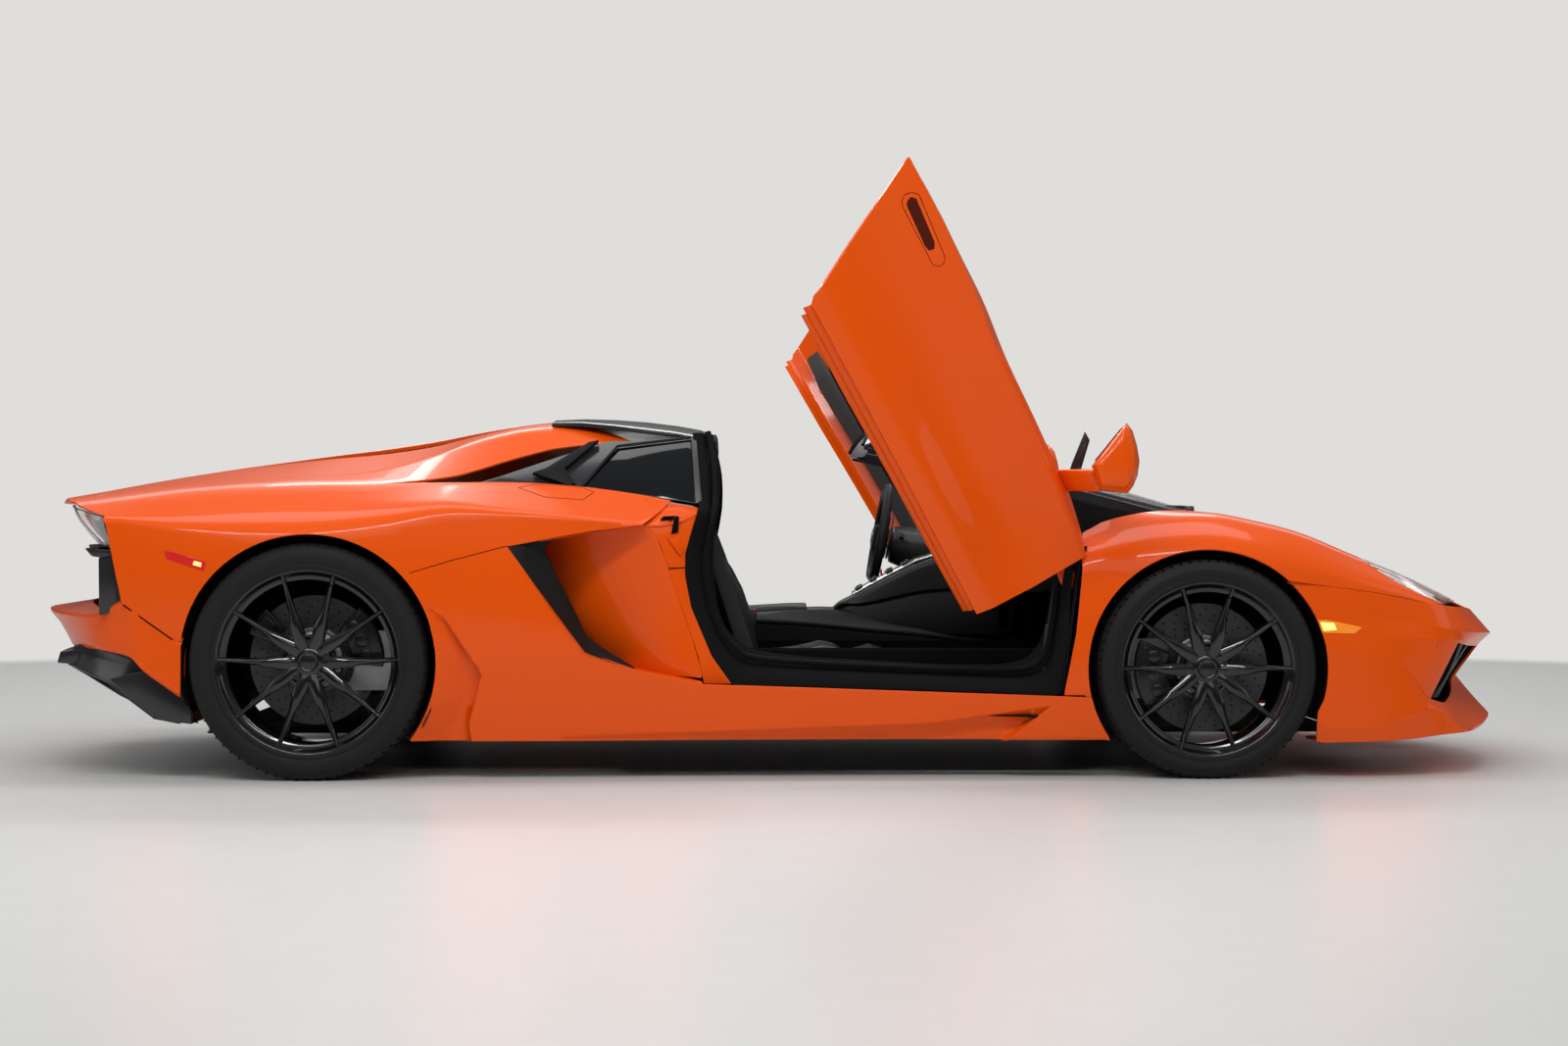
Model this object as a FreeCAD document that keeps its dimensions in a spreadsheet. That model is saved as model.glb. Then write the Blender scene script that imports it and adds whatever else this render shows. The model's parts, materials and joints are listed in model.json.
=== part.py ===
import FreeCAD, Part
import math
import os
import re
from FreeCAD import Placement, Rotation, Vector

# Mid-engined two-seat supercar, roof panels off.
# X points forward, Y to the car's left, Z up; the floor is Z = 0 and X = 0 is
# halfway along the car. Lengths are millimetres, angles degrees.

os.makedirs("parts", exist_ok=True)
doc = FreeCAD.newDocument("Supercar")

# ---------------------------------------------------------------- driving sizes
SIZES = (
    # alias, value, what it is
    ("wheelbase", 2700, "front axle line to rear axle line"),
    ("axle_shift", 45, "middle of the car to the middle of the wheelbase, rearwards"),
    ("body_width", 2030, "over the rear wings"),
    ("clearance", 110, "floor to the flat underside"),
    ("panel", 6, "moulded body panel thickness"),
    ("shut_gap", 6, "gap round doors"),
    ("lid_gap", 10, "gap round the bonnet and engine cover"),
    ("front_tyre_radius", 330, "outside of the front tyre"),
    ("front_tyre_width", 255, ""),
    ("front_rim_radius", 258, "bead seat of the front wheel"),
    ("front_wheel_inset", 34, "body side to the outside of the front tyre"),
    ("rear_tyre_radius", 355, "outside of the rear tyre"),
    ("rear_tyre_width", 345, ""),
    ("rear_rim_radius", 272, "bead seat of the rear wheel"),
    ("rear_wheel_inset", 12, "body side to the outside of the rear tyre"),
    ("rim_wall", 12, "wheel barrel thickness"),
    ("tyre_shoulder", 28, "tyre shoulder radius"),
    ("hub_radius", 72, "wheel centre"),
    ("spoke_pairs", 5, "spoke pairs on each wheel"),
    ("spoke_width", 26, ""),
    ("spoke_depth", 34, ""),
    ("disc_radius", 196, "brake disc"),
    ("disc_thickness", 34, ""),
    ("spindle_radius", 30, "stub axle in the hub"),
    ("running_fit", 0.3, "clearance at pins and bearings"),
    ("front_arch_gap", 36, "front tyre to its wheel opening"),
    ("rear_arch_gap", 31, "rear tyre to its wheel opening"),
    ("front_arch_radius", "=front_tyre_radius + front_arch_gap", "front wheel opening"),
    ("rear_arch_radius", "=rear_tyre_radius + rear_arch_gap", "rear wheel opening"),
    ("door_open_angle", 60, "rotation from shut to open"),
    ("hinge_pin_radius", 10, "door hinge pin"),
    ("door_wall", 22, "door frame inside its skin"),
    ("tub_half_width", 780, "outside of the carbon tub"),
    ("tub_wall", 24, "tub floor and bulkheads"),
    ("tub_side_height", 270, "tub side box above the underside"),
    ("tunnel_width", 240, "centre tunnel"),
    ("tunnel_height", 270, "centre tunnel above the underside"),
    ("seat_width", 470, ""),
    ("seat_gap", 17, "centre tunnel to a seat"),
    ("seat_side_gap", 23, "seat to the tub's side box"),
    ("seat_offset", "=tunnel_width / 2 + seat_gap + seat_width / 2", "car centreline to a seat's centreline"),
    ("seat_cushion_height", 250, "cushion top above the underside"),
    ("seat_back_length", 560, ""),
    ("wheel_rim_radius", 180, "steering wheel"),
    ("screen_thickness", 6, "windscreen glass"),
    ("door_inner_y", 800, "inner face of a shut door"),
    ("nose_overhang", 1085, "front axle to the tip of the nose"),
    ("tail_overhang", 995, "rear axle to the back of the bumper"),
    ("deck_overhang", 950, "rear axle to the edge of the tail deck"),
)
sheet = doc.addObject("Spreadsheet::Sheet", "Sizes")
for row, (alias, value, note) in enumerate(SIZES, 1):
    sheet.set(f"A{row}", alias)
    sheet.set(f"B{row}", str(value))
    sheet.set(f"C{row}", note)
    sheet.setAlias(f"B{row}", alias)
doc.recompute()
ALIASES = {alias for alias, _value, _note in SIZES}


def size(alias):
    """A driving size read from the sheet."""
    return float(sheet.get(alias))


def expanded(expression):
    """An expression with each alias written as a cell of the sheet."""
    return re.sub(r"[a-z_]+", lambda word: "Sizes." + word[0] if word[0] in ALIASES else word[0],
                  str(expression))


def bind(obj, **expressions):
    """Ties properties to expressions of the sheet's aliases."""
    for name, expression in expressions.items():
        obj.setExpression(name, expanded(expression))
    return obj


def place(obj, at):
    """Ties a placement's base to three expressions."""
    for axis, expression in zip("xyz", at):
        obj.setExpression("Placement.Base." + axis, expanded(expression))
    return obj


def box(name, centre, extent):
    """A box by its centre and extent, as expressions."""
    obj = doc.addObject("Part::Box", name)
    bind(obj, Length=extent[0], Width=extent[1], Height=extent[2])
    return place(obj, [f"({c}) - ({e})/2" for c, e in zip(centre, extent)])


def cylinder_y(name, centre, radius, length):
    """A cylinder along Y by its centre."""
    obj = doc.addObject("Part::Cylinder", name)
    bind(obj, Radius=radius, Height=length)
    obj.Placement = Placement(Vector(), Rotation(Vector(1, 0, 0), 90))
    return place(obj, [centre[0], f"({centre[1]}) + ({length})/2", centre[2]])


def cut(name, base, tool):
    obj = doc.addObject("Part::Cut", name)
    obj.Base = base
    obj.Tool = tool
    return obj


def feature(name, shape, placement=None):
    obj = doc.addObject("Part::Feature", name)
    obj.Shape = shape
    if placement is not None:
        obj.Placement = placement
    return obj


# ---------------------------------------------------------------- solids made in code
HALF_WIDTH = size("body_width") / 2
FRONT_AXLE = size("wheelbase") / 2 - size("axle_shift")
REAR_AXLE = -size("wheelbase") / 2 - size("axle_shift")
BASE = size("clearance")
PANEL = size("panel")
GAP = size("shut_gap")
LID_GAP = size("lid_gap")
FIT = size("running_fit")
TUB = size("tub_half_width")
SIDES = (("right", -1), ("left", 1))


def from_front(ahead):
    """X of a point so far ahead of the front axle."""
    return FRONT_AXLE + ahead


def from_rear(ahead):
    """X of a point so far ahead of the rear axle."""
    return REAR_AXLE + ahead


def block(x_range, y_range, z_range):
    """A box between two planes each way."""
    spans = [sorted(pair) for pair in (x_range, y_range, z_range)]
    return Part.makeBox(*[high - low for low, high in spans],
                        Vector(*[low for low, _high in spans]))


def rod(start, end, radius):
    """A round bar between two points."""
    first, last = Vector(*start), Vector(*end)
    return Part.makeCylinder(radius, (last - first).Length, first, last - first)


def bar(start, end, wide, high):
    """A flat bar between two points, its height along Z where it can be."""
    first, last = Vector(*start), Vector(*end)
    run = last - first
    solid = Part.makeBox(run.Length, wide, high, Vector(0, -wide / 2, -high / 2))
    side = Vector(0, 0, 1).cross(run).normalize()
    turn = Rotation(run.normalize(), side, Vector(), "XYZ")
    solid.Placement = Placement(first, turn)
    return solid


def inset(points, distance):
    """A closed outline moved inwards by a distance, corner by corner."""
    area = sum(a[0] * b[1] - b[0] * a[1] for a, b in zip(points, points[1:] + points[:1]))
    inward = distance if area > 0 else -distance
    moved = []
    for before, here, after in zip(points[-1:] + points[:-1], points, points[1:] + points[:1]):
        first = Vector(here[0] - before[0], here[1] - before[1]).normalize()
        second = Vector(after[0] - here[0], after[1] - here[1]).normalize()
        first_normal = Vector(-first.y, first.x)
        middle = first_normal + Vector(-second.y, second.x)
        middle = middle * (inward / middle.dot(first_normal))
        moved.append((here[0] + middle.x, here[1] + middle.y))
    return moved


def side_prism(outline, y_range):
    """An outline of (x, z) points stood across the car between two Y planes."""
    low, high = sorted(y_range)
    corners = [Vector(x, low, z) for x, z in outline]
    return Part.Face(Part.makePolygon(corners + corners[:1])).extrude(Vector(0, high - low, 0))


def plan_prism(outline, z_range):
    """An outline of (x, y) points raised between two heights."""
    low, high = z_range
    corners = [Vector(x, y, low) for x, y in outline]
    return Part.Face(Part.makePolygon(corners + corners[:1])).extrude(Vector(0, 0, high - low))


def mirrored(shape):
    """The same shape on the other side of the car."""
    return shape.mirror(Vector(), Vector(0, 1, 0))


def both(shape):
    """A right half joined to its mirror image."""
    return shape.fuse(mirrored(shape)).removeSplitter()


def on_side(shape, sign):
    """A right-hand shape, mirrored when it belongs on the left."""
    return shape if sign < 0 else mirrored(shape)


# ---------------------------------------------------------------- body surface
# Half sections of the body, from the tail to the nose. Each line of the body is
# given by its inset from half the body width and its height; the two lines
# nearest the middle by their distance from the centreline instead.
SECTIONS = (
    # axle, ahead | middle z | lid y, z | crest in, z | shoulder in, z | waist in, z | flank in, z | sill in, z
    ("rear", -620, 915, 450, 905, 245, 870, 90, 760, 65, 660, 60, 500, 95, 280),
    ("rear", -400, 962, 450, 930, 225, 895, 60, 770, 30, 650, 30, 480, 65, 200),
    ("rear", 0, 1020, 450, 975, 215, 900, 30, 775, 0, 640, 0, 500, 65, 110),
    ("rear", 390, 1077, 470, 1030, 215, 895, 30, 790, 15, 660, 10, 450, 85, 110),
    ("rear", 775, 1119, 490, 1085, 205, 880, 50, 785, 45, 620, 30, 400, 85, 110),
    ("rear", 1185, 1058, 490, 1040, 215, 840, 65, 768, 85, 580, 45, 320, 85, 110),
    ("rear", 1230, 785, 490, 785, 175, 785, 67, 766, 90, 560, 48, 310, 85, 110),
    ("front", -900, 785, 500, 785, 180, 784, 85, 745, 115, 550, 52, 300, 85, 110),
    ("front", -364, 786, 560, 786, 205, 775, 90, 736, 90, 580, 55, 300, 85, 110),
    ("front", -200, 800, 620, 800, 195, 778, 80, 725, 60, 600, 50, 420, 80, 110),
    ("front", 0, 815, 620, 810, 185, 798, 75, 725, 40, 620, 35, 450, 75, 110),
    ("front", 230, 770, 600, 768, 185, 762, 80, 680, 45, 600, 40, 450, 75, 110),
    ("front", 380, 725, 580, 722, 185, 717, 90, 640, 50, 560, 45, 420, 80, 110),
    ("front", 510, 675, 550, 672, 195, 665, 100, 590, 60, 520, 50, 380, 80, 112),
    ("front", 680, 600, 500, 600, 215, 590, 120, 525, 80, 450, 65, 300, 85, 125),
    ("front", 820, 535, 420, 535, 295, 528, 215, 500, 165, 400, 135, 250, 135, 130),
    ("front", 950, 480, 300, 479, 515, 465, 455, 430, 415, 360, 315, 220, 295, 135),
    ("front", size("nose_overhang"), 435, 110, 434, 845, 430, 815, 420, 795, 370, 715, 200, 715, 145),
)


def half_section(station, depth):
    """The right half of one body section, its skin moved in by a depth."""
    axle, ahead, middle_z, lid_y, lid_z = station[:5]
    x = from_front(ahead) if axle == "front" else from_rear(ahead)
    outline = [(0.0, middle_z), (lid_y, lid_z)]
    outline += [(HALF_WIDTH - inward, z) for inward, z in zip(station[5::2], station[6::2])]
    base = station[-1]
    whole = outline + [(0.0, base)]
    full = whole + [(-y, z) for y, z in reversed(whole[1:-1])]
    if depth:
        full = inset(full, depth)
    half = full[:len(whole)]
    corners = [Vector(x, -max(y, 0.0), z) for y, z in half]
    return Part.makePolygon(corners + corners[:1])


def half_body(depth):
    """The right half of the body as one solid, moved in by a depth."""
    return Part.makeLoft([half_section(station, depth) for station in SECTIONS], True, True)


OUTER = half_body(0.0)
SKIN = OUTER.cut(half_body(PANEL))
WIDE = (-HALF_WIDTH - 50, 0)

# ---------------------------------------------------------------- panel outlines, side view
DOOR_OPENING = [(from_rear(1010), 772), (from_rear(1050), 800),
                (from_front(-640), 800), (from_front(-470), 690), (from_front(-378), 636),
                (from_front(-395), 450), (from_front(-435), 247),
                (from_rear(1181), 287), (from_rear(1085), 530)]
SILL_OUTLINE = [(from_rear(280), 60), (from_rear(280), 300), (from_rear(950), 300),
                (from_rear(1181), 287), (from_front(-435), 247), (from_front(-280), 247),
                (from_front(-280), 60)]
NOSE_OUTLINE = [(from_front(250), 60), (from_front(250), 594), (from_front(685), 518),
                (from_front(825), 524), (from_front(825), 800), (from_front(1200), 800),
                (from_front(1200), 60)]
LAMP_OUTLINE = [(from_front(510), 680), (from_front(510), 648), (from_front(600), 585),
                (from_front(685), 518), (from_front(825), 524), (from_front(825), 600),
                (from_front(680), 700)]
INTAKE_OUTLINE = [(from_rear(594), 701), (from_rear(1010), 772), (from_rear(1085), 530),
                  (from_rear(1181), 287), (from_rear(977), 336), (from_rear(837), 380)]
COCKPIT = (from_rear(1245), from_front(-190))
SCREEN_HALF = 600

# ---------------------------------------------------------------- panel outlines, in plan
LID_REAR, LID_FRONT = from_front(150), from_front(800)
BONNET_PLAN = [(LID_REAR, 0), (LID_REAR, -SCREEN_HALF), (from_front(510), -545), (from_front(700), -480),
               (LID_FRONT, -400), (LID_FRONT, 0)]
COVER_PLAN = [(from_rear(-585), 0), (from_rear(-585), -440), (from_rear(0), -440),
              (from_rear(690), -470), (from_rear(690), 0)]
ROOF_PLAN = [(from_rear(690), 0), (from_rear(690), -485), (from_rear(1185), -485), (from_rear(1185), 0)]


def lowered(outline, distance):
    """A half plan outline moved inwards, but left on the centreline."""
    whole = outline[1:-1]
    full = whole + [(x, -y) for x, y in reversed(whole)]
    return [(x, y) for x, y in inset(full, distance)[:len(whole)]]


def half_plan(outline, distance, z_range):
    """The right half of a plan outline, moved inwards by a distance."""
    edge = lowered(outline, distance)
    return plan_prism([(edge[0][0], 0)] + edge + [(edge[-1][0], 0)], z_range)


def arch(x, radius, z, y_inner):
    """The cylinder that a wheel opening is cut with."""
    length = HALF_WIDTH + 60 - y_inner
    return Part.makeCylinder(radius, length, Vector(x, -y_inner, z), Vector(0, -1, 0))


FRONT_HUB, REAR_HUB = size("front_tyre_radius"), size("rear_tyre_radius")
FRONT_ARCH = arch(FRONT_AXLE, size("front_arch_radius"), FRONT_HUB, 540)
REAR_ARCH = arch(REAR_AXLE, size("rear_arch_radius"), REAR_HUB, 540)
TALL = (0, 1300)
FORE = block((from_front(-440), from_front(1300)), WIDE, TALL)
AFT = block((from_rear(-1200), from_rear(1205)), WIDE, TALL)
UNDER_FRONT = block((FRONT_AXLE - 500, FRONT_AXLE + 1300), (-560, 0), (0, BASE + 60))
UNDER_REAR = block((REAR_AXLE - 1200, REAR_AXLE + 1300), (-560, 0), (0, BASE + 190))

bonnet_hole = half_plan(BONNET_PLAN, 0, TALL)
cover_hole = half_plan(COVER_PLAN, 0, TALL)
roof_hole = half_plan(ROOF_PLAN, 0, TALL)
nose_zone = side_prism(NOSE_OUTLINE, WIDE)
lamp_zone = side_prism(LAMP_OUTLINE, (-HALF_WIDTH - 50, -500))
sill_zone = side_prism(SILL_OUTLINE, WIDE)
door_zone = side_prism(DOOR_OPENING, (-HALF_WIDTH - 50, -size("door_inner_y") + GAP))
intake_zone = side_prism(INTAKE_OUTLINE, (-HALF_WIDTH - 50, -800))
cockpit_zone = block(COCKPIT, (-size("door_inner_y"), 0), (500, 1300))

# ---------------------------------------------------------------- fixed body panels
nodes = []


def publish(obj, name):
    """Gives an object its node's name and puts it on the list to write."""
    obj.Label = name
    nodes.append(obj)


nose_intake = plan_prism([(from_front(640), -340), (from_front(640), -830), (from_front(1200), -830),
                          (from_front(1200), -340)], (210, 400))
nose = SKIN.common(nose_zone).cut(bonnet_hole).cut(FRONT_ARCH).cut(nose_intake).cut(UNDER_FRONT)
publish(feature("nose_shape", both(nose)), "front_bumper")

fender = SKIN.common(FORE).cut(nose_zone).cut(lamp_zone).cut(bonnet_hole).cut(FRONT_ARCH)
fender = fender.cut(sill_zone).cut(door_zone).cut(cockpit_zone)
fender = fender.cut(block((from_front(-500), LID_REAR), (-SCREEN_HALF, 0), TALL))
fender = fender.cut(block((from_front(-500), from_front(-366)), WIDE, (600, 900)))
fender = fender.common(block((0, from_front(1300)), (-HALF_WIDTH - 50, -560), TALL))
lamp = OUTER.common(lamp_zone).cut(half_body(PANEL * 4)).cut(nose_zone).cut(bonnet_hole)

quarter = SKIN.common(AFT).cut(cover_hole).cut(roof_hole).cut(REAR_ARCH).cut(sill_zone)
quarter = quarter.cut(door_zone).cut(intake_zone).cut(UNDER_REAR)
quarter = quarter.cut(block((from_rear(1012), 0), (-HALF_WIDTH - 50, -size("door_inner_y") + GAP), (700, 1000)))

sill = OUTER.common(sill_zone).cut(FRONT_ARCH).cut(REAR_ARCH)
sill = sill.common(block((REAR_AXLE, FRONT_AXLE), (-HALF_WIDTH - 50, -TUB), TALL))
sill_hollow = half_body(PANEL).common(block((REAR_AXLE, FRONT_AXLE), (-HALF_WIDTH, -TUB - PANEL),
                                            (0, 247 - PANEL)))
sill = sill.cut(sill_hollow)

scoop = OUTER.common(intake_zone).cut(side_prism(inset(INTAKE_OUTLINE, PANEL),
                                                 (-HALF_WIDTH - 50, -800 - PANEL)))
for side, sign in SIDES:
    publish(feature("fender_shape_" + side, on_side(fender, sign)), "front_fender_" + side)
    publish(feature("quarter_shape_" + side, on_side(quarter, sign)), "rear_quarter_" + side)
    publish(feature("sill_shape_" + side, on_side(sill, sign)), "side_sill_" + side)
publish(feature("lamp_shape", Part.makeCompound([lamp, mirrored(lamp)])), "headlights")
publish(feature("scoop_shape", Part.makeCompound([scoop, mirrored(scoop)])), "side_intakes")
publish(feature("roof_shape", both(SKIN.common(roof_hole).common(
    block((REAR_AXLE, 0), WIDE, (950, 1300))))), "roof_bridge")


# ---------------------------------------------------------------- lids
# Each lid turns on two gooseneck hinges: a pin under the fixed panel, an arm that
# dips below that panel's edge and a foot under the lid.
LID_PIN, LID_EYE, LID_DIP = 7, 14, 34


def gooseneck(pin_x, pin_z, way, out, reach, lid_z):
    """One lid hinge arm on the right side; way is the lid's direction along X."""
    y_range = (-out - 20, -out)
    low = pin_z - LID_DIP - 14
    far = pin_x + way * reach
    arm = block((pin_x - way * LID_EYE, far), y_range, (low, low + 16))
    neck = block((pin_x - LID_EYE, pin_x + LID_EYE), y_range, (low, pin_z))
    eye = rod((pin_x, -out - 20, pin_z), (pin_x, -out, pin_z), LID_EYE)
    foot = block((far - way * 16, far), y_range, (low, lid_z))
    bore = rod((pin_x, -out - 40, pin_z), (pin_x, -out + 20, pin_z), LID_PIN + FIT)
    return arm.fuse([neck, eye, foot]).cut(bore)


def lid_bracket(pin_x, pin_z, seat_x, out, z_range):
    """The fixed bracket and pin of one lid hinge on the right side."""
    way = 1 if pin_x > seat_x else -1
    plate = block((seat_x, pin_x + way * LID_PIN), (-out + 2, -out + 12), z_range)
    return plate.fuse(rod((pin_x, -out - 22, pin_z), (pin_x, -out + 4, pin_z), LID_PIN))


BONNET_PIN = (from_front(56), 746)
COVER_PIN = (from_rear(784), 1041)
HINGE_OUT = 380
bonnet = both(SKIN.common(half_plan(BONNET_PLAN, LID_GAP, (400, 1000))))
cover = both(SKIN.common(half_plan(COVER_PLAN, LID_GAP, (700, 1300))))
bonnet_arm = gooseneck(*BONNET_PIN, 1, HINGE_OUT, 160, 771).cut(bonnet)
cover_arm = gooseneck(*COVER_PIN, -1, HINGE_OUT, 164, 1082).cut(cover)
cover_arm = max(cover_arm.Solids, key=lambda solid: solid.Volume)
publish(feature("bonnet_shape", bonnet.fuse([bonnet_arm, mirrored(bonnet_arm)]).removeSplitter()), "bonnet")
publish(feature("cover_shape", cover.fuse([cover_arm, mirrored(cover_arm)]).removeSplitter()), "engine_cover")

# ---------------------------------------------------------------- windscreen
SCREEN_FOOT, SCREEN_HEAD = (from_front(60), 812), (from_front(-1000), 1098)
FOOT_HALF, HEAD_HALF = SCREEN_HALF, 480
slope = math.atan2(SCREEN_HEAD[1] - SCREEN_FOOT[1], SCREEN_FOOT[0] - SCREEN_HEAD[0])


def screen_plate(edge, thickness, drop):
    """A sheet in the plane of the windscreen, moved in by an edge distance and down."""
    corners = [(SCREEN_FOOT[0] - edge, -FOOT_HALF + edge), (SCREEN_FOOT[0] - edge, FOOT_HALF - edge),
               (SCREEN_HEAD[0] + edge, HEAD_HALF - edge), (SCREEN_HEAD[0] + edge, -HEAD_HALF + edge)]
    points = [Vector(x, y, SCREEN_FOOT[1] + (SCREEN_FOOT[0] - x) * math.tan(slope) - drop)
              for x, y in corners]
    return Part.Face(Part.makePolygon(points + points[:1])).extrude(Vector(0, 0, -thickness))


SCREEN_BORDER = 45
frame = screen_plate(0, 40, 0).cut(screen_plate(SCREEN_BORDER, 80, -20))
cowl = SKIN.common(block((COCKPIT[1], LID_REAR), (-SCREEN_HALF, 0), (700, 900)))
glass = screen_plate(SCREEN_BORDER, size("screen_thickness"), 8)
frame = frame.fuse([both(cowl), block((from_front(-204), from_front(-180)), (-600, 600), (740, 797))])
frame = frame.cut(glass)
publish(feature("windscreen_frame_shape", frame.removeSplitter()), "windscreen_frame")
publish(feature("windscreen_shape", glass), "windscreen")

# ---------------------------------------------------------------- doors
HINGE = Vector(from_front(-344), -900, 649)
HINGE_AXIS = Vector(0, math.cos(math.radians(18)), math.sin(math.radians(18)))
door_outline = inset(DOOR_OPENING, GAP)
door_block = OUTER.common(side_prism(door_outline, (-HALF_WIDTH - 50, -size("door_inner_y"))))
wall = size("door_wall")
door_hollow = half_body(PANEL).common(side_prism(inset(door_outline, wall),
                                                 (-HALF_WIDTH - 50, -size("door_inner_y") - wall)))
service_hole = side_prism([(from_rear(1450), 400), (from_front(-750), 400), (from_front(-750), 600),
                           (from_rear(1450), 600)], (-size("door_inner_y") - wall - 1, 0))
door = door_block.cut(door_hollow).cut(service_hole)
pin_radius = size("hinge_pin_radius")


def on_hinge(y):
    """The point of the hinge axis at a given Y."""
    return HINGE + HINGE_AXIS * ((y - HINGE.y) / HINGE_AXIS.y)


eye = rod(on_hinge(-838), on_hinge(-808), pin_radius * 2.2)
arm = bar(on_hinge(-823), Vector(from_front(-420), -823, 640), 26, 34)
eye = eye.fuse(arm).cut(rod(on_hinge(-860), on_hinge(-780), pin_radius + FIT))
door = door.fuse(eye).removeSplitter()
mirror_foot = Vector(from_front(-640), -855, 770)
mirror_head = Vector(from_front(-690), -1060, 862)
mirror = bar(mirror_foot, mirror_head, 60, 22).fuse(
    Part.makeBox(110, 210, 120, mirror_head + Vector(-55, -72, -50)))
mirror = mirror.cut(door_block).removeSplitter()
mirror = max(mirror.Solids, key=lambda solid: solid.Volume)


def opened(sign):
    """The placement of a right or left door raised to its rest."""
    axis = HINGE_AXIS if sign < 0 else Vector(0, HINGE_AXIS.y, -HINGE_AXIS.z)
    centre = Vector(HINGE.x, -sign * HINGE.y, HINGE.z)
    return Placement(Vector(), Rotation(axis, size("door_open_angle")), centre)


for side, sign in SIDES:
    publish(feature("door_shape_" + side, on_side(door, sign), opened(sign)), "door_" + side)
    publish(feature("mirror_shape_" + side, on_side(mirror, sign), opened(sign)), "mirror_" + side)

# ---------------------------------------------------------------- carbon tub and frames
TUB_REAR, TUB_FRONT = from_rear(900), from_front(-365)
FLOOR = BASE + PANEL
PILLAR_STEP, DASH_GAP = 30, 10
tub_wall = size("tub_wall")
side_top = BASE + size("tub_side_height")
tunnel_half = size("tunnel_width") / 2
seat_half = size("seat_width") / 2
box_inner = size("seat_offset") + seat_half + size("seat_side_gap")
pillar_inner = box_inner - PILLAR_STEP
dash_half = pillar_inner - DASH_GAP
tunnel_top = BASE + size("tunnel_height")
RAIL_INNER, RAIL_OUTER = 340, 400
floor = block((TUB_REAR, TUB_FRONT), (-TUB, TUB), (FLOOR, FLOOR + tub_wall))
rear_wall = block((TUB_REAR, TUB_REAR + tub_wall), (-TUB, TUB), (FLOOR, 700)).fuse(
    block((TUB_REAR, TUB_REAR + tub_wall), (-700, 700), (700, 900)))
dash_wall = block((TUB_FRONT - tub_wall, TUB_FRONT), (-TUB, TUB), (FLOOR, 560))
scuttle = block((TUB_FRONT - tub_wall, from_front(-180)), (-600, 600), (560, 584))
scuttle_front = block((from_front(-204), from_front(-180)), (-600, 600), (560, 740))
tunnel = block((TUB_REAR, TUB_FRONT), (-tunnel_half, tunnel_half), (FLOOR, tunnel_top))
tub_parts = [rear_wall, dash_wall, scuttle, scuttle_front, tunnel]
for sign in (-1, 1):
    rail = (sign * RAIL_OUTER, sign * RAIL_INNER)
    tub_parts.append(block((TUB_REAR, TUB_FRONT), (sign * TUB, sign * box_inner), (BASE, side_top)))
    tub_parts.append(block((TUB_FRONT - 60, TUB_FRONT), (sign * TUB, sign * pillar_inner), (FLOOR, 720)))
    tub_parts.append(block((TUB_FRONT - 60, TUB_FRONT + 50), (sign * TUB, sign * pillar_inner), (600, 720)))
    tub_parts.append(block((TUB_REAR, TUB_REAR + 60), (sign * 470, sign * 300), (900, 1030)))
    tub_parts.append(block((TUB_FRONT, from_front(640)), rail, (200, 270)))
    tub_parts.append(block((from_front(-30), from_front(30)), rail, (270, 560)))
    tub_parts.append(block((TUB_REAR, from_rear(-600)), rail, (240, 310)))
    tub_parts.append(block((from_rear(-30), from_rear(30)), rail, (310, 600)))
    tub_parts.append(on_side(rod(on_hinge(-858), on_hinge(-770), pin_radius), sign))
    bonnet_bracket = lid_bracket(*BONNET_PIN, from_front(-180), HINGE_OUT, (715, 746))
    cover_bracket = lid_bracket(*COVER_PIN, TUB_REAR, HINGE_OUT, (1000, 1040))
    tub_parts += [on_side(bonnet_bracket, sign), on_side(cover_bracket, sign)]
tub_parts.append(block((from_front(600), from_front(640)), (-560, 560), (200, 400)))
tub_parts.append(block((from_rear(-600), from_rear(-560)), (-550, 550), (240, 320)))
tub = floor.fuse(tub_parts).removeSplitter()
publish(feature("tub_shape", tub), "tub_and_frames")
tray = block((from_rear(-380), from_front(500)), (-560, 560), (BASE, FLOOR))
publish(feature("tray_shape", tray), "undertray")

# ---------------------------------------------------------------- tail
# Upright ribs of the rear bumper from the middle outwards:
# distance out, share of the bumper's reach behind the tail panel
BUMPER_FRONT = from_rear(-620)
REACH = size("tail_overhang") - 620
BUMPER_CORNER, BUMPER_END, LAMP_END = HALF_WIDTH - 185, HALF_WIDTH - 50, HALF_WIDTH - 125
FASCIA_HALF, DECK_HALF = HALF_WIDTH - 115, HALF_WIDTH - 255
RIBS = ((0, 1.0), (500, 0.86), (BUMPER_CORNER, 0.52), (BUMPER_END, 0.12))


def rib(out, share, depth):
    """One upright section of the bumper, moved in by a depth."""
    run = REACH * share
    corners = [(BUMPER_FRONT, 520), (BUMPER_FRONT - run, 508), (BUMPER_FRONT - run * 0.75, 360),
               (BUMPER_FRONT - run * 0.45, 290), (BUMPER_FRONT, 290)]
    if depth:
        corners = inset(corners, depth)
    points = [Vector(x, -out, z) for x, z in corners]
    return Part.makePolygon(points + points[:1])


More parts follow.
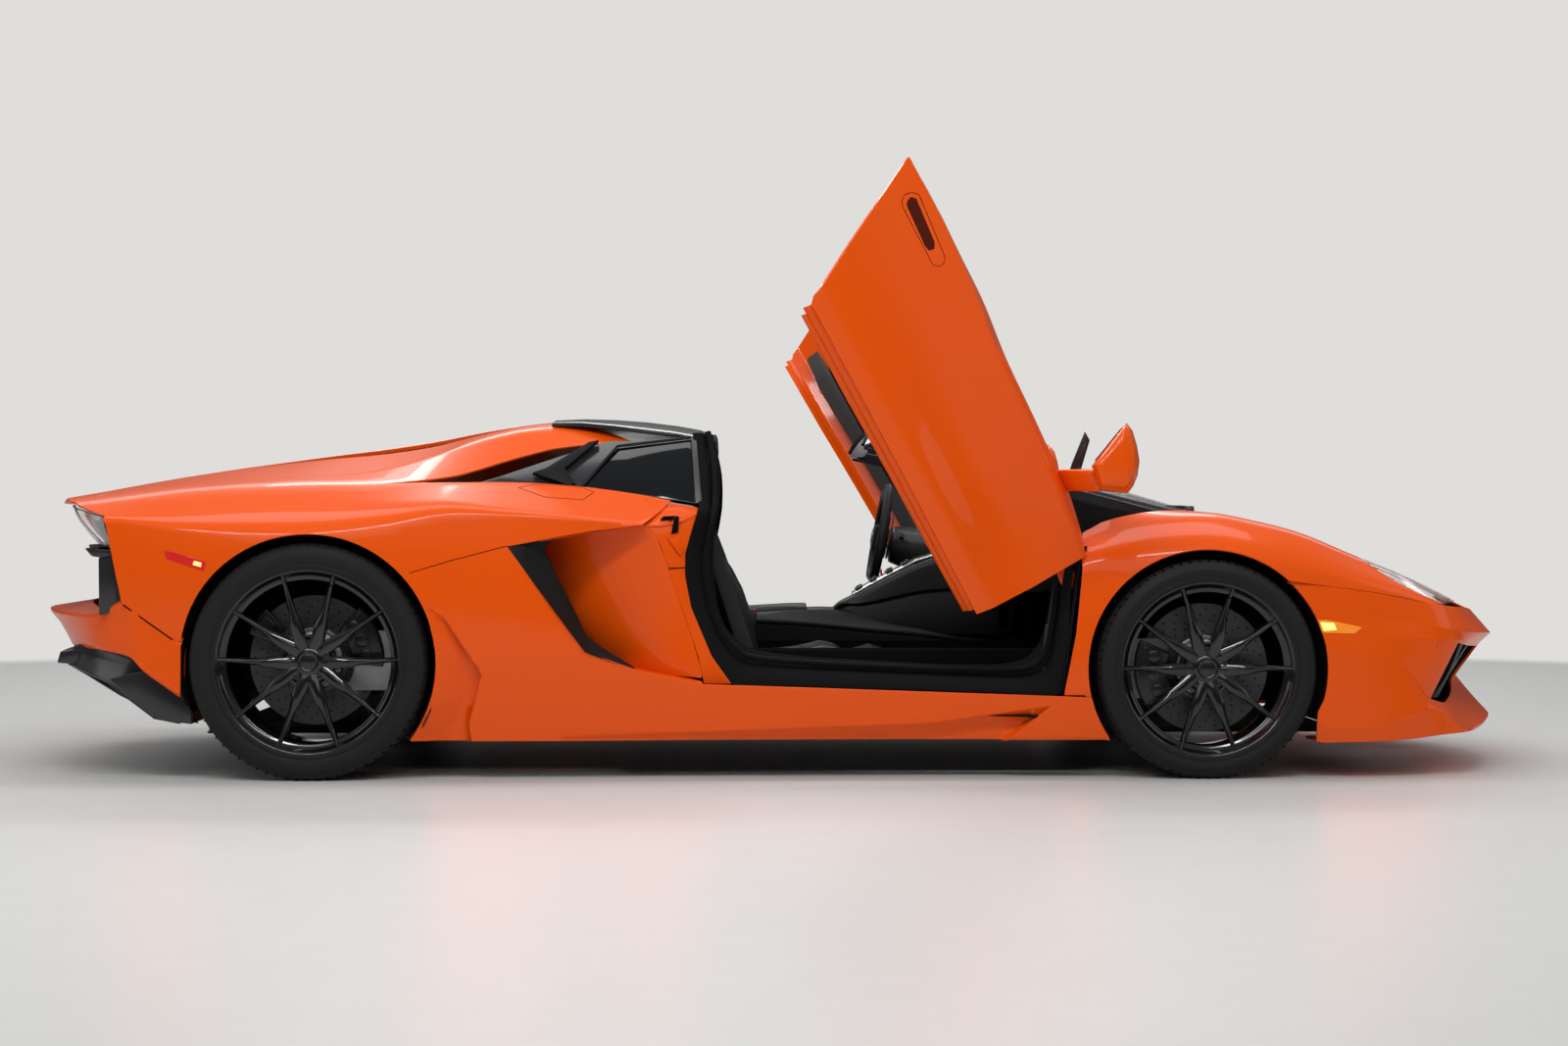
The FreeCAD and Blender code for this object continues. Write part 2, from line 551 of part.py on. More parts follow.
rear_bumper = Part.makeLoft([rib(out, share, 0) for out, share in RIBS], True, True)
bumper_hollow = Part.makeLoft([rib(out, share, PANEL) for out, share in RIBS[:-1]], True, True)
bumper_hollow = bumper_hollow.common(block((from_rear(-1300), from_rear(-640)), (10 - BUMPER_CORNER, 0), TALL))
EXHAUST_RADIUS, EXHAUST_Z = 75, 400
exhaust_hole = rod((BUMPER_FRONT, 0, EXHAUST_Z), (from_rear(-1300), 0, EXHAUST_Z), EXHAUST_RADIUS + FIT)
rear_bumper = both(rear_bumper.cut(bumper_hollow)).cut(exhaust_hole)
publish(feature("rear_bumper_shape", rear_bumper), "rear_bumper")
DECK = [(from_rear(-620), 0), (from_rear(-620), -DECK_HALF), (from_rear(-750), 15 - DECK_HALF), (from_rear(-900), -450),
        (from_rear(-size("deck_overhang")), 0)]
deck = plan_prism(DECK, (838, 868))
publish(feature("deck_shape", both(deck)), "tail_deck")
fascia = block((from_rear(-620), from_rear(-640)), (-FASCIA_HALF, FASCIA_HALF), (520, 838))
publish(feature("fascia_shape", fascia), "tail_fascia")
diffuser = plan_prism([(from_rear(-400), -560), (from_rear(-850), -700), (from_rear(-850), 0),
                       (from_rear(-400), 0)], (BASE, BASE + 12))
for out in (120, 330, 545):
    fin = side_prism([(from_rear(-400), BASE), (from_rear(-850), BASE), (from_rear(-850), 250),
                      (from_rear(-770), 290), (from_rear(-680), 290), (from_rear(-640), 225)],
                     (-out, -out + 8))
    diffuser = diffuser.fuse(fin)
publish(feature("diffuser_shape", both(diffuser)), "rear_diffuser")
lens = block((from_rear(-640), from_rear(-690)), (-LAMP_END, -620), (700, 790))
publish(feature("tail_lamp_shape", Part.makeCompound([lens, mirrored(lens)])), "tail_lights")

# ---------------------------------------------------------------- cabin
dash = side_prism([(from_front(-204), 584), (from_front(-204), 776), (from_front(-560), 790),
                   (from_front(-700), 740), (from_front(-640), 600), (from_front(-440), 540),
                   (TUB_FRONT - tub_wall, 540), (TUB_FRONT - tub_wall, 584)], (-dash_half, dash_half))
publish(feature("dash_shape", dash), "dashboard")
console = side_prism([(from_rear(960), tunnel_top), (from_rear(960), tunnel_top + 70),
                      (from_rear(1440), tunnel_top + 90), (from_front(-640), 600),
                      (from_front(-440), 540), (from_front(-440), tunnel_top)], (-112, 112))
publish(feature("console_shape", console), "centre_console")

cushion_top = BASE + size("seat_cushion_height")
seat_floor = FLOOR + tub_wall
back_run = size("seat_back_length")
lean = math.radians(24)
seat_front, seat_rear = from_rear(1800), from_rear(1290)


def seat(middle):
    """A bucket seat: cushion, raised bolsters and a reclined back."""
    pieces = []
    cushion = side_prism([(seat_rear, seat_floor), (seat_front, seat_floor), (seat_front + 30, cushion_top),
                          (seat_rear, cushion_top - 40)], (middle - seat_half, middle + seat_half))
    for edge in (-1, 1):
        outer = middle + edge * seat_half
        pieces.append(side_prism([(seat_rear, seat_floor + 100), (seat_front - 60, seat_floor + 100),
                                  (seat_front - 20, cushion_top + 45), (seat_rear, cushion_top + 60)],
                                 (outer, outer - edge * 75)))
    foot = Vector(seat_rear + 90, 0, cushion_top - 90)
    head = foot + Vector(-math.sin(lean), 0, math.cos(lean)) * back_run
    front = Vector(math.cos(lean), 0, math.sin(lean))
    for depth, inner, outer, share in ((60, 0, seat_half - 20, 1.0), (130, seat_half - 75, seat_half, 0.72)):
        top = foot + (head - foot) * share
        face = [foot - front * 80, foot + front * (depth - 60), top + front * (depth - 90), top - front * 80]
        for edge in (-1, 1):
            pieces.append(side_prism([(corner.x, corner.z) for corner in face],
                                     (middle + edge * inner, middle + edge * outer)))
    return cushion.fuse(pieces).removeSplitter()


for side, sign in SIDES:
    publish(feature("seat_shape_" + side, seat(sign * size("seat_offset"))), "seat_" + side)

WHEEL_TILT = math.radians(10.4)
wheel_centre = Vector(from_front(-920), size("seat_offset"), 718)
column_way = Vector(math.cos(WHEEL_TILT), 0, -math.sin(WHEEL_TILT))
rim = Part.makeTorus(size("wheel_rim_radius"), 17, wheel_centre, column_way)
boss = Part.makeCylinder(62, 50, wheel_centre - column_way * 10, column_way)
across, upward = Vector(0, 1, 0), column_way.cross(Vector(0, 1, 0))
rim_reach = size("wheel_rim_radius")
spokes = [bar(wheel_centre + column_way * 10, wheel_centre + column_way * 10 + way * rim_reach, 34, 12)
          for way in (across, across * -1, upward * (1 if upward.z < 0 else -1))]
stub = Part.makeCylinder(22, 60, wheel_centre + column_way * 40, column_way)
publish(feature("steering_wheel_shape", rim.fuse([boss, stub] + spokes).removeSplitter()), "steering_wheel")
column = Part.makeCylinder(34, 260, wheel_centre + column_way * (100 + FIT), column_way)
column = column.cut(dash)
column = max(column.Solids, key=lambda solid: (wheel_centre - solid.CenterOfMass).Length * -1)
publish(feature("column_shape", column), "steering_column")

# ---------------------------------------------------------------- engine and exhaust
engine = box("engine_block", ("-wheelbase/2 - axle_shift + 340", "0", "clearance + 330"), ("760", "600", "620"))
publish(engine, "engine")
EXHAUST_REAR = from_rear(-size("tail_overhang") + 40)
muffler = block((from_rear(-560), from_rear(-300)), (-330, 330), (330, 520))
pipe = rod((from_rear(-560), 0, EXHAUST_Z), (EXHAUST_REAR, 0, EXHAUST_Z), EXHAUST_RADIUS)
pipe = pipe.cut(rod((from_rear(-600), 0, EXHAUST_Z), (EXHAUST_REAR - 10, 0, EXHAUST_Z), EXHAUST_RADIUS - 8))
link = rod((from_rear(-300), 0, EXHAUST_Z), (from_rear(-40), 0, EXHAUST_Z), 40)
publish(feature("exhaust_shape", muffler.fuse([pipe, link]).removeSplitter()), "exhaust")

# ---------------------------------------------------------------- wheels, tyres and what carries them
KINGPIN = 36          # inboard of the wheel's middle
PIN_RADIUS = 12
BALL_HEIGHT = 146     # from the hub's height to an arm's eye
EYE = 24
CALIPER_GAP = 6
AXLES = (
    # name, x, caliper side, steered
    ("front", FRONT_AXLE, -1, True),
    ("rear", REAR_AXLE, 1, False),
)


def across_y(centre, outward, start, end, radius):
    """A cylinder along Y between two distances outboard of a wheel's middle."""
    way = Vector(0, outward, 0)
    return Part.makeCylinder(radius, end - start, centre + way * start, way)


def spoked_wheel(centre, outward, rim_radius, width):
    """Barrel, hub, paired spokes and brake disc."""
    face = width / 2 - 16
    depth = size("spoke_depth")
    hub = size("hub_radius")
    inner = rim_radius - size("rim_wall")
    barrel = across_y(centre, outward, -face, face, rim_radius).cut(
        across_y(centre, outward, -face - 1, face + 1, inner))
    pieces = [across_y(centre, outward, -8, face - 14, hub),
              across_y(centre, outward, 0, size("disc_thickness"), size("disc_radius"))]
    wide = size("spoke_width")
    low, high = sorted((outward * (face - 6 - depth), outward * (face - 6)))
    for pair in range(int(size("spoke_pairs"))):
        for lean in (-13, 13):
            spoke = Part.makeBox(wide, high - low, inner - hub + 30,
                                 Vector(-wide / 2, low, hub - 20))
            spoke.Placement = Placement(centre, Rotation(Vector(0, 1, 0), 360 / size("spoke_pairs") * pair + lean))
            pieces.append(spoke)
    bore = across_y(centre, outward, -60, 34 + 20, size("spindle_radius") + FIT)
    return barrel.fuse(pieces).cut(bore).removeSplitter()


def carrier(centre, outward, rim_radius, way):
    """Hub carrier with its stub axle, kingpin and brake caliper."""
    block_y = sorted((centre.y + outward * -60, centre.y + outward * -14))
    body = block((centre.x - 45, centre.x + 45), block_y, (centre.z - BALL_HEIGHT + 8, centre.z + BALL_HEIGHT - 8))
    axle = across_y(centre, outward, -20, 34 + 15, size("spindle_radius"))
    pieces = [axle]
    pin_base = centre + Vector(0, -outward * KINGPIN, -BALL_HEIGHT - EYE)
    pieces.append(Part.makeCylinder(PIN_RADIUS, 2 * (BALL_HEIGHT + EYE), pin_base))
    outer = rim_radius - size("rim_wall") - 10
    ring = across_y(centre, outward, -44, 54, outer).cut(across_y(centre, outward, -60, 70, 128))
    slot = across_y(centre, outward, -CALIPER_GAP, size("disc_thickness") + CALIPER_GAP,
                    size("disc_radius") + CALIPER_GAP)
    window = block((centre.x + way * 60, centre.x + way * 400), (centre.y - 200, centre.y + 200),
                   (centre.z - 90, centre.z + 90))
    caliper = ring.cut(slot).common(window)
    pieces.append(caliper)
    bracket_y = sorted((centre.y - outward * 44, centre.y - outward * 16))
    pieces.append(block((centre.x + way * 40, centre.x + way * 140), bracket_y, (centre.z - 40, centre.z + 40)))
    return body.fuse(pieces).removeSplitter()


def wishbones(centre, outward, rail_y):
    """Upper and lower arms from the frame to the kingpin."""
    eye_y = centre.y - outward * KINGPIN
    pieces = []
    for way, frame_z in ((-1, centre.z - 110), (1, centre.z + 160)):
        eye_z = centre.z + way * (BALL_HEIGHT + EYE / 2)
        ring = Part.makeCylinder(EYE, EYE, Vector(centre.x, eye_y, eye_z - EYE / 2))
        legs = []
        for fore in (-1, 1):
            start = Vector(centre.x + fore * (150 if way < 0 else 16), outward * rail_y, frame_z)
            stop = Vector(centre.x + fore * 10, eye_y - outward * 10, eye_z)
            legs.append(bar(start, stop, 26, 18))
        arm = ring.fuse(legs).cut(Part.makeCylinder(PIN_RADIUS + FIT, 200, Vector(centre.x, eye_y, eye_z - 100)))
        pieces.append(arm.removeSplitter())
    return pieces


for axle, x, way, steered in AXLES:
    rim_radius = size(axle + "_rim_radius")
    width = size(axle + "_tyre_width")
    radius = size(axle + "_tyre_radius")
    arms = []
    for side, sign in SIDES:
        name = f"{axle}_{side}"
        middle = f"{sign}*(body_width/2 - {axle}_wheel_inset - {axle}_tyre_width/2)"
        at = (f"{'' if axle == 'front' else '-'}wheelbase/2 - axle_shift", middle, f"{axle}_tyre_radius")
        outside = cylinder_y("tyre_outside_" + name, at, f"{axle}_tyre_radius", f"{axle}_tyre_width")
        bore = cylinder_y("tyre_bore_" + name, at, f"{axle}_rim_radius + running_fit",
                          f"{axle}_tyre_width + 2")
        rounded = doc.addObject("Part::Fillet", "tyre_rounded_" + name)
        rounded.Base = outside
        doc.recompute()
        shoulder = size("tyre_shoulder")
        rounded.Edges = [(number, shoulder, shoulder) for number, edge in enumerate(outside.Shape.Edges, 1)
                         if edge.Closed and len(edge.Vertexes) == 1]
        publish(cut("tyre_shape_" + name, rounded, bore), "tyre_" + name)
        y = sign * (HALF_WIDTH - size(axle + "_wheel_inset") - width / 2)
        centre = Vector(x, y, radius)
        publish(feature("wheel_shape_" + name, spoked_wheel(centre, sign, rim_radius, width)), "wheel_" + name)
        hub_carrier = carrier(centre, sign, rim_radius, way)
        if steered:
            publish(feature("knuckle_shape_" + side, hub_carrier), "front_knuckle_" + side)
        else:
            arms.append(hub_carrier)
        arms += wishbones(centre, sign, RAIL_OUTER)
    arms_shape = Part.makeCompound([arm.cut(tub) for arm in arms])
    publish(feature("arms_shape_" + axle, arms_shape), axle + ("_wishbones" if steered else "_suspension"))

doc.recompute()
failed = [obj.Name for obj in doc.Objects if "Invalid" in obj.State or "Error" in obj.State]
failed += [obj.Label for obj in nodes if obj.Shape.isNull() or not obj.Shape.isValid()]
if failed:
    raise RuntimeError("These objects failed: " + ", ".join(failed))
for obj in nodes:
    obj.Shape.exportStep(os.path.join("parts", obj.Label + ".step"))
    print(obj.Label, len(obj.Shape.Solids), round(obj.Shape.Volume / 1e6, 2), "litres")
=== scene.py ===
"""Looks of a low mid-engined two-seat roadster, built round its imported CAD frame.

Lengths are metres. Tables of the bodywork give x from the middle of the
wheelbase, distance out from the centreline and height above the floor; every
finished piece is moved by MID so that it stands in the frame.
"""
import json
import logging
import math
from dataclasses import dataclass, field
from enum import Enum

import bmesh
import bpy
import numpy as np
from mathutils import Matrix, Vector
from mathutils.bvhtree import BVHTree
from mathutils.geometry import delaunay_2d_cdt


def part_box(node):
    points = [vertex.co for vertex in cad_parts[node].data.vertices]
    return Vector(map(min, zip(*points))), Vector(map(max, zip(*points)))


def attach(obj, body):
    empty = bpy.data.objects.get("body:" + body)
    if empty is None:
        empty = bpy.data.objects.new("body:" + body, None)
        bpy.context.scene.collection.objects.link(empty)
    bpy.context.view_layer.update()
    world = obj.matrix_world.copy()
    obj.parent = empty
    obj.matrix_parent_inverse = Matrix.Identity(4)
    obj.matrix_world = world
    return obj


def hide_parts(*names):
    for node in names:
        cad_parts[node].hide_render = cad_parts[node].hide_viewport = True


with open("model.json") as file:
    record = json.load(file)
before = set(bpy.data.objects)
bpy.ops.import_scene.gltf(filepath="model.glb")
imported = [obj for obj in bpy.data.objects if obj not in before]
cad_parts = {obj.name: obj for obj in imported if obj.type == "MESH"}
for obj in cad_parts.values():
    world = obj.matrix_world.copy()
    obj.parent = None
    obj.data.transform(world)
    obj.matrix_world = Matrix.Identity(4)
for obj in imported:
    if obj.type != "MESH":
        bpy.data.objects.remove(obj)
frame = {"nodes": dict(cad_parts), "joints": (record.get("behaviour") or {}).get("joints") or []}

log = logging.getLogger("roadster")
Point2 = tuple[float, float]
Point3 = tuple[float, float, float]
SIDES = {"right": -1, "left": 1}
DOOR_RAISED = 60        # degrees from a shut door to a raised one


def node_centre(node: str) -> Vector:
    """Middle of a CAD node's box.

    Args:
        node: name of the node.

    Returns:
        The middle, in the frame.
    """
    low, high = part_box(node)
    return (low + high) / 2


FRONT_X = node_centre("wheel_front_right").x
REAR_X = node_centre("wheel_rear_right").x
MID = (FRONT_X + REAR_X) / 2
HALF_BASE = (FRONT_X - REAR_X) / 2


# ------------------------------------------------------------------ finishes
class Pattern(Enum):
    """Fine relief or colour change that a finish carries."""

    FLAKE = "flake"
    MOULD = "mould"
    LEATHER = "leather"
    SUEDE = "suede"
    BRUSHED = "brushed"
    CAST = "cast"
    TWILL = "twill"
    RUBBER = "rubber"
    MESH = "mesh"
    PLAIN = "plain"


@dataclass(frozen=True)
class Finish:
    """One surface finish, made into a procedural material on first use.

    Attributes:
        name: material name.
        colour: base colour, linear.
        roughness: middle roughness.
        metallic: metal share.
        coat: clear coat weight.
        pattern: the relief it carries.
        scale: pattern cells per metre.
        depth: strength of the relief.
        spread: how far colour and roughness wander from their middle.
        specular: specular level.
        transmission: share of light let through.
        alpha: opacity.
        glow: emission strength.
        glow_colour: emission colour.
        sheen: fibre sheen weight.
    """

    name: str
    colour: Point3
    roughness: float = 0.5
    metallic: float = 0.0
    coat: float = 0.0
    pattern: Pattern = Pattern.MOULD
    scale: float = 400.0
    depth: float = 0.08
    spread: float = 0.12
    specular: float = 0.5
    transmission: float = 0.0
    alpha: float = 1.0
    glow: float = 0.0
    glow_colour: Point3 = (1.0, 1.0, 1.0)
    sheen: float = 0.0

    def material(self) -> bpy.types.Material:
        """Returns the material, built once."""
        found = bpy.data.materials.get(self.name)
        if found:
            return found
        material = bpy.data.materials.new(self.name)
        material.use_nodes = True
        tree = material.node_tree
        shader = tree.nodes["Principled BSDF"]
        self._sockets(shader)
        coordinates = tree.nodes.new("ShaderNodeTexCoord")
        place = tree.nodes.new("ShaderNodeMapping")
        place.inputs["Scale"].default_value = self._stretch()
        tree.links.new(coordinates.outputs["Object"], place.inputs["Vector"])
        relief = self._relief(tree, place.outputs["Vector"])
        self._wander(tree, shader, coordinates.outputs["Object"])
        if self.depth and relief:
            bump = tree.nodes.new("ShaderNodeBump")
            bump.inputs["Strength"].default_value = self.depth
            bump.inputs["Distance"].default_value = 0.6 / self.scale
            tree.links.new(relief, bump.inputs["Height"])
            tree.links.new(bump.outputs["Normal"], shader.inputs["Normal"])
        return material

    def _sockets(self, shader: bpy.types.ShaderNode) -> None:
        """Sets the values that are the same all over the surface.

        Args:
            shader: the Principled node.
        """
        values = {
            "Base Color": (*self.colour, 1.0), "Roughness": self.roughness,
            "Metallic": self.metallic, "Coat Weight": self.coat, "Coat Roughness": 0.04,
            "Specular IOR Level": self.specular, "Transmission Weight": self.transmission,
            "Alpha": self.alpha, "Emission Color": (*self.glow_colour, 1.0),
            "Emission Strength": self.glow, "Sheen Weight": self.sheen,
        }
        for name, value in values.items():
            shader.inputs[name].default_value = value

    def _stretch(self) -> Point3:
        """Returns how the pattern is drawn out along each axis."""
        return (0.04, 1.0, 1.0) if self.pattern is Pattern.BRUSHED else (1.0, 1.0, 1.0)

    def _relief(self, tree: bpy.types.NodeTree,
                vector: bpy.types.NodeSocket) -> bpy.types.NodeSocket | None:
        """Builds the height pattern.

        Args:
            tree: the material's tree.
            vector: coordinates of the pattern.

        Returns:
            The height output, or None for a plain finish.
        """
        nodes, links = tree.nodes, tree.links
        if self.pattern is Pattern.PLAIN:
            return None
        if self.pattern in (Pattern.LEATHER, Pattern.CAST, Pattern.FLAKE):
            cells = nodes.new("ShaderNodeTexVoronoi")
            cells.inputs["Scale"].default_value = self.scale
            if self.pattern is Pattern.LEATHER:
                cells.feature = "SMOOTH_F1"
            links.new(vector, cells.inputs["Vector"])
            return cells.outputs["Distance"]
        if self.pattern in (Pattern.TWILL, Pattern.MESH):
            waves = []
            for way in ((1.0, 1.0, 1.0), (-1.0, 1.0, 1.0)):
                turned = nodes.new("ShaderNodeMapping")
                turned.inputs["Scale"].default_value = way
                wave = nodes.new("ShaderNodeTexWave")
                wave.bands_direction = "DIAGONAL"
                wave.inputs["Scale"].default_value = self.scale / 6
                links.new(vector, turned.inputs["Vector"])
                links.new(turned.outputs["Vector"], wave.inputs["Vector"])
                waves.append(wave)
            join = nodes.new("ShaderNodeMath")
            join.operation = "MAXIMUM" if self.pattern is Pattern.TWILL else "MULTIPLY"
            links.new(waves[0].outputs["Fac"], join.inputs[0])
            links.new(waves[1].outputs["Fac"], join.inputs[1])
            return join.outputs["Value"]
        noise = nodes.new("ShaderNodeTexNoise")
        noise.inputs["Scale"].default_value = self.scale
        noise.inputs["Detail"].default_value = 6.0 if self.pattern is Pattern.SUEDE else 3.0
        noise.inputs["Roughness"].default_value = 0.65
        links.new(vector, noise.inputs["Vector"])
        return noise.outputs["Fac"]

    def _wander(self, tree: bpy.types.NodeTree, shader: bpy.types.ShaderNode,
                vector: bpy.types.NodeSocket) -> None:
        """Lets colour and roughness drift a little over the surface.

        Args:
            tree: the material's tree.
            shader: its principled shader.
            vector: object coordinates.
        """
        if not self.spread:
            return
        drift = tree.nodes.new("ShaderNodeTexNoise")
        fine = self.pattern is Pattern.FLAKE
        drift.inputs["Scale"].default_value = 900.0 if fine else 7.0
        drift.inputs["Detail"].default_value = 2.0 if fine else 5.0
        tree.links.new(vector, drift.inputs["Vector"])
        tone = tree.nodes.new("ShaderNodeMixRGB")
        dark = tuple(c * (1 - self.spread) for c in self.colour)
        light = tuple(min(1.0, c * (1 + self.spread)) for c in self.colour)
        tone.inputs["Color1"].default_value = (*dark, 1.0)
        tone.inputs["Color2"].default_value = (*light, 1.0)
        tree.links.new(drift.outputs["Fac"], tone.inputs["Fac"])
        tree.links.new(tone.outputs["Color"], shader.inputs["Base Color"])
        gloss = tree.nodes.new("ShaderNodeMapRange")
        gloss.inputs["To Min"].default_value = max(0.02, self.roughness * (1 - self.spread))
        gloss.inputs["To Max"].default_value = min(1.0, self.roughness * (1 + self.spread))
        tree.links.new(drift.outputs["Fac"], gloss.inputs["Value"])
        tree.links.new(gloss.outputs["Result"], shader.inputs["Roughness"])


PAINT = Finish("pearl_orange", (0.80, 0.088, 0.002), roughness=0.32, coat=0.28, pattern=Pattern.FLAKE,
               scale=1500.0, depth=0.012, spread=0.05, specular=0.10)
GLOSS_BLACK = Finish("gloss_black", (0.005, 0.005, 0.006), roughness=0.16, coat=0.14, scale=30.0,
                     depth=0.004, spread=0.1, specular=0.10)
SATIN_BLACK = Finish("satin_black", (0.009, 0.009, 0.010), roughness=0.55, scale=700.0, depth=0.12,
                     spread=0.15, specular=0.02)
GREY_TRIM = Finish("dark_grey_trim", (0.012, 0.0125, 0.013), roughness=0.45, scale=700.0, depth=0.1,
                   specular=0.08)
# Near-black, almost unreflecting finish: the colour of dark shut lines and black inner parts, and painted
# shade where it fills holes, cuts, recesses and throats that are dark only from shade.
SHADOW = Finish("black_inner_and_painted_shade", (0.005, 0.005, 0.005), roughness=0.8, scale=200.0, depth=0.1, spread=0.2,
                specular=0.02)
CARBON = Finish("carbon_shell", (0.007, 0.007, 0.008), pattern=Pattern.TWILL, scale=500.0, depth=0.15,
                spread=0.25, specular=0.0)
# Painted shade: the body orange darkened to the shade that fills the door handle's recess.
POCKET_SHADE = Finish("shaded_orange", (0.070, 0.006, 0.001), roughness=0.45, coat=0.1, pattern=Pattern.FLAKE,
                scale=1500.0, depth=0.012, spread=0.05, specular=0.10)
SILL_BLACK = Finish("sill_black", (0.011, 0.011, 0.012), roughness=0.7, scale=700.0, depth=0.12,
                    spread=0.15, specular=0.0)
SEAL = Finish("rubber_seal", (0.007, 0.007, 0.007), roughness=0.66, pattern=Pattern.RUBBER, scale=900.0,
              depth=0.15, spread=0.2, specular=0.05)
TYRE = Finish("tyre_rubber", (0.010, 0.010, 0.011), roughness=0.66, pattern=Pattern.RUBBER, scale=320.0,
              depth=0.22, spread=0.28, specular=0.22)
WHEEL = Finish("wheel_black", (0.006, 0.006, 0.007), roughness=0.15, metallic=0.2, coat=0.6, scale=60.0,
               depth=0.005, spread=0.15, specular=0.35)
DISC = Finish("brake_disc", (0.07, 0.07, 0.073), roughness=0.42, metallic=0.6, pattern=Pattern.BRUSHED,
              scale=500.0, depth=0.12, spread=0.2)
CALIPER = Finish("caliper_black", (0.008, 0.008, 0.009), roughness=0.30, metallic=0.2, coat=0.4,
                 pattern=Pattern.CAST, scale=260.0, depth=0.06, specular=0.3)
STEEL = Finish("machined_steel", (0.42, 0.42, 0.43), roughness=0.30, metallic=1.0, pattern=Pattern.BRUSHED,
               scale=420.0, spread=0.15)
ALLOY = Finish("cast_alloy", (0.30, 0.30, 0.31), roughness=0.48, metallic=0.9, pattern=Pattern.CAST,
               scale=300.0, depth=0.2, spread=0.2)
IRON = Finish("engine_casting", (0.11, 0.11, 0.115), roughness=0.55, metallic=0.7, pattern=Pattern.CAST,
              scale=240.0, depth=0.3, spread=0.25)
TITANIUM = Finish("exhaust_steel", (0.34, 0.31, 0.28), roughness=0.26, metallic=1.0,
                  pattern=Pattern.BRUSHED, scale=300.0, spread=0.3)
GLASS = Finish("screen_glass", (0.55, 0.60, 0.58), roughness=0.03, pattern=Pattern.PLAIN, scale=1.0,
               depth=0.0, spread=0.0, transmission=0.9, alpha=0.35)
DARK_GLASS = Finish("dark_glass", (0.003, 0.004, 0.006), roughness=0.05, coat=0.3, pattern=Pattern.PLAIN,
                    scale=1.0, depth=0.0, spread=0.1, specular=0.2)
LENS = Finish("lamp_lens", (0.86, 0.88, 0.90), roughness=0.03, coat=0.3, pattern=Pattern.PLAIN, scale=1.0,
              depth=0.0, spread=0.0, transmission=0.95, alpha=0.32)
FROSTED = Finish("frosted_silver", (0.52, 0.53, 0.54), roughness=0.34, metallic=0.35, coat=0.2, scale=300.0,
                 depth=0.03, spread=0.06)
REFLECTOR = Finish("lamp_chrome", (0.72, 0.73, 0.75), roughness=0.14, metallic=1.0, pattern=Pattern.BRUSHED,
                   scale=200.0, depth=0.03, spread=0.1)
LED_WHITE = Finish("led_white", (0.85, 0.87, 0.9), roughness=0.3, coat=0.5, scale=600.0, depth=0.1,
                   spread=0.05, glow=0.35, glow_colour=(1.0, 0.98, 0.94))
LED_RED = Finish("led_red", (0.42, 0.008, 0.006), roughness=0.18, coat=1.0, pattern=Pattern.MESH,
                 scale=900.0, depth=0.2, spread=0.1, glow=0.25, glow_colour=(1.0, 0.03, 0.01))
AMBER = Finish("amber_lens", (0.85, 0.22, 0.02), roughness=0.14, coat=1.0, pattern=Pattern.MESH,
               scale=900.0, depth=0.2, spread=0.08, glow=0.25, glow_colour=(1.0, 0.35, 0.02))
AMBER_LIT = Finish("amber_glow", (1.0, 0.62, 0.08), roughness=0.3, depth=0.05, spread=0.05, glow=2.6,
                   glow_colour=(1.0, 0.62, 0.10))
RED_LIT = Finish("red_glow", (1.0, 0.35, 0.12), roughness=0.3, depth=0.05, spread=0.05, glow=2.4,
                 glow_colour=(1.0, 0.30, 0.10))
LEATHER = Finish("black_leather", (0.010, 0.010, 0.011), pattern=Pattern.LEATHER, scale=330.0, depth=0.35,
                 spread=0.18, specular=0.28)
SUEDE = Finish("black_suede", (0.009, 0.009, 0.010), roughness=0.88, pattern=Pattern.SUEDE, scale=900.0,
               depth=0.4, spread=0.3, specular=0.15, sheen=0.15)
CARPET = Finish("floor_carpet", (0.007, 0.007, 0.007), roughness=0.94, pattern=Pattern.SUEDE, scale=500.0,
                depth=0.8, spread=0.35, specular=0.1, sheen=0.12)
SILVER = Finish("silver_trim", (0.60, 0.61, 0.62), roughness=0.24, metallic=1.0, coat=0.3,
                pattern=Pattern.BRUSHED, scale=500.0, depth=0.05, spread=0.1)
THREAD = Finish("seam_thread", (0.030, 0.030, 0.032), roughness=0.7, pattern=Pattern.RUBBER, scale=1500.0,
                depth=0.3, spread=0.15, specular=0.2)
SCREEN = Finish("instrument_glass", (0.006, 0.008, 0.010), roughness=0.12, coat=0.4, scale=80.0,
                depth=0.002, spread=0.1, specular=0.3)
BARE_CAP = Finish("wheel_cap", (0.012, 0.012, 0.013), roughness=0.24, metallic=0.3, coat=0.4, scale=500.0,
                  depth=0.03, spread=0.1, specular=0.35)
GRILLE = Finish("grille_black", (0.007, 0.007, 0.007), scale=600.0, depth=0.1, spread=0.15, specular=0.25)
WEBBING = Finish("belt_webbing", (0.012, 0.012, 0.013), roughness=0.62, pattern=Pattern.TWILL, scale=900.0,
                 depth=0.5, spread=0.2)
RED_TRIM = Finish("red_trim", (0.35, 0.012, 0.008), roughness=0.35, coat=0.3, scale=500.0, spread=0.1)
BULKHEAD = Finish("underbody_black", (0.010, 0.010, 0.011), roughness=0.66, scale=260.0, depth=0.2,
                  spread=0.2, specular=0.2)


# ------------------------------------------------------------------ small tools
def track_slopes(u: np.ndarray, values: np.ndarray) -> np.ndarray:
    """Slopes of a smooth curve through stations.

    Args:
        u: stations.
        values: one row of numbers for each station.

    Returns:
        The slope of each number at each station.
    """
    gap = np.diff(u)[:, None]
    rise = np.diff(values, axis=0) / gap
    slopes = np.empty_like(values)
    slopes[0], slopes[-1] = rise[0], rise[-1]
    slopes[1:-1] = (rise[:-1] * gap[1:] + rise[1:] * gap[:-1]) / (gap[1:] + gap[:-1])
    return slopes


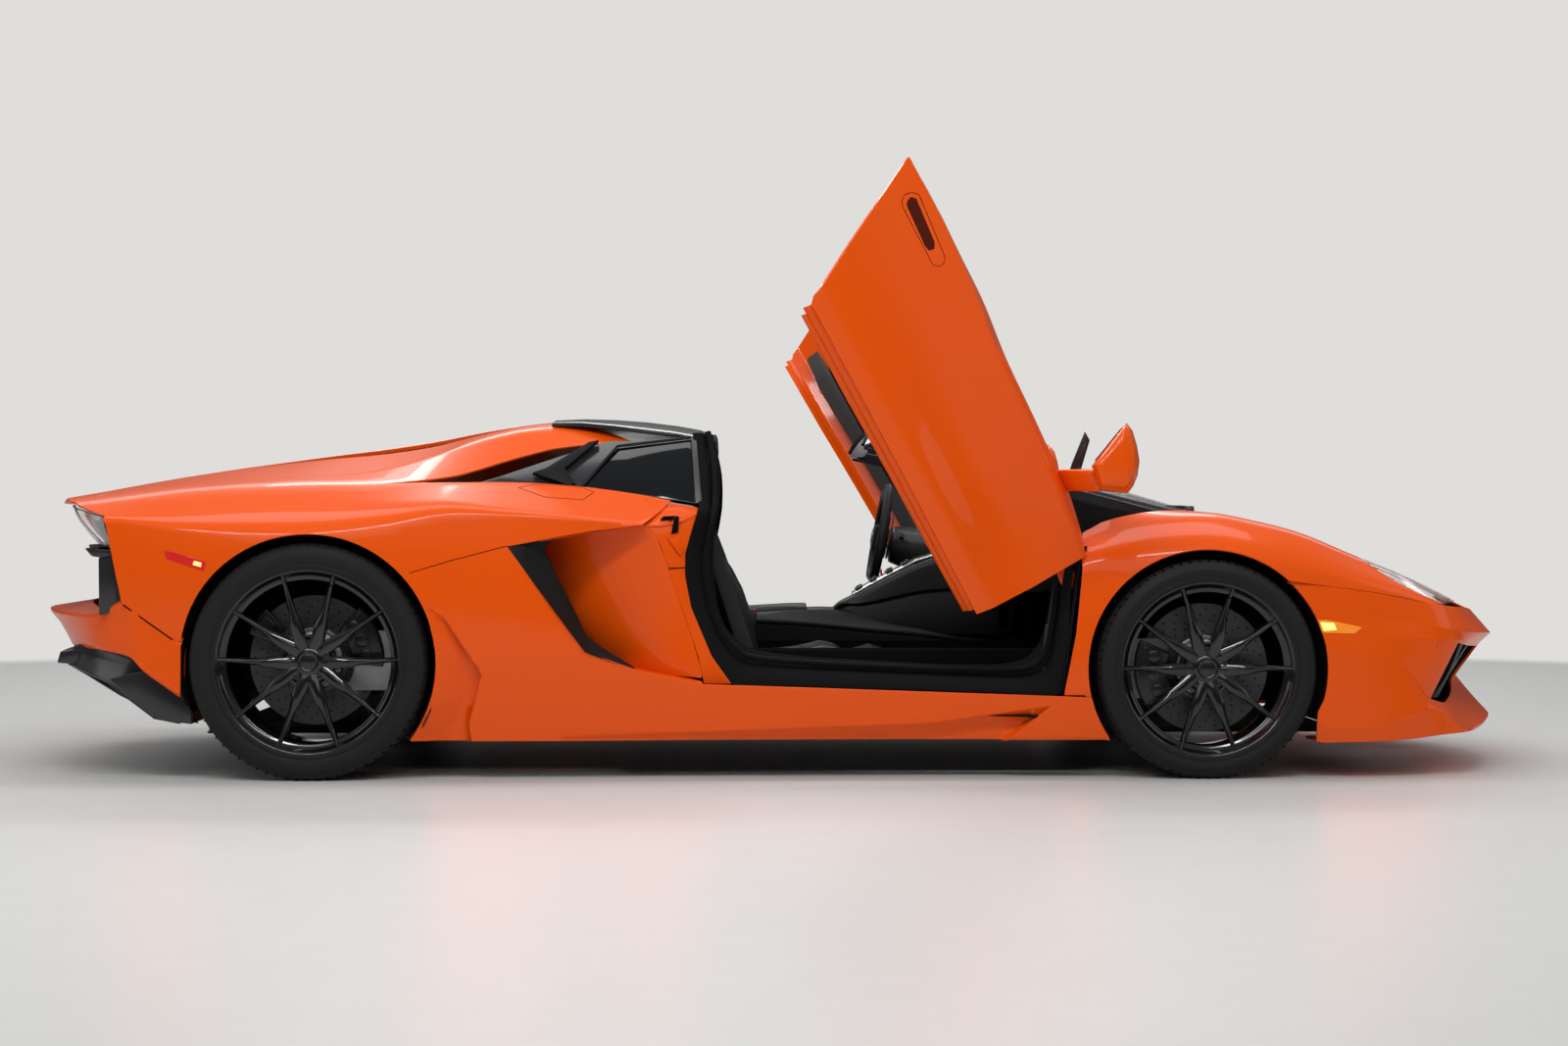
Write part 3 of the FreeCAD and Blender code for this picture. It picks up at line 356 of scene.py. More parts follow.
class Line:
    """A feature line of the bodywork: stations of (u, x, out, height, softness)."""

    def __init__(self, rows: list[tuple[float, ...]]) -> None:
        """Takes rows of five numbers, or of four when u is x itself.

        Args:
            rows: the stations, in rising u.
        """
        full = [row if len(row) == 5 else (row[0], *row) for row in rows]
        table = np.array(full, float)
        self.u, self.values = table[:, 0], table[:, 1:]
        self.slopes = track_slopes(self.u, self.values)

    def at(self, u: np.ndarray) -> np.ndarray:
        """Position and softness at each u.

        Args:
            u: places along the line.

        Returns:
            Rows of x, out, height, softness.
        """
        inside = np.clip(u, self.u[0], self.u[-1])
        i = np.clip(np.searchsorted(self.u, inside) - 1, 0, len(self.u) - 2)
        gap = self.u[i + 1] - self.u[i]
        t = ((inside - self.u[i]) / gap)[:, None]
        gap = gap[:, None]
        a, b = self.values[i], self.values[i + 1]
        m, n = self.slopes[i] * gap, self.slopes[i + 1] * gap
        found = (a * (2 * t**3 - 3 * t**2 + 1) + m * (t**3 - 2 * t**2 + t)
                 + b * (3 * t**2 - 2 * t**3) + n * (t**3 - t**2))
        return found + (u - inside)[:, None] * self.slopes[i]


@dataclass
class Dent:
    """A hollow pressed into the bodywork, seen from the side.

    Attributes:
        outline: corners as (x, height).
        ramps: width of the slope in from each edge, edge by edge.
        depth: how deep its floor is.
    """

    outline: list[Point2]
    ramps: list[float]
    depth: float

    def guides(self, skin: "Skin", low: float, high: float) -> list[list[Point2]]:
        """Lines to mesh along, as (u, k), so that the edges of the hollow stay crisp.

        Args:
            skin: the surface it is pressed into.
            low: first k looked at.
            high: last k looked at.

        Returns:
            The rim and the floor line, as closed (u, k) lines.
        """
        middle = np.array(self.outline).mean(axis=0)
        lines = []
        for share in (0.0, 1.0):
            loop = []
            for i, corner in enumerate(self.outline):
                ramp = max(r if r < .03 else 0 for r in (self.ramps[i], self.ramps[i - 1])) * share
                way = middle - corner
                loop.append(tuple(np.array(corner) + way / max(np.linalg.norm(way), 1e-9) * ramp * 1.3))
            lines.append(skin.on_side(thicken_line(loop, .012), low, high))
        return lines

    def at(self, x: np.ndarray, z: np.ndarray) -> np.ndarray:
        """Depth of the hollow at each point.

        Args:
            x: x of the points.
            z: their heights.

        Returns:
            The depths, 0 outside the outline.
        """
        corners = np.array(self.outline)
        inside = in_polygon(x, z, corners)
        share = np.full(len(x), 1.0)
        for i, ramp in enumerate(self.ramps):
            a, b = corners[i], corners[(i + 1) % len(corners)]
            share = np.minimum(share, distance_to_segment(x, z, a, b) / ramp)
        share = np.where(inside, np.clip(share, 0, 1), 0)
        return self.depth * share


def in_polygon(x: np.ndarray, y: np.ndarray, corners: np.ndarray) -> np.ndarray:
    """Tells which points lie inside a polygon.

    Args:
        x: first coordinates of the points.
        y: their second coordinates.
        corners: corners of the polygon.

    Returns:
        True for each point inside.
    """
    inside = np.zeros(len(x), bool)
    for a, b in zip(corners, np.roll(corners, -1, axis=0)):
        crosses = (a[1] > y) != (b[1] > y)
        rise = b[1] - a[1] if b[1] != a[1] else 1e-12
        inside ^= crosses & (x < (b[0] - a[0]) * (y - a[1]) / rise + a[0])
    return inside


def distance_to_segment(x: np.ndarray, y: np.ndarray, a: np.ndarray, b: np.ndarray) -> np.ndarray:
    """Distance of points from a segment in a plane.

    Args:
        x: first coordinates of the points.
        y: their second coordinates.
        a: one end of the segment.
        b: its other end.

    Returns:
        The distances.
    """
    run = b - a
    t = np.clip(((x - a[0]) * run[0] + (y - a[1]) * run[1]) / max(run @ run, 1e-12), 0, 1)
    return np.hypot(x - a[0] - t * run[0], y - a[1] - t * run[1])


class Skin:
    """A smooth surface stretched over feature lines.

    k counts the lines; between two whole numbers the surface runs straight from
    one line to the next, and each line is rounded over its softness.
    """

    ROW = 0.18      # metres that one line gap stands for when the surface is meshed

    def __init__(self, lines: list[Line], dents: tuple[Dent, ...] = ()) -> None:
        """Takes the lines from the centreline outwards and down.

        Args:
            lines: its feature lines.
            dents: hollows pressed into its side.
        """
        self.lines = lines
        self.dents = dents

    def at(self, u: np.ndarray, k: np.ndarray) -> np.ndarray:
        """Points of the surface as (x, out, height) rows.

        Args:
            u: places along the lines.
            k: places across the lines.

        Returns:
            One row for each point.
        """
        u, k = np.broadcast_arrays(np.asarray(u, float), np.asarray(k, float))
        rows = np.stack([line.at(u) for line in self.lines], axis=1)
        last = len(self.lines) - 1
        j = np.clip(np.rint(k).astype(int), 0, last)
        pick = np.arange(len(u))
        here = rows[pick, j, :3]
        soft = np.clip(rows[pick, j, 3], 1e-4, 0.5)
        before = rows[pick, np.maximum(j - 1, 0), :3]
        mirrored = rows[pick, 1, :3] * np.array([1, -1, 1])
        before = np.where((j == 0)[:, None], mirrored, before)
        after = rows[pick, np.minimum(j + 1, last), :3]
        after = np.where((j == last)[:, None], 2 * here - before, after)
        f = k - j
        straight = here + np.where((f < 0)[:, None], (before - here) * -f[:, None],
                                   (after - here) * f[:, None])
        t = np.clip((f + soft) / (2 * soft), 0, 1)[:, None]
        start, stop = here + (before - here) * soft[:, None], here + (after - here) * soft[:, None]
        curve = (1 - t)**2 * start + 2 * t * (1 - t) * here + t**2 * stop
        point = np.where((np.abs(f) < soft)[:, None], curve, straight)
        for dent in self.dents:
            depth = dent.at(point[:, 0], point[:, 2])
            point[:, 1] -= np.where(k > 2.5, depth, 0)
        return point

    def normal(self, u: np.ndarray, k: np.ndarray, step: float = 2e-4) -> np.ndarray:
        """Unit normals, pointing out of the car.

        Args:
            u: places along the lines.
            k: places across the lines.
            step: how far apart the slopes are taken.

        Returns:
            One row for each point.
        """
        along = self.at(u + step, k) - self.at(u - step, k)
        down = self.at(u, k + step * 5) - self.at(u, k - step * 5)
        found = np.cross(along, down)
        size = np.linalg.norm(found, axis=1)
        found /= np.maximum(size, 1e-12)[:, None]
        return found

    def find(self, u: float, value: float, axis: int, low: float, high: float) -> float:
        """k at which the surface reaches a value of one coordinate at a station.

        Args:
            u: the station.
            value: the value looked for.
            axis: 1 for the distance out, 2 for the height.
            low: first k looked at.
            high: last k looked at.

        Returns:
            The first such k, or the nearest one.
        """
        for _round in range(2):
            k = np.linspace(low, high, 161)
            gap = self.at(np.full(161, u), k)[:, axis] - value
            flips = np.nonzero(gap[:-1] * gap[1:] <= 0)[0]
            i = int(flips[0]) if len(flips) else int(np.abs(gap).argmin())
            low, high = k[max(i - 1, 0)], k[min(i + 2, 160)]
        return float(k[i] + (k[1] - k[0]) * (gap[i] / (gap[i] - gap[min(i + 1, 160)] + 1e-15)
                                             if len(flips) else 0))

    def locate(self, points: list[Point2], low: float = 0.0, high: float = 6.0,
               out: bool = False) -> list[Point2]:
        """Turns (x, height) or (x, out) points into (u, k) ones when u is not x.

        Args:
            points: the points.
            low: first k looked at.
            high: last k looked at.
            out: whether the second number is the distance out.

        Returns:
            The (u, k) points.
        """
        first, last = self.lines[0].u[0], self.lines[0].u[-1]
        us, ks = np.linspace(first, last, 101), np.linspace(low, high, 121)
        grid_u, grid_k = (g.ravel() for g in np.meshgrid(us, ks))
        shown = self.at(grid_u, grid_k)[:, [0, 1 if out else 2]]
        made = []
        for point in points:
            best = int(((shown - point)**2).sum(axis=1).argmin())
            u, k = grid_u[best], grid_k[best]
            span_u, span_k = us[1] - us[0], ks[1] - ks[0]
            for _round in range(5):
                du, dk = (g.ravel() for g in np.meshgrid(np.linspace(-1, 1, 9), np.linspace(-1, 1, 9)))
                near = self.at(u + du * span_u, k + dk * span_k)[:, [0, 1 if out else 2]]
                best = int(((near - point)**2).sum(axis=1).argmin())
                u, k = u + du[best] * span_u, k + dk[best] * span_k
                span_u, span_k = span_u * 0.3, span_k * 0.3
            made.append((float(u), float(k)))
        return made

    def on_side(self, points: list[Point2], low: float = 2.0, high: float = 6.0) -> list[Point2]:
        """Turns (x, height) points into (u, k) ones.

        Args:
            points: the points.
            low: first k looked at.
            high: last k looked at.

        Returns:
            The (u, k) points.
        """
        return [(x, self.find(x, z, 2, low, high)) for x, z in points]

    def on_top(self, points: list[Point2], low: float = 0.0, high: float = 4.0) -> list[Point2]:
        """Turns (x, out) points into (u, k) ones.

        Args:
            points: the points.
            low: first k looked at.
            high: last k looked at.

        Returns:
            The (u, k) points.
        """
        return [(x, self.find(x, y, 1, low, high)) for x, y in points]


def thicken_line(points: list[Point2], step: float, closed: bool = True) -> list[Point2]:
    """Divides the edges of an outline so that none is longer than a step.

    Args:
        points: the outline.
        step: the longest edge left.
        closed: whether it closes.

    Returns:
        The outline with points added.
    """
    made: list[Point2] = []
    pairs = list(zip(points, points[1:] + points[:1])) if closed else list(zip(points, points[1:]))
    for a, b in pairs:
        count = max(1, math.ceil(math.hypot(b[0] - a[0], b[1] - a[1]) / step))
        made += [(a[0] + (b[0] - a[0]) * i / count, a[1] + (b[1] - a[1]) * i / count)
                 for i in range(count)]
    return made if closed else made + [points[-1]]


def rounded(points: list[Point2], radius: float | list[float], steps: int = 5) -> list[Point2]:
    """Rounds the corners of a closed outline.

    Args:
        points: the corners.
        radius: one radius, or one for each corner.
        steps: points put on each corner.

    Returns:
        The rounded outline.
    """
    radii = [radius] * len(points) if isinstance(radius, (int, float)) else radius
    made: list[Point2] = []
    for i, here in enumerate(points):
        p = Vector(here)
        a, b = Vector(points[i - 1]) - p, Vector(points[(i + 1) % len(points)]) - p
        reach = min(radii[i], a.length * 0.45, b.length * 0.45)
        if reach < 1e-5:
            made.append(here)
            continue
        first, last = p + a.normalized() * reach, p + b.normalized() * reach
        for n in range(steps + 1):
            t = n / steps
            q = first * (1 - t)**2 + p * 2 * t * (1 - t) + last * t**2
            made.append((q.x, q.y))
    return made


def arc(centre: Point2, radius: float, start: float, stop: float, count: int = 24) -> list[Point2]:
    """Points on a circle between two angles in degrees.

    Args:
        centre: centre of the circle.
        radius: its radius.
        start: first angle.
        stop: last angle.
        count: number of steps.

    Returns:
        The points, both ends with them.
    """
    return [(centre[0] + radius * math.cos(math.radians(start + (stop - start) * i / count)),
             centre[1] + radius * math.sin(math.radians(start + (stop - start) * i / count)))
            for i in range(count + 1)]


@dataclass
class Sheet:
    """A triangulated patch of a skin, ready to be given a thickness.

    Attributes:
        skin: the surface it lies on.
        outline: its edge as (u, k).
        holes: openings in it as (u, k).
        lines: extra lines to mesh along, as (u, k).
        step: mesh size along u, in metres.
        levels: places across each line gap where it gets points.
        scale_u: metres that one unit of u stands for.
    """

    skin: Skin
    outline: list[Point2]
    holes: list[list[Point2]] = field(default_factory=list)
    lines: list[list[Point2]] = field(default_factory=list)
    step: float = 0.028
    levels: tuple[float, ...] = (0.0, 0.045, 0.1, 0.16, 0.25, 0.36, 0.5, 0.64, 0.75, 0.84, 0.9, 0.955)
    scale_u: float = 1.0

    def mesh(self) -> tuple[np.ndarray, np.ndarray]:
        """Returns (u, k) vertices and triangles."""
        row = self.skin.ROW
        scale = np.array([self.scale_u, row])
        loops = [np.array(loop) * scale for loop in [self.outline, *self.holes]]
        points, edges = [], []
        for loop in loops:
            start = len(points)
            points += [tuple(p) for p in loop]
            edges += [(start + i, start + (i + 1) % len(loop)) for i in range(len(loop))]
        for line in self.lines:
            start = len(points)
            points += [tuple(p) for p in np.array(line) * scale]
            edges += [(start + i, start + i + 1) for i in range(len(line) - 1)]
        low, high = loops[0].min(0), loops[0].max(0)
        us = np.arange(math.ceil(low[0] / self.step), math.floor(high[0] / self.step) + 1) * self.step
        ks = np.array([n + level for n in range(0, len(self.skin.lines)) for level in self.levels])
        ks = ks[(ks > low[1] / row) & (ks < high[1] / row)] * row
        grid_u, grid_k = (g.ravel() for g in np.meshgrid(us, ks))
        keep = in_polygon(grid_u, grid_k, loops[0])
        for loop in loops[1:]:
            keep &= ~in_polygon(grid_u, grid_k, loop)
        grid_u, grid_k = grid_u[keep], grid_k[keep]
        clear = np.full(len(grid_u), True)
        fixed = np.array(points)
        for a, b in edges:
            clear &= distance_to_segment(grid_u, grid_k, fixed[a], fixed[b]) > self.step * 0.22
        points += list(zip(grid_u[clear], grid_k[clear]))
        verts, _edges, faces, *_rest = delaunay_2d_cdt([Vector(p) for p in points], edges, [], 0, 1e-7)
        flat = np.array([tuple(v) for v in verts])
        tris = np.array([f for f in faces if len(f) == 3], int)
        middle = flat[tris].mean(axis=1)
        keep = in_polygon(middle[:, 0], middle[:, 1], loops[0])
        for loop in loops[1:]:
            keep &= ~in_polygon(middle[:, 0], middle[:, 1], loop)
        tris = self._largest(tris[keep])
        used = np.unique(tris)
        renumber = np.full(len(flat), -1)
        renumber[used] = np.arange(len(used))
        return flat[used] / scale, renumber[tris]

    @staticmethod
    def _largest(tris: np.ndarray) -> np.ndarray:
        """Keeps the largest set of triangles joined along edges.

        Args:
            tris: the triangles.

        Returns:
            Those of the largest set.
        """
        owner: dict[tuple[int, int], int] = {}
        parent = list(range(len(tris)))

        def root(i: int) -> int:
            """First triangle of the set that a triangle is in.

            Args:
                i: number of the triangle.

            Returns:
                The first one's number.
            """
            while parent[i] != i:
                parent[i] = parent[parent[i]]
                i = parent[i]
            return i

        for n, tri in enumerate(tris):
            for i in range(3):
                edge = tuple(sorted((int(tri[i]), int(tri[(i + 1) % 3]))))
                if edge in owner:
                    parent[root(n)] = root(owner[edge])
                owner[edge] = n
        roots = np.array([root(i) for i in range(len(tris))])
        names, counts = np.unique(roots, return_counts=True)
        return tris[roots == names[counts.argmax()]]


def edge_loops(tris: np.ndarray) -> list[list[int]]:
    """Chains the open edges of triangles into loops that keep their direction.

    Args:
        tris: the triangles.

    Returns:
        The loops, as vertex numbers.
    """
    seen = {(int(t[i]), int(t[(i + 1) % 3])) for t in tris for i in range(3)}
    nexts: dict[int, list[int]] = {}
    for a, b in sorted(seen):
        if (b, a) not in seen:
            nexts.setdefault(a, []).append(b)
    loops = []
    while nexts:
        start = next(iter(nexts))
        loop, here = [], start
        while here in nexts:
            loop.append(here)
            follow = nexts[here].pop()
            if not nexts[here]:
                del nexts[here]
            here = follow
            if here == start:
                break
        if here == start and len(loop) > 2:
            loops.append(loop)
    return loops


def new_object(name: str, verts: np.ndarray, faces: list,
               normals: np.ndarray | None = None) -> bpy.types.Object:
    """Makes a mesh object in car coordinates.

    Args:
        name: its name.
        verts: vertices.
        faces: faces as vertex numbers.
        normals: a normal for each face corner, if they are set by hand.

    Returns:
        The object, linked to the scene.
    """
    data = bpy.data.meshes.new(name)
    data.from_pydata([tuple(map(float, v)) for v in verts], [], [tuple(map(int, f)) for f in faces])
    data.polygons.foreach_set("use_smooth", [True] * len(data.polygons))
    if data.validate(verbose=False):
        log.warning("%s had broken faces", name)
    elif normals is not None:
        data.normals_split_custom_set([tuple(map(float, n)) for n in normals])
    data.update()
    made = bpy.data.objects.new(name, data)
    bpy.context.scene.collection.objects.link(made)
    return made


def settle(piece: bpy.types.Object, finish: Finish, body: str = "chassis", slot: str | None = None,
           nodes: tuple[str, ...] = (), turn: Matrix | None = None) -> bpy.types.Object:
    """Moves a piece into the frame, dresses it and lets it ride on its body.

    Args:
        piece: object built in car coordinates, at the origin.
        finish: its surface finish.
        body: CAD body it rides on.
        slot: the record's material slot; not used.
        nodes: CAD nodes it stands for.
        turn: an extra turn in the frame, such as a door's.

    Returns:
        The same object.
    """
    place = Matrix.Translation((MID, 0, 0))
    piece.data.transform(turn @ place if turn is not None else place)
    if not piece.data.materials:
        piece.data.materials.append(finish.material())
    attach(piece, body)
    if nodes:
        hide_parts(*nodes)
    log.info("%s: %d faces on %s", piece.name, len(piece.data.polygons), body)
    return piece


def panel(name: str, sheet: Sheet, sign: int, thickness: float = 0.006, edge: float = 0.0016,
          lift: float = 0.0, whole: bool = False) -> bpy.types.Object:
    """Makes a closed panel with softly rolled edges from a sheet.

    Args:
        name: object name.
        sheet: the patch.
        sign: -1 for the right of the car, 1 for the left.
        thickness: depth of its rim and wall.
        edge: radius of the rolled edge.
        lift: how far it stands off the skin.
        whole: joins it to its mirror image across the centreline.

    Returns:
        The object, in car coordinates, with exact normals on its outer face.
    """
    flat, tris = sheet.mesh()
    skin = sheet.skin
    point = skin.at(flat[:, 0], flat[:, 1])
    normal = skin.normal(flat[:, 0], flat[:, 1])
    corners = flat[tris]
    centre = corners.mean(axis=1, keepdims=True)
    nudged = (corners + (centre - corners) * 0.03).reshape(-1, 2)
    corner_normal = skin.normal(nudged[:, 0], nudged[:, 1]).reshape(-1, 3, 3)
    flipped = np.cross(point[tris[:, 1]] - point[tris[:, 0]], point[tris[:, 2]] - point[tris[:, 0]])
    wrong = np.einsum("ij,ij->i", flipped, corner_normal.mean(axis=1)) < 0
    tris[wrong] = tris[wrong][:, ::-1]
    corner_normal[wrong] = corner_normal[wrong][:, ::-1]
    count = len(point)
    point = point + normal * lift
    inner = point - normal * thickness
    verts = [point, inner]
    faces: list[tuple[int, ...]] = [tuple(t) for t in tris]
    normals = [corner_normal.reshape(-1, 3)]
    faces += [tuple(t[::-1] + count) for t in tris]
    normals.append(-corner_normal[:, ::-1].reshape(-1, 3))
    total = 2 * count
    for loop in edge_loops(tris):
        ring = point[loop]
        along = np.roll(ring, -1, axis=0) - ring
        along /= np.maximum(np.linalg.norm(along, axis=1), 1e-9)[:, None]
        out = np.cross(along, normal[loop])
        both = out + np.roll(out, 1, axis=0)
        both /= np.maximum(np.linalg.norm(both, axis=1), 0.3)[:, None]
        middle = whole * (np.abs(ring[:, 1]) < 2e-3)
        both[middle > 0, 1] = 0
        outer = ring + both * edge - normal[loop] * edge
        deep = ring + both * edge - normal[loop] * thickness
        verts += [outer, deep]
        size = len(loop)
        top, low = total, total + size
        total += 2 * size
        for i in range(size):
            j = (i + 1) % size
            if middle[i] and middle[j]:
                continue
            bands = (
                ((loop[j], loop[i], top + i, top + j), (normal[loop[j]], normal[loop[i]], both[i], both[j])),
                ((top + j, top + i, low + i, low + j), (both[j], both[i], both[i], both[j])),
                ((low + j, low + i, loop[i] + count, loop[j] + count), (-normal[loop[j]],) * 4),
            )
            for face, shade in bands:
                faces.append(face)
                normals.append(np.array(shade))
    verts = np.concatenate(verts)
    normals = np.concatenate(normals)
    if whole:
        return new_object(name, *mirrored(verts, faces, normals))
    side = np.array([1, sign, 1])
    verts, normals = verts * side, normals * side
    if sign < 0:
        made, place = [], 0
        for face in faces:
            size = len(face)
            made.append(normals[place:place + size][::-1])
            place += size
        faces = [face[::-1] for face in faces]
        normals = np.concatenate(made)
    return new_object(name, verts, faces, normals)


def mirrored(verts: np.ndarray, faces: list, normals: np.ndarray) -> tuple[np.ndarray, list, np.ndarray]:
    """Joins half a panel to its mirror image, sharing the points on the centreline.

    Args:
        verts: vertices of the half.
        faces: its faces.
        normals: a normal for each face corner.

    Returns:
        Vertices, faces and normals of the whole.
    """
    shared = np.abs(verts[:, 1]) < 2e-3
    verts = np.where(shared[:, None], verts * (1, 0, 1), verts)
    count = len(verts)
    partner = np.where(shared, np.arange(count), count - 1 + np.cumsum(~shared))
    both = np.concatenate([verts, verts[~shared] * (1, -1, 1)])
    more, turned, start = [], [], 0
    for face in faces:
        more.append(tuple(int(partner[v]) for v in face[::-1]))
        turned.append(normals[start:start + len(face)][::-1] * (1, -1, 1))
        start += len(face)
    return both, faces + more, np.concatenate([normals, *turned])


# ------------------------------------------------------------------ solids
def tidy_mesh(piece: bpy.types.Object, bevel: float = 0.0, segments: int = 2, smooth: int = 0,
              angle: float = 28.0) -> bpy.types.Object:
    """Turns faces outward, then rounds the edges and smooths the piece.

    Args:
        piece: the object.
        bevel: edge radius, none if 0.
        segments: bevel steps.
        smooth: subdivision levels.
        angle: edges sharper than this are rounded.

    Returns:
        The same object, with its modifiers applied.
    """
    work = bmesh.new()
    work.from_mesh(piece.data)
    bmesh.ops.remove_doubles(work, verts=work.verts, dist=1e-6)
    bmesh.ops.recalc_face_normals(work, faces=work.faces)
    work.to_mesh(piece.data)
    work.free()
    if bevel:
        edge = piece.modifiers.new("edge", "BEVEL")
        edge.width, edge.segments, edge.limit_method = bevel, segments, "ANGLE"
        edge.angle_limit, edge.harden_normals, edge.use_clamp_overlap = math.radians(angle), False, True
    if smooth:
        rounder = piece.modifiers.new("smooth", "SUBSURF")
        rounder.levels = rounder.render_levels = smooth
    return bake(piece, angle)


def bake(piece: bpy.types.Object, angle: float = 28.0) -> bpy.types.Object:
    """Applies the modifiers of a piece and shades it smooth between sharp edges.

    Args:
        piece: the object.
        angle: edges 12 degrees sharper than this stay sharp.

    Returns:
        The same object.
    """
    if piece.modifiers:
        graph = bpy.context.evaluated_depsgraph_get()
        made = bpy.data.meshes.new_from_object(piece.evaluated_get(graph))
        piece.modifiers.clear()
        old, piece.data = piece.data, made
        bpy.data.meshes.remove(old)
    piece.data.polygons.foreach_set("use_smooth", [True] * len(piece.data.polygons))
    piece.data.set_sharp_from_angle(angle=math.radians(angle + 12))
    return piece


def loft(name: str, rings: list, ends: bool = True, closed: bool = False, bevel: float = 0.0,
         smooth: int = 0, angle: float = 28.0, segments: int = 2) -> bpy.types.Object:
    """Joins rings of points into a solid.

    Args:
        name: object name.
        rings: rings of 3-D points, all with the same count.
        ends: whether the first and last rings are filled.
        closed: whether the last ring joins the first.
        bevel: edge radius.
        smooth: subdivision levels.
        angle: edges sharper than this are rounded.
        segments: bevel steps.

    Returns:
        The object.
    """
    rings = np.array(rings, float)
    count, size = rings.shape[:2]
    faces: list[tuple[int, ...]] = []
    for a in range(count if closed else count - 1):
        b = (a + 1) % count
        faces += [(a * size + i, a * size + (i + 1) % size, b * size + (i + 1) % size, b * size + i)
                  for i in range(size)]
    if ends and not closed:
        faces += [tuple(range(size)), tuple((count - 1) * size + i for i in range(size))[::-1]]
    piece = new_object(name, rings.reshape(-1, 3), faces)
    return tidy_mesh(piece, bevel=bevel, segments=segments, smooth=smooth, angle=angle)


def prism(name: str, outline: list[Point2], low: float, high: float, axis: str = "y",
          bevel: float = 0.0015, smooth: int = 0, segments: int = 2) -> bpy.types.Object:
    """Makes a plate of a flat outline.

    Args:
        name: object name.
        outline: corners in the plane square to the axis, in alphabetical order.
        low: one end along the axis.
        high: the other end.
        axis: x, y or z.
        bevel: edge radius.
        smooth: subdivision levels.
        segments: bevel steps.

    Returns:
        The object.
    """
    place = {"x": lambda p, t: (t, p[0], p[1]), "y": lambda p, t: (p[0], t, p[1]),
             "z": lambda p, t: (p[0], p[1], t)}[axis]
    return loft(name, [[place(p, t) for p in outline] for t in (low, high)], bevel=bevel, smooth=smooth,
                segments=segments)


def sweep(name: str, path: list[Point3], profile: list[Point2], closed: bool = False,
          up: Point3 = (0, 0, 1), taper: list[float] | None = None, bevel: float = 0.0,
          smooth: int = 0) -> bpy.types.Object:
    """Draws a profile along a path.

    Args:
        name: object name.
        path: points of the path.
        profile: (sideways, up) points of the section.
        closed: whether the path closes.
        up: direction the section's second axis keeps to.
        taper: scale of the section at each point.
        bevel: edge radius.
        smooth: subdivision levels.

    Returns:
        The object.
    """
    points = [Vector(p) for p in path]
    count = len(points)
    rings = []
    for i, here in enumerate(points):
        before = points[i - 1] if closed or i else here
        after = points[(i + 1) % count] if closed or i < count - 1 else here
        along = (after - before).normalized()
        side = along.cross(Vector(up)).normalized()
        top = side.cross(along)
        scale = taper[i] if taper else 1.0
        rings.append([here + side * a * scale + top * b * scale for a, b in profile])
    return loft(name, rings, closed=closed, bevel=bevel, smooth=smooth)


def circle(radius: float, count: int = 10, flat: float = 1.0) -> list[Point2]:
    """Points of a round or oval section.

    Args:
        radius: half its width.
        count: number of points.
        flat: its height as a share of its width.

    Returns:
        The points.
    """
    return [(radius * math.cos(2 * math.pi * i / count), radius * flat * math.sin(2 * math.pi * i / count))
            for i in range(count)]


def curve_through(points: list[Point3], steps: int = 6, closed: bool = False) -> list[Point3]:
    """Runs a smooth curve through points.

    Args:
        points: points the curve runs through.
        steps: steps from one to the next.
        closed: whether it closes.

    Returns:
        Points of the curve.
    """
    known = [Vector(p) for p in points]
    count = len(known)
    made = []
    for i in range(count if closed else count - 1):
        p0 = known[i - 1] if closed or i else known[0]
        p1, p2 = known[i], known[(i + 1) % count]
        p3 = known[(i + 2) % count] if closed or i + 2 < count else p2
        for n in range(steps):
            t = n / steps
            made.append(0.5 * (2 * p1 + (p2 - p0) * t + (2 * p0 - 5 * p1 + 4 * p2 - p3) * t * t
                               + (3 * p1 - p0 - 3 * p2 + p3) * t**3))
    return [tuple(p) for p in (made if closed else made + [known[-1]])]


def lathe(name: str, profile: list[Point2], count: int = 96, bevel: float = 0.0) -> bpy.types.Object:
    """Turns a closed profile of (radius, y) points about the Y axis.

    Args:
        name: object name.
        profile: the section.
        count: steps round the axis.
        bevel: edge radius.

    Returns:
        The object.
    """
    rings = [[(r * math.cos(a), y, r * math.sin(a)) for r, y in profile]
             for a in np.linspace(0, 2 * math.pi, count, endpoint=False)]
    return loft(name, rings, closed=True, bevel=bevel, angle=30)


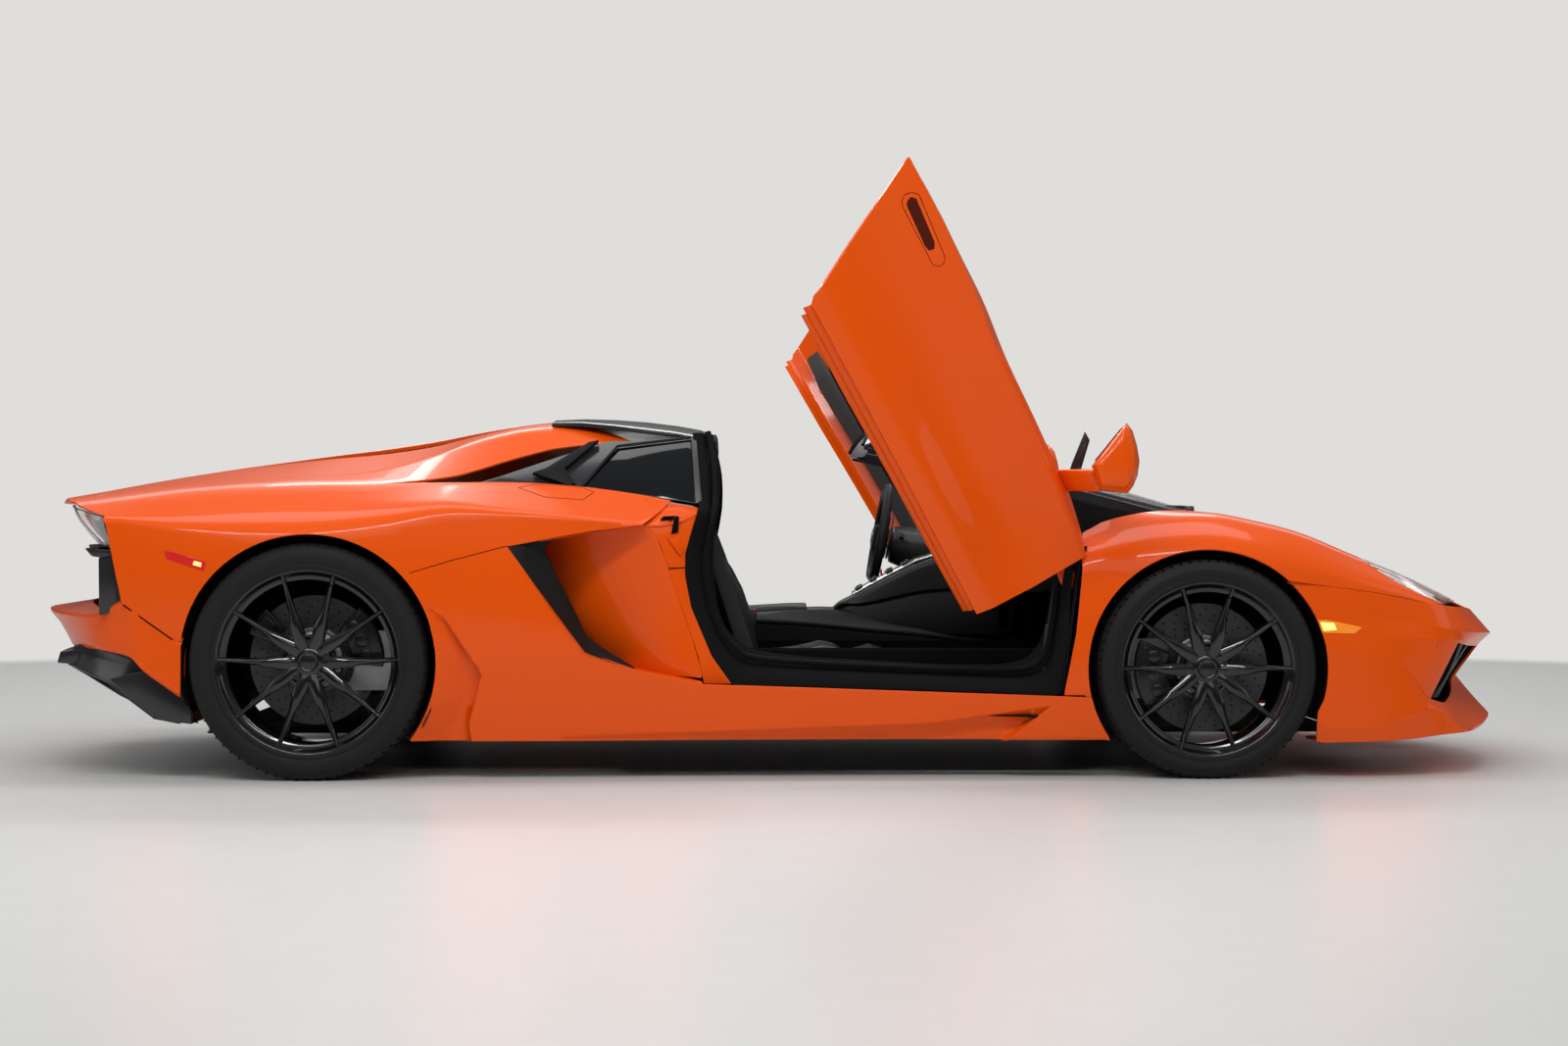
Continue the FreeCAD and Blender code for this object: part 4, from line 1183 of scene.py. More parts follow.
def quilt(name: str, grid: list, thickness: float, bevel: float = 0.0, smooth: int = 0,
          way: Point3 | None = None) -> bpy.types.Object:
    """Gives a grid of points a thickness.

    Args:
        name: object name.
        grid: rows of 3-D points.
        thickness: wall thickness.
        bevel: edge radius.
        smooth: subdivision levels.
        way: direction of the thickness; square to the grid if none.

    Returns:
        The closed object.
    """
    grid = np.array(grid, float)
    rows, cols = grid.shape[:2]
    if way is None:
        du, dv = np.gradient(grid, axis=0), np.gradient(grid, axis=1)
        push = np.cross(du, dv)
        push /= np.maximum(np.linalg.norm(push, axis=2), 1e-9)[..., None]
    else:
        push = np.broadcast_to(np.array(way, float), grid.shape)
    both = np.stack([grid, grid + push * thickness]).reshape(-1, 3)
    size = rows * cols
    faces = []
    for r in range(rows - 1):
        for c in range(cols - 1):
            a = r * cols + c
            quad = (a, a + 1, a + cols + 1, a + cols)
            faces += [quad, tuple(v + size for v in quad[::-1])]
    rim = ([c for c in range(cols)] + [r * cols + cols - 1 for r in range(1, rows)]
           + [(rows - 1) * cols + c for c in range(cols - 2, -1, -1)]
           + [r * cols for r in range(rows - 2, 0, -1)])
    for a, b in zip(rim, rim[1:] + rim[:1]):
        faces.append((b, a, a + size, b + size))
    return tidy_mesh(new_object(name, both, faces), bevel=bevel, segments=2, smooth=smooth)


def join(name: str, pieces: list[bpy.types.Object]) -> bpy.types.Object:
    """Joins objects into one and names it.

    Args:
        name: name of the whole.
        pieces: the objects, which are used up.

    Returns:
        The new object.
    """
    work = bmesh.new()
    for piece in pieces:
        work.from_mesh(piece.data)
    data = bpy.data.meshes.new(name)
    work.to_mesh(data)
    work.free()
    for piece in pieces:
        bpy.data.objects.remove(piece)
    data.polygons.foreach_set("use_smooth", [True] * len(data.polygons))
    made = bpy.data.objects.new(name, data)
    bpy.context.scene.collection.objects.link(made)
    return made


def place(piece: bpy.types.Object, at: Point3 = (0, 0, 0), sign: int = 1,
          turn: Matrix | None = None) -> bpy.types.Object:
    """Turns, moves and if need be mirrors the mesh of a piece.

    Args:
        piece: the object.
        at: how far it moves, before it is mirrored.
        sign: -1 mirrors it to the right side of the car.
        turn: rotation about the origin, done first.

    Returns:
        The same object.
    """
    matrix = Matrix.Translation(at) @ (turn.to_4x4() if turn is not None else Matrix())
    if sign < 0:
        matrix = Matrix.Scale(-1, 4, (0, 1, 0)) @ matrix
    piece.data.transform(matrix)
    if sign < 0:
        piece.data.flip_normals()
    return piece


class Repeater:
    """Geometry Nodes tree that repeats a piece round the Y axis and along a step."""

    NAME = "repeat"

    @classmethod
    def tree(cls) -> bpy.types.NodeTree:
        """Returns the node tree, built once."""
        found = bpy.data.node_groups.get(cls.NAME)
        if found:
            return found
        tree = bpy.data.node_groups.new(cls.NAME, "GeometryNodeTree")
        face = tree.interface
        face.new_socket("Geometry", in_out="INPUT", socket_type="NodeSocketGeometry")
        face.new_socket("Count", in_out="INPUT", socket_type="NodeSocketInt")
        face.new_socket("Turn", in_out="INPUT", socket_type="NodeSocketFloat")
        face.new_socket("Step", in_out="INPUT", socket_type="NodeSocketVector")
        face.new_socket("Material", in_out="INPUT", socket_type="NodeSocketMaterial")
        face.new_socket("Geometry", in_out="OUTPUT", socket_type="NodeSocketGeometry")
        nodes, links = tree.nodes, tree.links
        start, end = nodes.new("NodeGroupInput"), nodes.new("NodeGroupOutput")
        index, points = nodes.new("GeometryNodeInputIndex"), nodes.new("GeometryNodePoints")
        along, angle = nodes.new("ShaderNodeVectorMath"), nodes.new("ShaderNodeMath")
        along.operation, angle.operation = "SCALE", "MULTIPLY"
        euler = nodes.new("ShaderNodeCombineXYZ")
        copies, real = nodes.new("GeometryNodeInstanceOnPoints"), nodes.new("GeometryNodeRealizeInstances")
        dress = nodes.new("GeometryNodeSetMaterial")
        links.new(start.outputs["Step"], along.inputs[0])
        links.new(index.outputs[0], along.inputs["Scale"])
        links.new(index.outputs[0], angle.inputs[0])
        links.new(start.outputs["Turn"], angle.inputs[1])
        links.new(angle.outputs[0], euler.inputs["Y"])
        links.new(start.outputs["Count"], points.inputs["Count"])
        links.new(along.outputs[0], points.inputs["Position"])
        links.new(points.outputs[0], copies.inputs["Points"])
        links.new(start.outputs["Geometry"], copies.inputs["Instance"])
        links.new(euler.outputs[0], copies.inputs["Rotation"])
        links.new(copies.outputs[0], real.inputs[0])
        links.new(real.outputs[0], dress.inputs["Geometry"])
        links.new(start.outputs["Material"], dress.inputs["Material"])
        links.new(dress.outputs["Geometry"], end.inputs[0])
        return tree

    @classmethod
    def run(cls, piece: bpy.types.Object, finish: Finish, count: int, turn: float = 0.0,
            step: Point3 = (0, 0, 0)) -> bpy.types.Object:
        """Repeats a piece and makes the result a plain mesh.

        Args:
            piece: the piece repeated, at its first place.
            finish: finish of the copies.
            count: how many there are.
            turn: degrees about the Y axis from one to the next.
            step: move from one to the next.

        Returns:
            The same object.
        """
        modifier = piece.modifiers.new("repeat", "NODES")
        modifier.node_group = tree = cls.tree()
        sockets = {item.name: item.identifier for item in tree.interface.items_tree if item.in_out == "INPUT"}
        values = {"Count": count, "Turn": math.radians(turn), "Step": step, "Material": finish.material()}
        for name, value in values.items():
            modifier[sockets[name]] = value
        return bake(piece)


def groove(name: str, skin: Skin, line: list[Point2], sign: int, width: float = .0022,
           finish: Finish = SHADOW, body: str = "chassis", turn: Matrix | None = None,
           lift: float = .0004) -> bpy.types.Object:
    """Draws a thin shut line along (u, k) points of a skin.

    Args:
        name: object name.
        skin: the surface it lies on.
        line: its (u, k) points.
        sign: -1 for the right of the car, 1 for the left.
        width: its width.
        finish: its surface finish.
        body: CAD body it rides on.
        turn: an extra turn in the frame.
        lift: how far it stands off.

    Returns:
        The object.
    """
    flat = np.array(line)
    spot = skin.at(flat[:, 0], flat[:, 1])
    up = skin.normal(flat[:, 0], flat[:, 1])
    along = np.gradient(spot, axis=0)
    side = np.cross(along, up)
    side /= np.maximum(np.linalg.norm(side, axis=1), 1e-9)[:, None]
    rings = [[p + s * width / 2 + n * lift, p - s * width / 2 + n * lift, p - s * width / 2 - n * .0015,
              p + s * width / 2 - n * .0015] for p, s, n in zip(spot, side, up)]
    return settle(place(loft(name, rings), sign=sign), finish, body=body, turn=turn)


# ------------------------------------------------------------------ studio
@dataclass
class Studio:
    """Camera, floor, world and lamps.

    Attributes:
        lens: focal length in mm.
        camera_x: the camera's x, from the middle of the wheelbase.
        camera_y: its y.
        camera_z: its height.
        yaw: degrees it looks to the front of the car.
        floor_colour: colour of the floor, linear.
        backdrop: colour behind the car, linear.
        fade: distances at which the floor starts and stops turning into the backdrop.
    """

    lens: float = 61.5
    camera_x: float = -0.075
    camera_y: float = -9.0
    camera_z: float = 0.77
    yaw: float = 1.05
    floor_colour: Point3 = (0.74, 0.74, 0.73)
    backdrop: Point3 = (0.74, 0.73, 0.71)
    fade: Point2 = (6.9, 7.6)

    def build(self) -> None:
        """Builds the whole studio."""
        self._camera()
        self._floor()
        self._lamps()
        bpy.context.scene.view_settings.view_transform = "Standard"

    def _camera(self) -> None:
        """Makes the scene's camera."""
        data = bpy.data.cameras.new("view_camera")
        data.lens, data.sensor_width = self.lens, 36.0
        data.clip_start, data.clip_end = 0.1, 200.0
        camera = bpy.data.objects.new("view_camera", data)
        camera.location = (self.camera_x + MID, self.camera_y, self.camera_z)
        camera.rotation_euler = (math.pi / 2, 0.0, -math.radians(self.yaw))
        bpy.context.scene.collection.objects.link(camera)
        bpy.context.scene.camera = camera

    def _floor(self) -> None:
        """Makes a plain pale floor and the world behind it."""
        floor = prism("studio_floor", [(-30, -30), (30, -30), (30, 30), (-30, 30)], -.05, 0, axis="z",
                      bevel=0)
        finish = Finish("floor", self.floor_colour, roughness=0.30, scale=30.0, depth=0.01, spread=0.03)
        paint = finish.material()
        self._fade(paint.node_tree)
        floor.data.materials.append(paint)
        world = bpy.data.worlds.new("studio")
        world.use_nodes = True
        tree = world.node_tree
        back = tree.nodes["Background"]
        back.inputs["Color"].default_value = (0.80, 0.80, 0.79, 1)
        shown = tree.nodes.new("ShaderNodeBackground")
        shown.inputs["Color"].default_value = (*self.backdrop, 1)
        where = tree.nodes.new("ShaderNodeTexCoord")
        split = tree.nodes.new("ShaderNodeSeparateXYZ")
        rise = tree.nodes.new("ShaderNodeMapRange")
        rise.interpolation_type = "SMOOTHSTEP"
        for key, value in (("From Min", 0.0), ("From Max", 0.75), ("To Min", 0.07), ("To Max", 0.46)):
            rise.inputs[key].default_value = value
        mix = tree.nodes.new("ShaderNodeMixShader")
        path = tree.nodes.new("ShaderNodeLightPath")
        tree.links.new(where.outputs["Generated"], split.inputs[0])
        tree.links.new(split.outputs["Z"], rise.inputs["Value"])
        tree.links.new(rise.outputs["Result"], back.inputs["Strength"])
        tree.links.new(path.outputs["Is Camera Ray"], mix.inputs["Fac"])
        tree.links.new(back.outputs[0], mix.inputs[1])
        tree.links.new(shown.outputs[0], mix.inputs[2])
        tree.links.new(mix.outputs[0], tree.nodes["World Output"].inputs["Surface"])
        bpy.context.scene.world = world

    def _fade(self, tree: bpy.types.NodeTree) -> None:
        """Lets the far floor run into the backdrop, for the camera only.

        Args:
            tree: the floor material's nodes.
        """
        output = tree.nodes["Material Output"]
        surface = output.inputs["Surface"].links[0].from_socket
        where = tree.nodes.new("ShaderNodeTexCoord")
        far = tree.nodes.new("ShaderNodeVectorMath")
        far.operation = "LENGTH"
        ramp = tree.nodes.new("ShaderNodeMapRange")
        ramp.interpolation_type = "SMOOTHSTEP"
        ramp.inputs["From Min"].default_value, ramp.inputs["From Max"].default_value = self.fade
        glow = tree.nodes.new("ShaderNodeEmission")
        glow.inputs["Color"].default_value = (*self.backdrop, 1)
        seen = tree.nodes.new("ShaderNodeLightPath")
        share = tree.nodes.new("ShaderNodeMath")
        share.operation = "MULTIPLY"
        mix = tree.nodes.new("ShaderNodeMixShader")
        tree.links.new(where.outputs["Object"], far.inputs[0])
        tree.links.new(far.outputs["Value"], ramp.inputs["Value"])
        tree.links.new(ramp.outputs["Result"], share.inputs[0])
        tree.links.new(seen.outputs["Is Camera Ray"], share.inputs[1])
        tree.links.new(share.outputs[0], mix.inputs["Fac"])
        tree.links.new(surface, mix.inputs[1])
        tree.links.new(glow.outputs[0], mix.inputs[2])
        tree.links.new(mix.outputs[0], output.inputs["Surface"])

    def _lamps(self) -> None:
        """Hangs soft ceiling lamps over the car."""
        lamps = (
            ("lamp_right", (-0.6, -4.2, 4.4), (38, 0, 0), (5.5, 0.30), 140),
            ("lamp_left", (0.0, 4.2, 4.4), (-38, 0, 0), (5.5, 0.6), 90),
            ("lamp_top", (0.0, 0.0, 5.2), (0, 0, 0), (6.5, 1.6), 120),
            ("lamp_front", (6.5, -1.5, 3.2), (0, 62, -12), (4.0, 3.0), 40),
            ("lamp_rear", (-6.5, -1.5, 3.2), (0, -62, 12), (4.0, 3.0), 40),
            ("lamp_side", (0.0, -8.5, 5.2), (52, 0, 0), (9.0, 3.0), 105),
            ("lamp_back", (0.0, 6.5, 5.0), (0, 0, 0), (14.0, 3.0), 240),
        )
        for name, at, turn, extent, power in lamps:
            data = bpy.data.lights.new(name, "AREA")
            data.shape, data.size, data.size_y, data.energy = "RECTANGLE", *extent, power
            lamp = bpy.data.objects.new(name, data)
            lamp.location = at
            lamp.rotation_euler = [math.radians(a) for a in turn]
            bpy.context.scene.collection.objects.link(lamp)


# ------------------------------------------------------------------ bodywork
FRONT_ARCH = (HALF_BASE, 0.330, 0.362)
REAR_ARCH = (-HALF_BASE, 0.355, 0.384)

SPINE = Line([(-2.34, 0.0, 0.830, .5), (-2.20, 0.0, 0.865, .5), (-2.04, 0.0, 0.903, .5),
              (-1.75, 0.0, 0.962, .5), (-1.55, 0.0, 0.995, .5), (-1.225, 0.0, 1.046, .5),
              (-0.96, 0.0, 1.079, .5), (-0.80, 0.0, 1.097, .5), (-0.575, 0.0, 1.117, .5),
              (-0.437, 0.0, 1.114, .5), (-0.24, 0.0, 1.092, .5), (-0.165, 0.0, 1.076, .5)])
LID_REAR = Line([(-2.34, 0.50, 0.822, .15), (-2.04, 0.56, 0.868, .12), (-1.75, 0.61, 0.895, .10),
                 (-1.45, 0.62, 0.915, .08), (-1.163, 0.585, 0.938, .06), (-1.039, 0.53, 0.976, .08),
                 (-0.899, 0.485, 1.034, .12), (-0.772, 0.475, 1.069, .15), (-0.635, 0.475, 1.085, .18),
                 (-0.437, 0.50, 1.078, .2), (-0.165, 0.50, 1.050, .2)])
CREST_REAR = Line([(-2.34, 0.80, 0.818, .35), (-2.04, 0.805, 0.842, .4), (-1.75, 0.80, 0.872, .42),
                   (-1.45, 0.79, 0.889, .42), (-1.163, 0.775, 0.893, .3), (-0.96, 0.765, 0.893, .12),
                   (-0.733, 0.76, 0.893, .06), (-0.546, 0.765, 0.880, .05), (-0.407, 0.775, 0.862, .05),
                   (-0.277, 0.785, 0.838, .05), (-0.165, 0.795, 0.812, .05)])
SHOULDER_REAR = Line([(-2.34, 0.93, 0.786, .12), (-1.97, 0.945, 0.786, .14), (-1.75, 0.972, 0.770, .25),
                      (-1.51, 0.990, 0.765, .4), (-1.35, 0.995, 0.770, .45), (-1.112, 0.985, 0.800, .4),
                      (-0.96, 0.975, 0.820, .26), (-0.769, 0.968, 0.806, .12), (-0.520, 0.962, 0.784, .05),
                      (-0.351, 0.955, 0.769, .04), (-0.165, 0.950, 0.766, .04)])
WAIST_REAR = Line([(-2.34, 0.94, 0.70, .5), (-1.97, 0.955, 0.70, .5), (-1.75, 0.990, 0.665, .5),
                   (-1.35, 1.013, 0.660, .5), (-0.96, 1.004, 0.660, .45), (-0.60, 0.985, 0.64, .4),
                   (-0.30, 0.962, 0.60, .4), (-0.165, 0.950, 0.58, .4)])
FLANK_REAR = Line([(-2.34, 0.945, 0.56, .4), (-1.97, 0.955, 0.56, .4), (-1.75, 0.988, 0.49, .4),
                   (-1.35, 1.013, 0.50, .4), (-0.96, 1.006, 0.45, .4), (-0.60, 0.990, 0.40, .35),
                   (-0.30, 0.976, 0.345, .25), (-0.165, 0.970, 0.335, .25), (0.10, 0.967, 0.335, .2),
                   (0.45, 0.965, 0.325, .2), (0.711, 0.964, 0.315, .2), (0.912, 0.965, 0.300, .2),
                   (1.05, 0.967, 0.295, .2)])
ROCKER_REAR = Line([(-2.34, 0.93, 0.20, .06), (-1.75, 0.95, 0.16, .06), (-1.35, 0.950, 0.112, .06),
                    (-0.165, 0.930, 0.112, .06), (0.45, 0.930, 0.112, .06), (1.05, 0.937, 0.112, .06)])
KEEL_REAR = Line([(-2.34, 0.80, 0.20, .3), (-1.35, 0.80, 0.112, .3), (1.05, 0.80, 0.112, .3)])

BODY_REAR = [SPINE, LID_REAR, CREST_REAR, SHOULDER_REAR, WAIST_REAR, FLANK_REAR, ROCKER_REAR, KEEL_REAR]

BONNET_MID = Line([(1.40, 0.0, 0.806, .3), (1.50, 0.0, 0.797, .3), (1.65, 0.0, 0.757, .3),
                   (1.86, 0.0, 0.682, .3), (2.03, 0.0, 0.618, .3), (2.17, 0.0, 0.560, .3),
                   (2.30, 0.0, 0.508, .3), (2.40, 0.0, 0.466, .3)])
BONNET_RIB = Line([(1.40, 0.26, 0.806, .14), (1.50, 0.26, 0.795, .14), (1.86, 0.23, 0.682, .12),
                   (2.17, 0.17, 0.560, .1), (2.30, 0.13, 0.507, .1), (2.40, 0.10, 0.466, .1)])
BONNET_EDGE = Line([(1.40, 0.62, 0.800, .2), (1.50, 0.60, 0.782, .2), (1.65, 0.585, 0.744, .2),
                    (1.86, 0.545, 0.667, .2), (2.03, 0.49, 0.604, .2), (2.17, 0.42, 0.545, .2),
                    (2.30, 0.33, 0.494, .2), (2.40, 0.25, 0.455, .2)])
CREST_FRONT = Line([(0.90, 0.80, 0.700, .3), (0.986, 0.815, 0.733, .32), (1.05, 0.82, 0.756, .34),
                    (1.15, 0.825, 0.781, .36), (1.275, 0.83, 0.799, .38), (1.395, 0.83, 0.803, .38),
                    (1.518, 0.83, 0.780, .36), (1.651, 0.83, 0.746, .32), (1.829, 0.815, 0.672, .25),
                    (1.966, 0.79, 0.618, .2), (2.087, 0.745, 0.565, .2), (2.20, 0.68, 0.514, .2),
                    (2.30, 0.60, 0.470, .2)])
SHOULDER_FRONT = Line([(0.90, 0.925, 0.640, .4), (0.986, 0.928, 0.668, .42), (1.15, 0.935, 0.702, .45),
                       (1.35, 0.945, 0.722, .46), (1.518, 0.947, 0.702, .46), (1.651, 0.945, 0.662, .42),
                       (1.829, 0.925, 0.602, .3), (1.966, 0.895, 0.560, .2), (2.087, 0.855, 0.522, .2),
                       (2.20, 0.80, 0.486, .2), (2.30, 0.74, 0.45, .2)])
WAIST_FRONT = Line([(0.90, 0.938, 0.52, .5), (0.986, 0.945, 0.54, .5), (1.15, 0.967, 0.60, .5),
                    (1.35, 0.982, 0.63, .5), (1.518, 0.980, 0.60, .5), (1.66, 0.968, 0.545, .4),
                    (1.853, 0.948, 0.497, .2), (2.002, 0.908, 0.470, .2), (2.20, 0.81, 0.44, .2),
                    (2.30, 0.75, 0.42, .2)])
FLANK_FRONT = Line([(0.90, 0.955, 0.32, .4), (1.15, 0.972, 0.36, .4), (1.35, 0.982, 0.45, .4),
                    (1.70, 0.972, 0.36, .4), (2.00, 0.915, 0.31, .4), (2.20, 0.83, 0.30, .4),
                    (2.30, 0.77, 0.3, .4)])
ROCKER_FRONT = Line([(0.90, 0.930, 0.112, .06), (1.35, 0.940, 0.112, .06), (1.70, 0.945, 0.108, .06),
                     (2.30, 0.80, 0.125, .06)])
KEEL_FRONT = Line([(0.90, 0.80, 0.112, .3), (2.30, 0.60, 0.125, .3)])

BODY_FRONT = [BONNET_MID, BONNET_RIB, BONNET_EDGE, CREST_FRONT, SHOULDER_FRONT, WAIST_FRONT, FLANK_FRONT,
              ROCKER_FRONT, KEEL_FRONT]

CREST_DOOR = Line([(-0.40, 0.79, 0.801, .08), (-0.183, 0.80, 0.803, .08), (0.007, 0.80, 0.791, .08),
                   (0.148, 0.80, 0.785, .08), (0.354, 0.80, 0.759, .08), (0.516, 0.80, 0.748, .08),
                   (0.72, 0.805, 0.732, .08), (0.85, 0.81, 0.728, .08), (0.95, 0.815, 0.705, .08),
                   (1.05, 0.82, 0.66, .08)])
SHOULDER_DOOR = Line([(-0.40, 0.958, 0.757, .04), (-0.359, 0.957, 0.756, .04), (-0.219, 0.953, 0.754, .04),
                      (-0.108, 0.950, 0.750, .04), (-0.03, 0.947, 0.744, .04), (0.104, 0.944, 0.732, .05),
                      (0.304, 0.938, 0.704, .06), (0.444, 0.934, 0.695, .08), (0.666, 0.928, 0.680, .12),
                      (0.765, 0.925, 0.668, .15), (0.865, 0.922, 0.656, .15), (0.969, 0.920, 0.642, .15),
                      (1.05, 0.92, 0.632, .15)])
CREASE_DOOR = Line([(-0.40, 0.952, 0.648, .03), (-0.304, 0.949, 0.647, .03), (-0.071, 0.937, 0.646, .03),
                    (0.082, 0.930, 0.640, .04), (0.256, 0.925, 0.618, .05), (0.45, 0.920, 0.585, .08),
                    (0.60, 0.917, 0.562, .12), (0.742, 0.916, 0.553, .2), (0.90, 0.923, 0.556, .3),
                    (1.05, 0.93, 0.56, .3)])
HOLLOW_DOOR = Line([(-0.40, 0.950, 0.54, .45), (-0.165, 0.932, 0.53, .45), (0.10, 0.915, 0.50, .45),
                    (0.45, 0.905, 0.47, .45), (0.711, 0.912, 0.45, .45), (0.887, 0.930, 0.43, .45),
                    (1.05, 0.945, 0.42, .45)])
LOWER_DOOR = Line([(-0.40, 0.976, 0.350, .2), (-0.165, 0.970, 0.340, .2), (0.10, 0.967, 0.335, .2),
                   (0.45, 0.965, 0.325, .2), (0.711, 0.964, 0.315, .2), (0.912, 0.965, 0.300, .2),
                   (1.05, 0.967, 0.30, .2)])
LIP_DOOR = Line([(-0.40, 0.967, 0.300, .1), (-0.165, 0.962, 0.288, .1), (0.45, 0.957, 0.268, .1),
                 (0.912, 0.957, 0.248, .1), (1.05, 0.957, 0.24, .1)])
ROCKER_DOOR = Line([(-0.40, 0.93, 0.112, .06), (0.45, 0.93, 0.112, .06), (1.05, 0.935, 0.112, .06)])
KEEL_DOOR = Line([(-0.40, 0.80, 0.112, .3), (1.05, 0.80, 0.112, .3)])
BODY_DOOR = [CREST_DOOR, SHOULDER_DOOR, CREASE_DOOR, HOLLOW_DOOR, LOWER_DOOR, LIP_DOOR, ROCKER_DOOR,
             KEEL_DOOR]


@dataclass
class Coachwork:
    """Fixed and opening outer panels."""

    def build(self) -> None:
        """Builds every outer panel of both sides."""
        rear, front = Skin(BODY_REAR, self._hollows()), Skin(BODY_FRONT)
        for side, sign in SIDES.items():
            self._quarter(rear, side, sign)
            self._fender(front, side, sign)
        self._deck(rear)
        self._cover(rear)
        self._bonnet(front)

    def _hollows(self) -> tuple[Dent, ...]:
        """Returns the hollow ahead of the rear wheel and the one along the sill."""
        wheel = Dent([(-.992, .520), (-.939, .487), (-.831, .317), (-.872, .165), (-.862, .105),
                      (-1.06, .105), (-.979, .256), (-.967, .388)],
                     [.010, .008, .008, .008, .0001, .09, .09, .09], depth=.036)
        sill = Dent([(.885, .221), (.735, .105), (-.62, .105), (-.60, .128), (.50, .168)],
                    [.008, .0001, .9, .03, .03], depth=.030)
        return wheel, sill

    def _quarter(self, skin: Skin, side: str, sign: int) -> None:
        """Rear wing with the flying buttress, and the sill on to the front wheel.

        Args:
            skin: the surface the panel is cut from.
            side: right or left.
            sign: -1 for the right of the car, 1 for the left.
        """
        x, z, r = REAR_ARCH
        wheel = arc((x, z), r, -38, 203, 60)
        wheel = [(max(px, -1.757) if pz < 0.40 else px, pz) for px, pz in wheel]
        low, high = 2.2, 6.0
        edge: list[Point2] = []
        edge += skin.on_side(thicken_line([(-1.045, 0.116), (1.040, 0.116)], 0.03, False), 5, 6.3)
        fx, fz, fr = FRONT_ARCH
        edge += skin.on_side([p for p in arc((fx, fz), fr, 180, 238, 20) if p[1] < 0.240][::-1], 5, 6.3)
        edge += skin.on_side(thicken_line([(0.998, 0.243), (0.45, 0.262), (-0.169, 0.284), (-0.375, 0.330),
                                           (-0.522, 0.383), (-0.757, 0.701), (-0.615, 0.728),
                                           (-0.50, 0.748), (-0.351, 0.765)], 0.02, False), low, high)
        edge += [(-0.351, 3.0), (-0.30, 2.45), (-0.272, 2.0)]
        edge += thicken_line([(-0.272, 2.0), (-0.41, 2.0), (-0.546, 2.0), (-0.733, 2.0), (-0.92, 2.0),
                              (-1.15, 1.985)], 0.03, False)[1:]
        edge += thicken_line([(-1.15, 1.985), (-0.93, 1.80), (-0.809, 1.62), (-0.654, 1.42), (-0.477, 1.28),
                              (-0.404, 1.22), (-0.52, 1.03), (-0.635, 1.0)], 0.02, False)[1:]
        edge += thicken_line([(-0.635, 1.01), (-2.03, 1.01)], 0.03, False)[1:]
        edge += [(-2.03, 1.4), (-2.03, 1.97)] + thicken_line([(-2.03, 1.97), (-2.093, 1.97)], .02, False)[1:]
        edge += [(-2.078, 2.10)] + skin.on_side([(-2.062, .824), (-2.02, .810)], 2.0, 3.3)
        edge += skin.on_side(thicken_line([(-1.974, 0.794), (-1.957, 0.766), (-1.938, 0.680),
                                           (-1.906, 0.530), (-1.752, 0.424)], 0.02, False), 2.8, high)
        edge += skin.on_side([p for p in wheel[::-1] if p[0] > -1.76 and (p[1] > 0.40 or p[0] > -1.4)], low,
                             6.3)
        guides = [line for dent in skin.dents for line in dent.guides(skin, 3.5, 6.3)]
        made = panel("rear_wing_" + side, Sheet(skin, edge, lines=guides), sign)
        settle(made, PAINT, slot="paint", nodes=("rear_quarter_" + side, "side_sill_" + side))
        for n, line in enumerate(([(-1.045, .6205), (-0.924, 0.657), (-0.757, 0.701)],)):
            groove(f"wing_seam_{n}_{side}", skin, skin.on_side(thicken_line(line, .02, False), 3.2, 5), sign)
        flap = [(-0.737, 0.878), (-0.696, 0.887), (-0.559, 0.884), (-0.506, 0.864), (-0.538, 0.840),
                (-0.654, 0.849), (-0.737, 0.878)]
        groove("fuel_flap_" + side, skin, skin.on_side(thicken_line(flap, .01, False), 2.02, 2.98), sign)

    def _fender(self, skin: Skin, side: str, sign: int) -> None:
        """Front wing from the door opening to the lamp.

        Args:
            skin: the surface the panel is cut from.
            side: right or left.
            sign: -1 for the right of the car, 1 for the left.
        """
        x, z, r = FRONT_ARCH
        wheel = arc((x, z), r, 47.5, 204, 48)
        edge = [(2.095, 3.92)]
        edge += skin.on_side(thicken_line([(2.055, 0.524), (1.943, 0.548), (1.789, 0.571), (1.597, 0.597)],
                                          0.02, False), 2.6, 7.0)
        edge += skin.on_side(wheel, 2.6, 7.0)
        edge += skin.on_side(thicken_line([(0.980, 0.252), (0.918, 0.252), (0.955, 0.44), (0.975, 0.622),
                                           (0.978, 0.700)], 0.02, False), 2.6, 7.0)
        edge += [(0.990, 3.0)] + thicken_line([(1.05, 2.86), (1.15, 2.75), (1.30, 2.55), (1.43, 2.2)], 0.03,
                                              False)
        edge += thicken_line([(1.46, 2.01), (1.86, 2.01)], 0.03, False)
        edge += thicken_line([(1.835, 2.55), (1.845, 3.0), (1.88, 3.30), (1.95, 3.62), (2.02, 3.82)], 0.03,
                             False)
        made = panel("front_wing_" + side, Sheet(skin, edge), sign)
        settle(made, PAINT, slot="paint", nodes=("front_fender_" + side,))

    def _deck(self, skin: Skin) -> None:
        """Tail deck between the engine cover and the lamps.

        Args:
            skin: the surface the panel is cut from.
        """
        edge = [(-2.035, k) for k in np.linspace(0, 1.0, 20)]
        edge += [(-2.035, 1.4),
                 (-2.035, 1.95)] + thicken_line([(-2.035, 1.95), (-2.098, 1.95)], .02, False)[1:]
        edge += skin.on_top(thicken_line([(-2.112, 0.76), (-2.145, 0.65), (-2.185, 0.48), (-2.235, 0.30),
                                          (-2.285, 0.12), (-2.295, 0.0)], 0.03, False), 0, 3.0)
        made = panel("tail_deck_panel", Sheet(skin, edge), 1, whole=True)
        settle(made, PAINT, slot="paint", nodes=("tail_deck",))

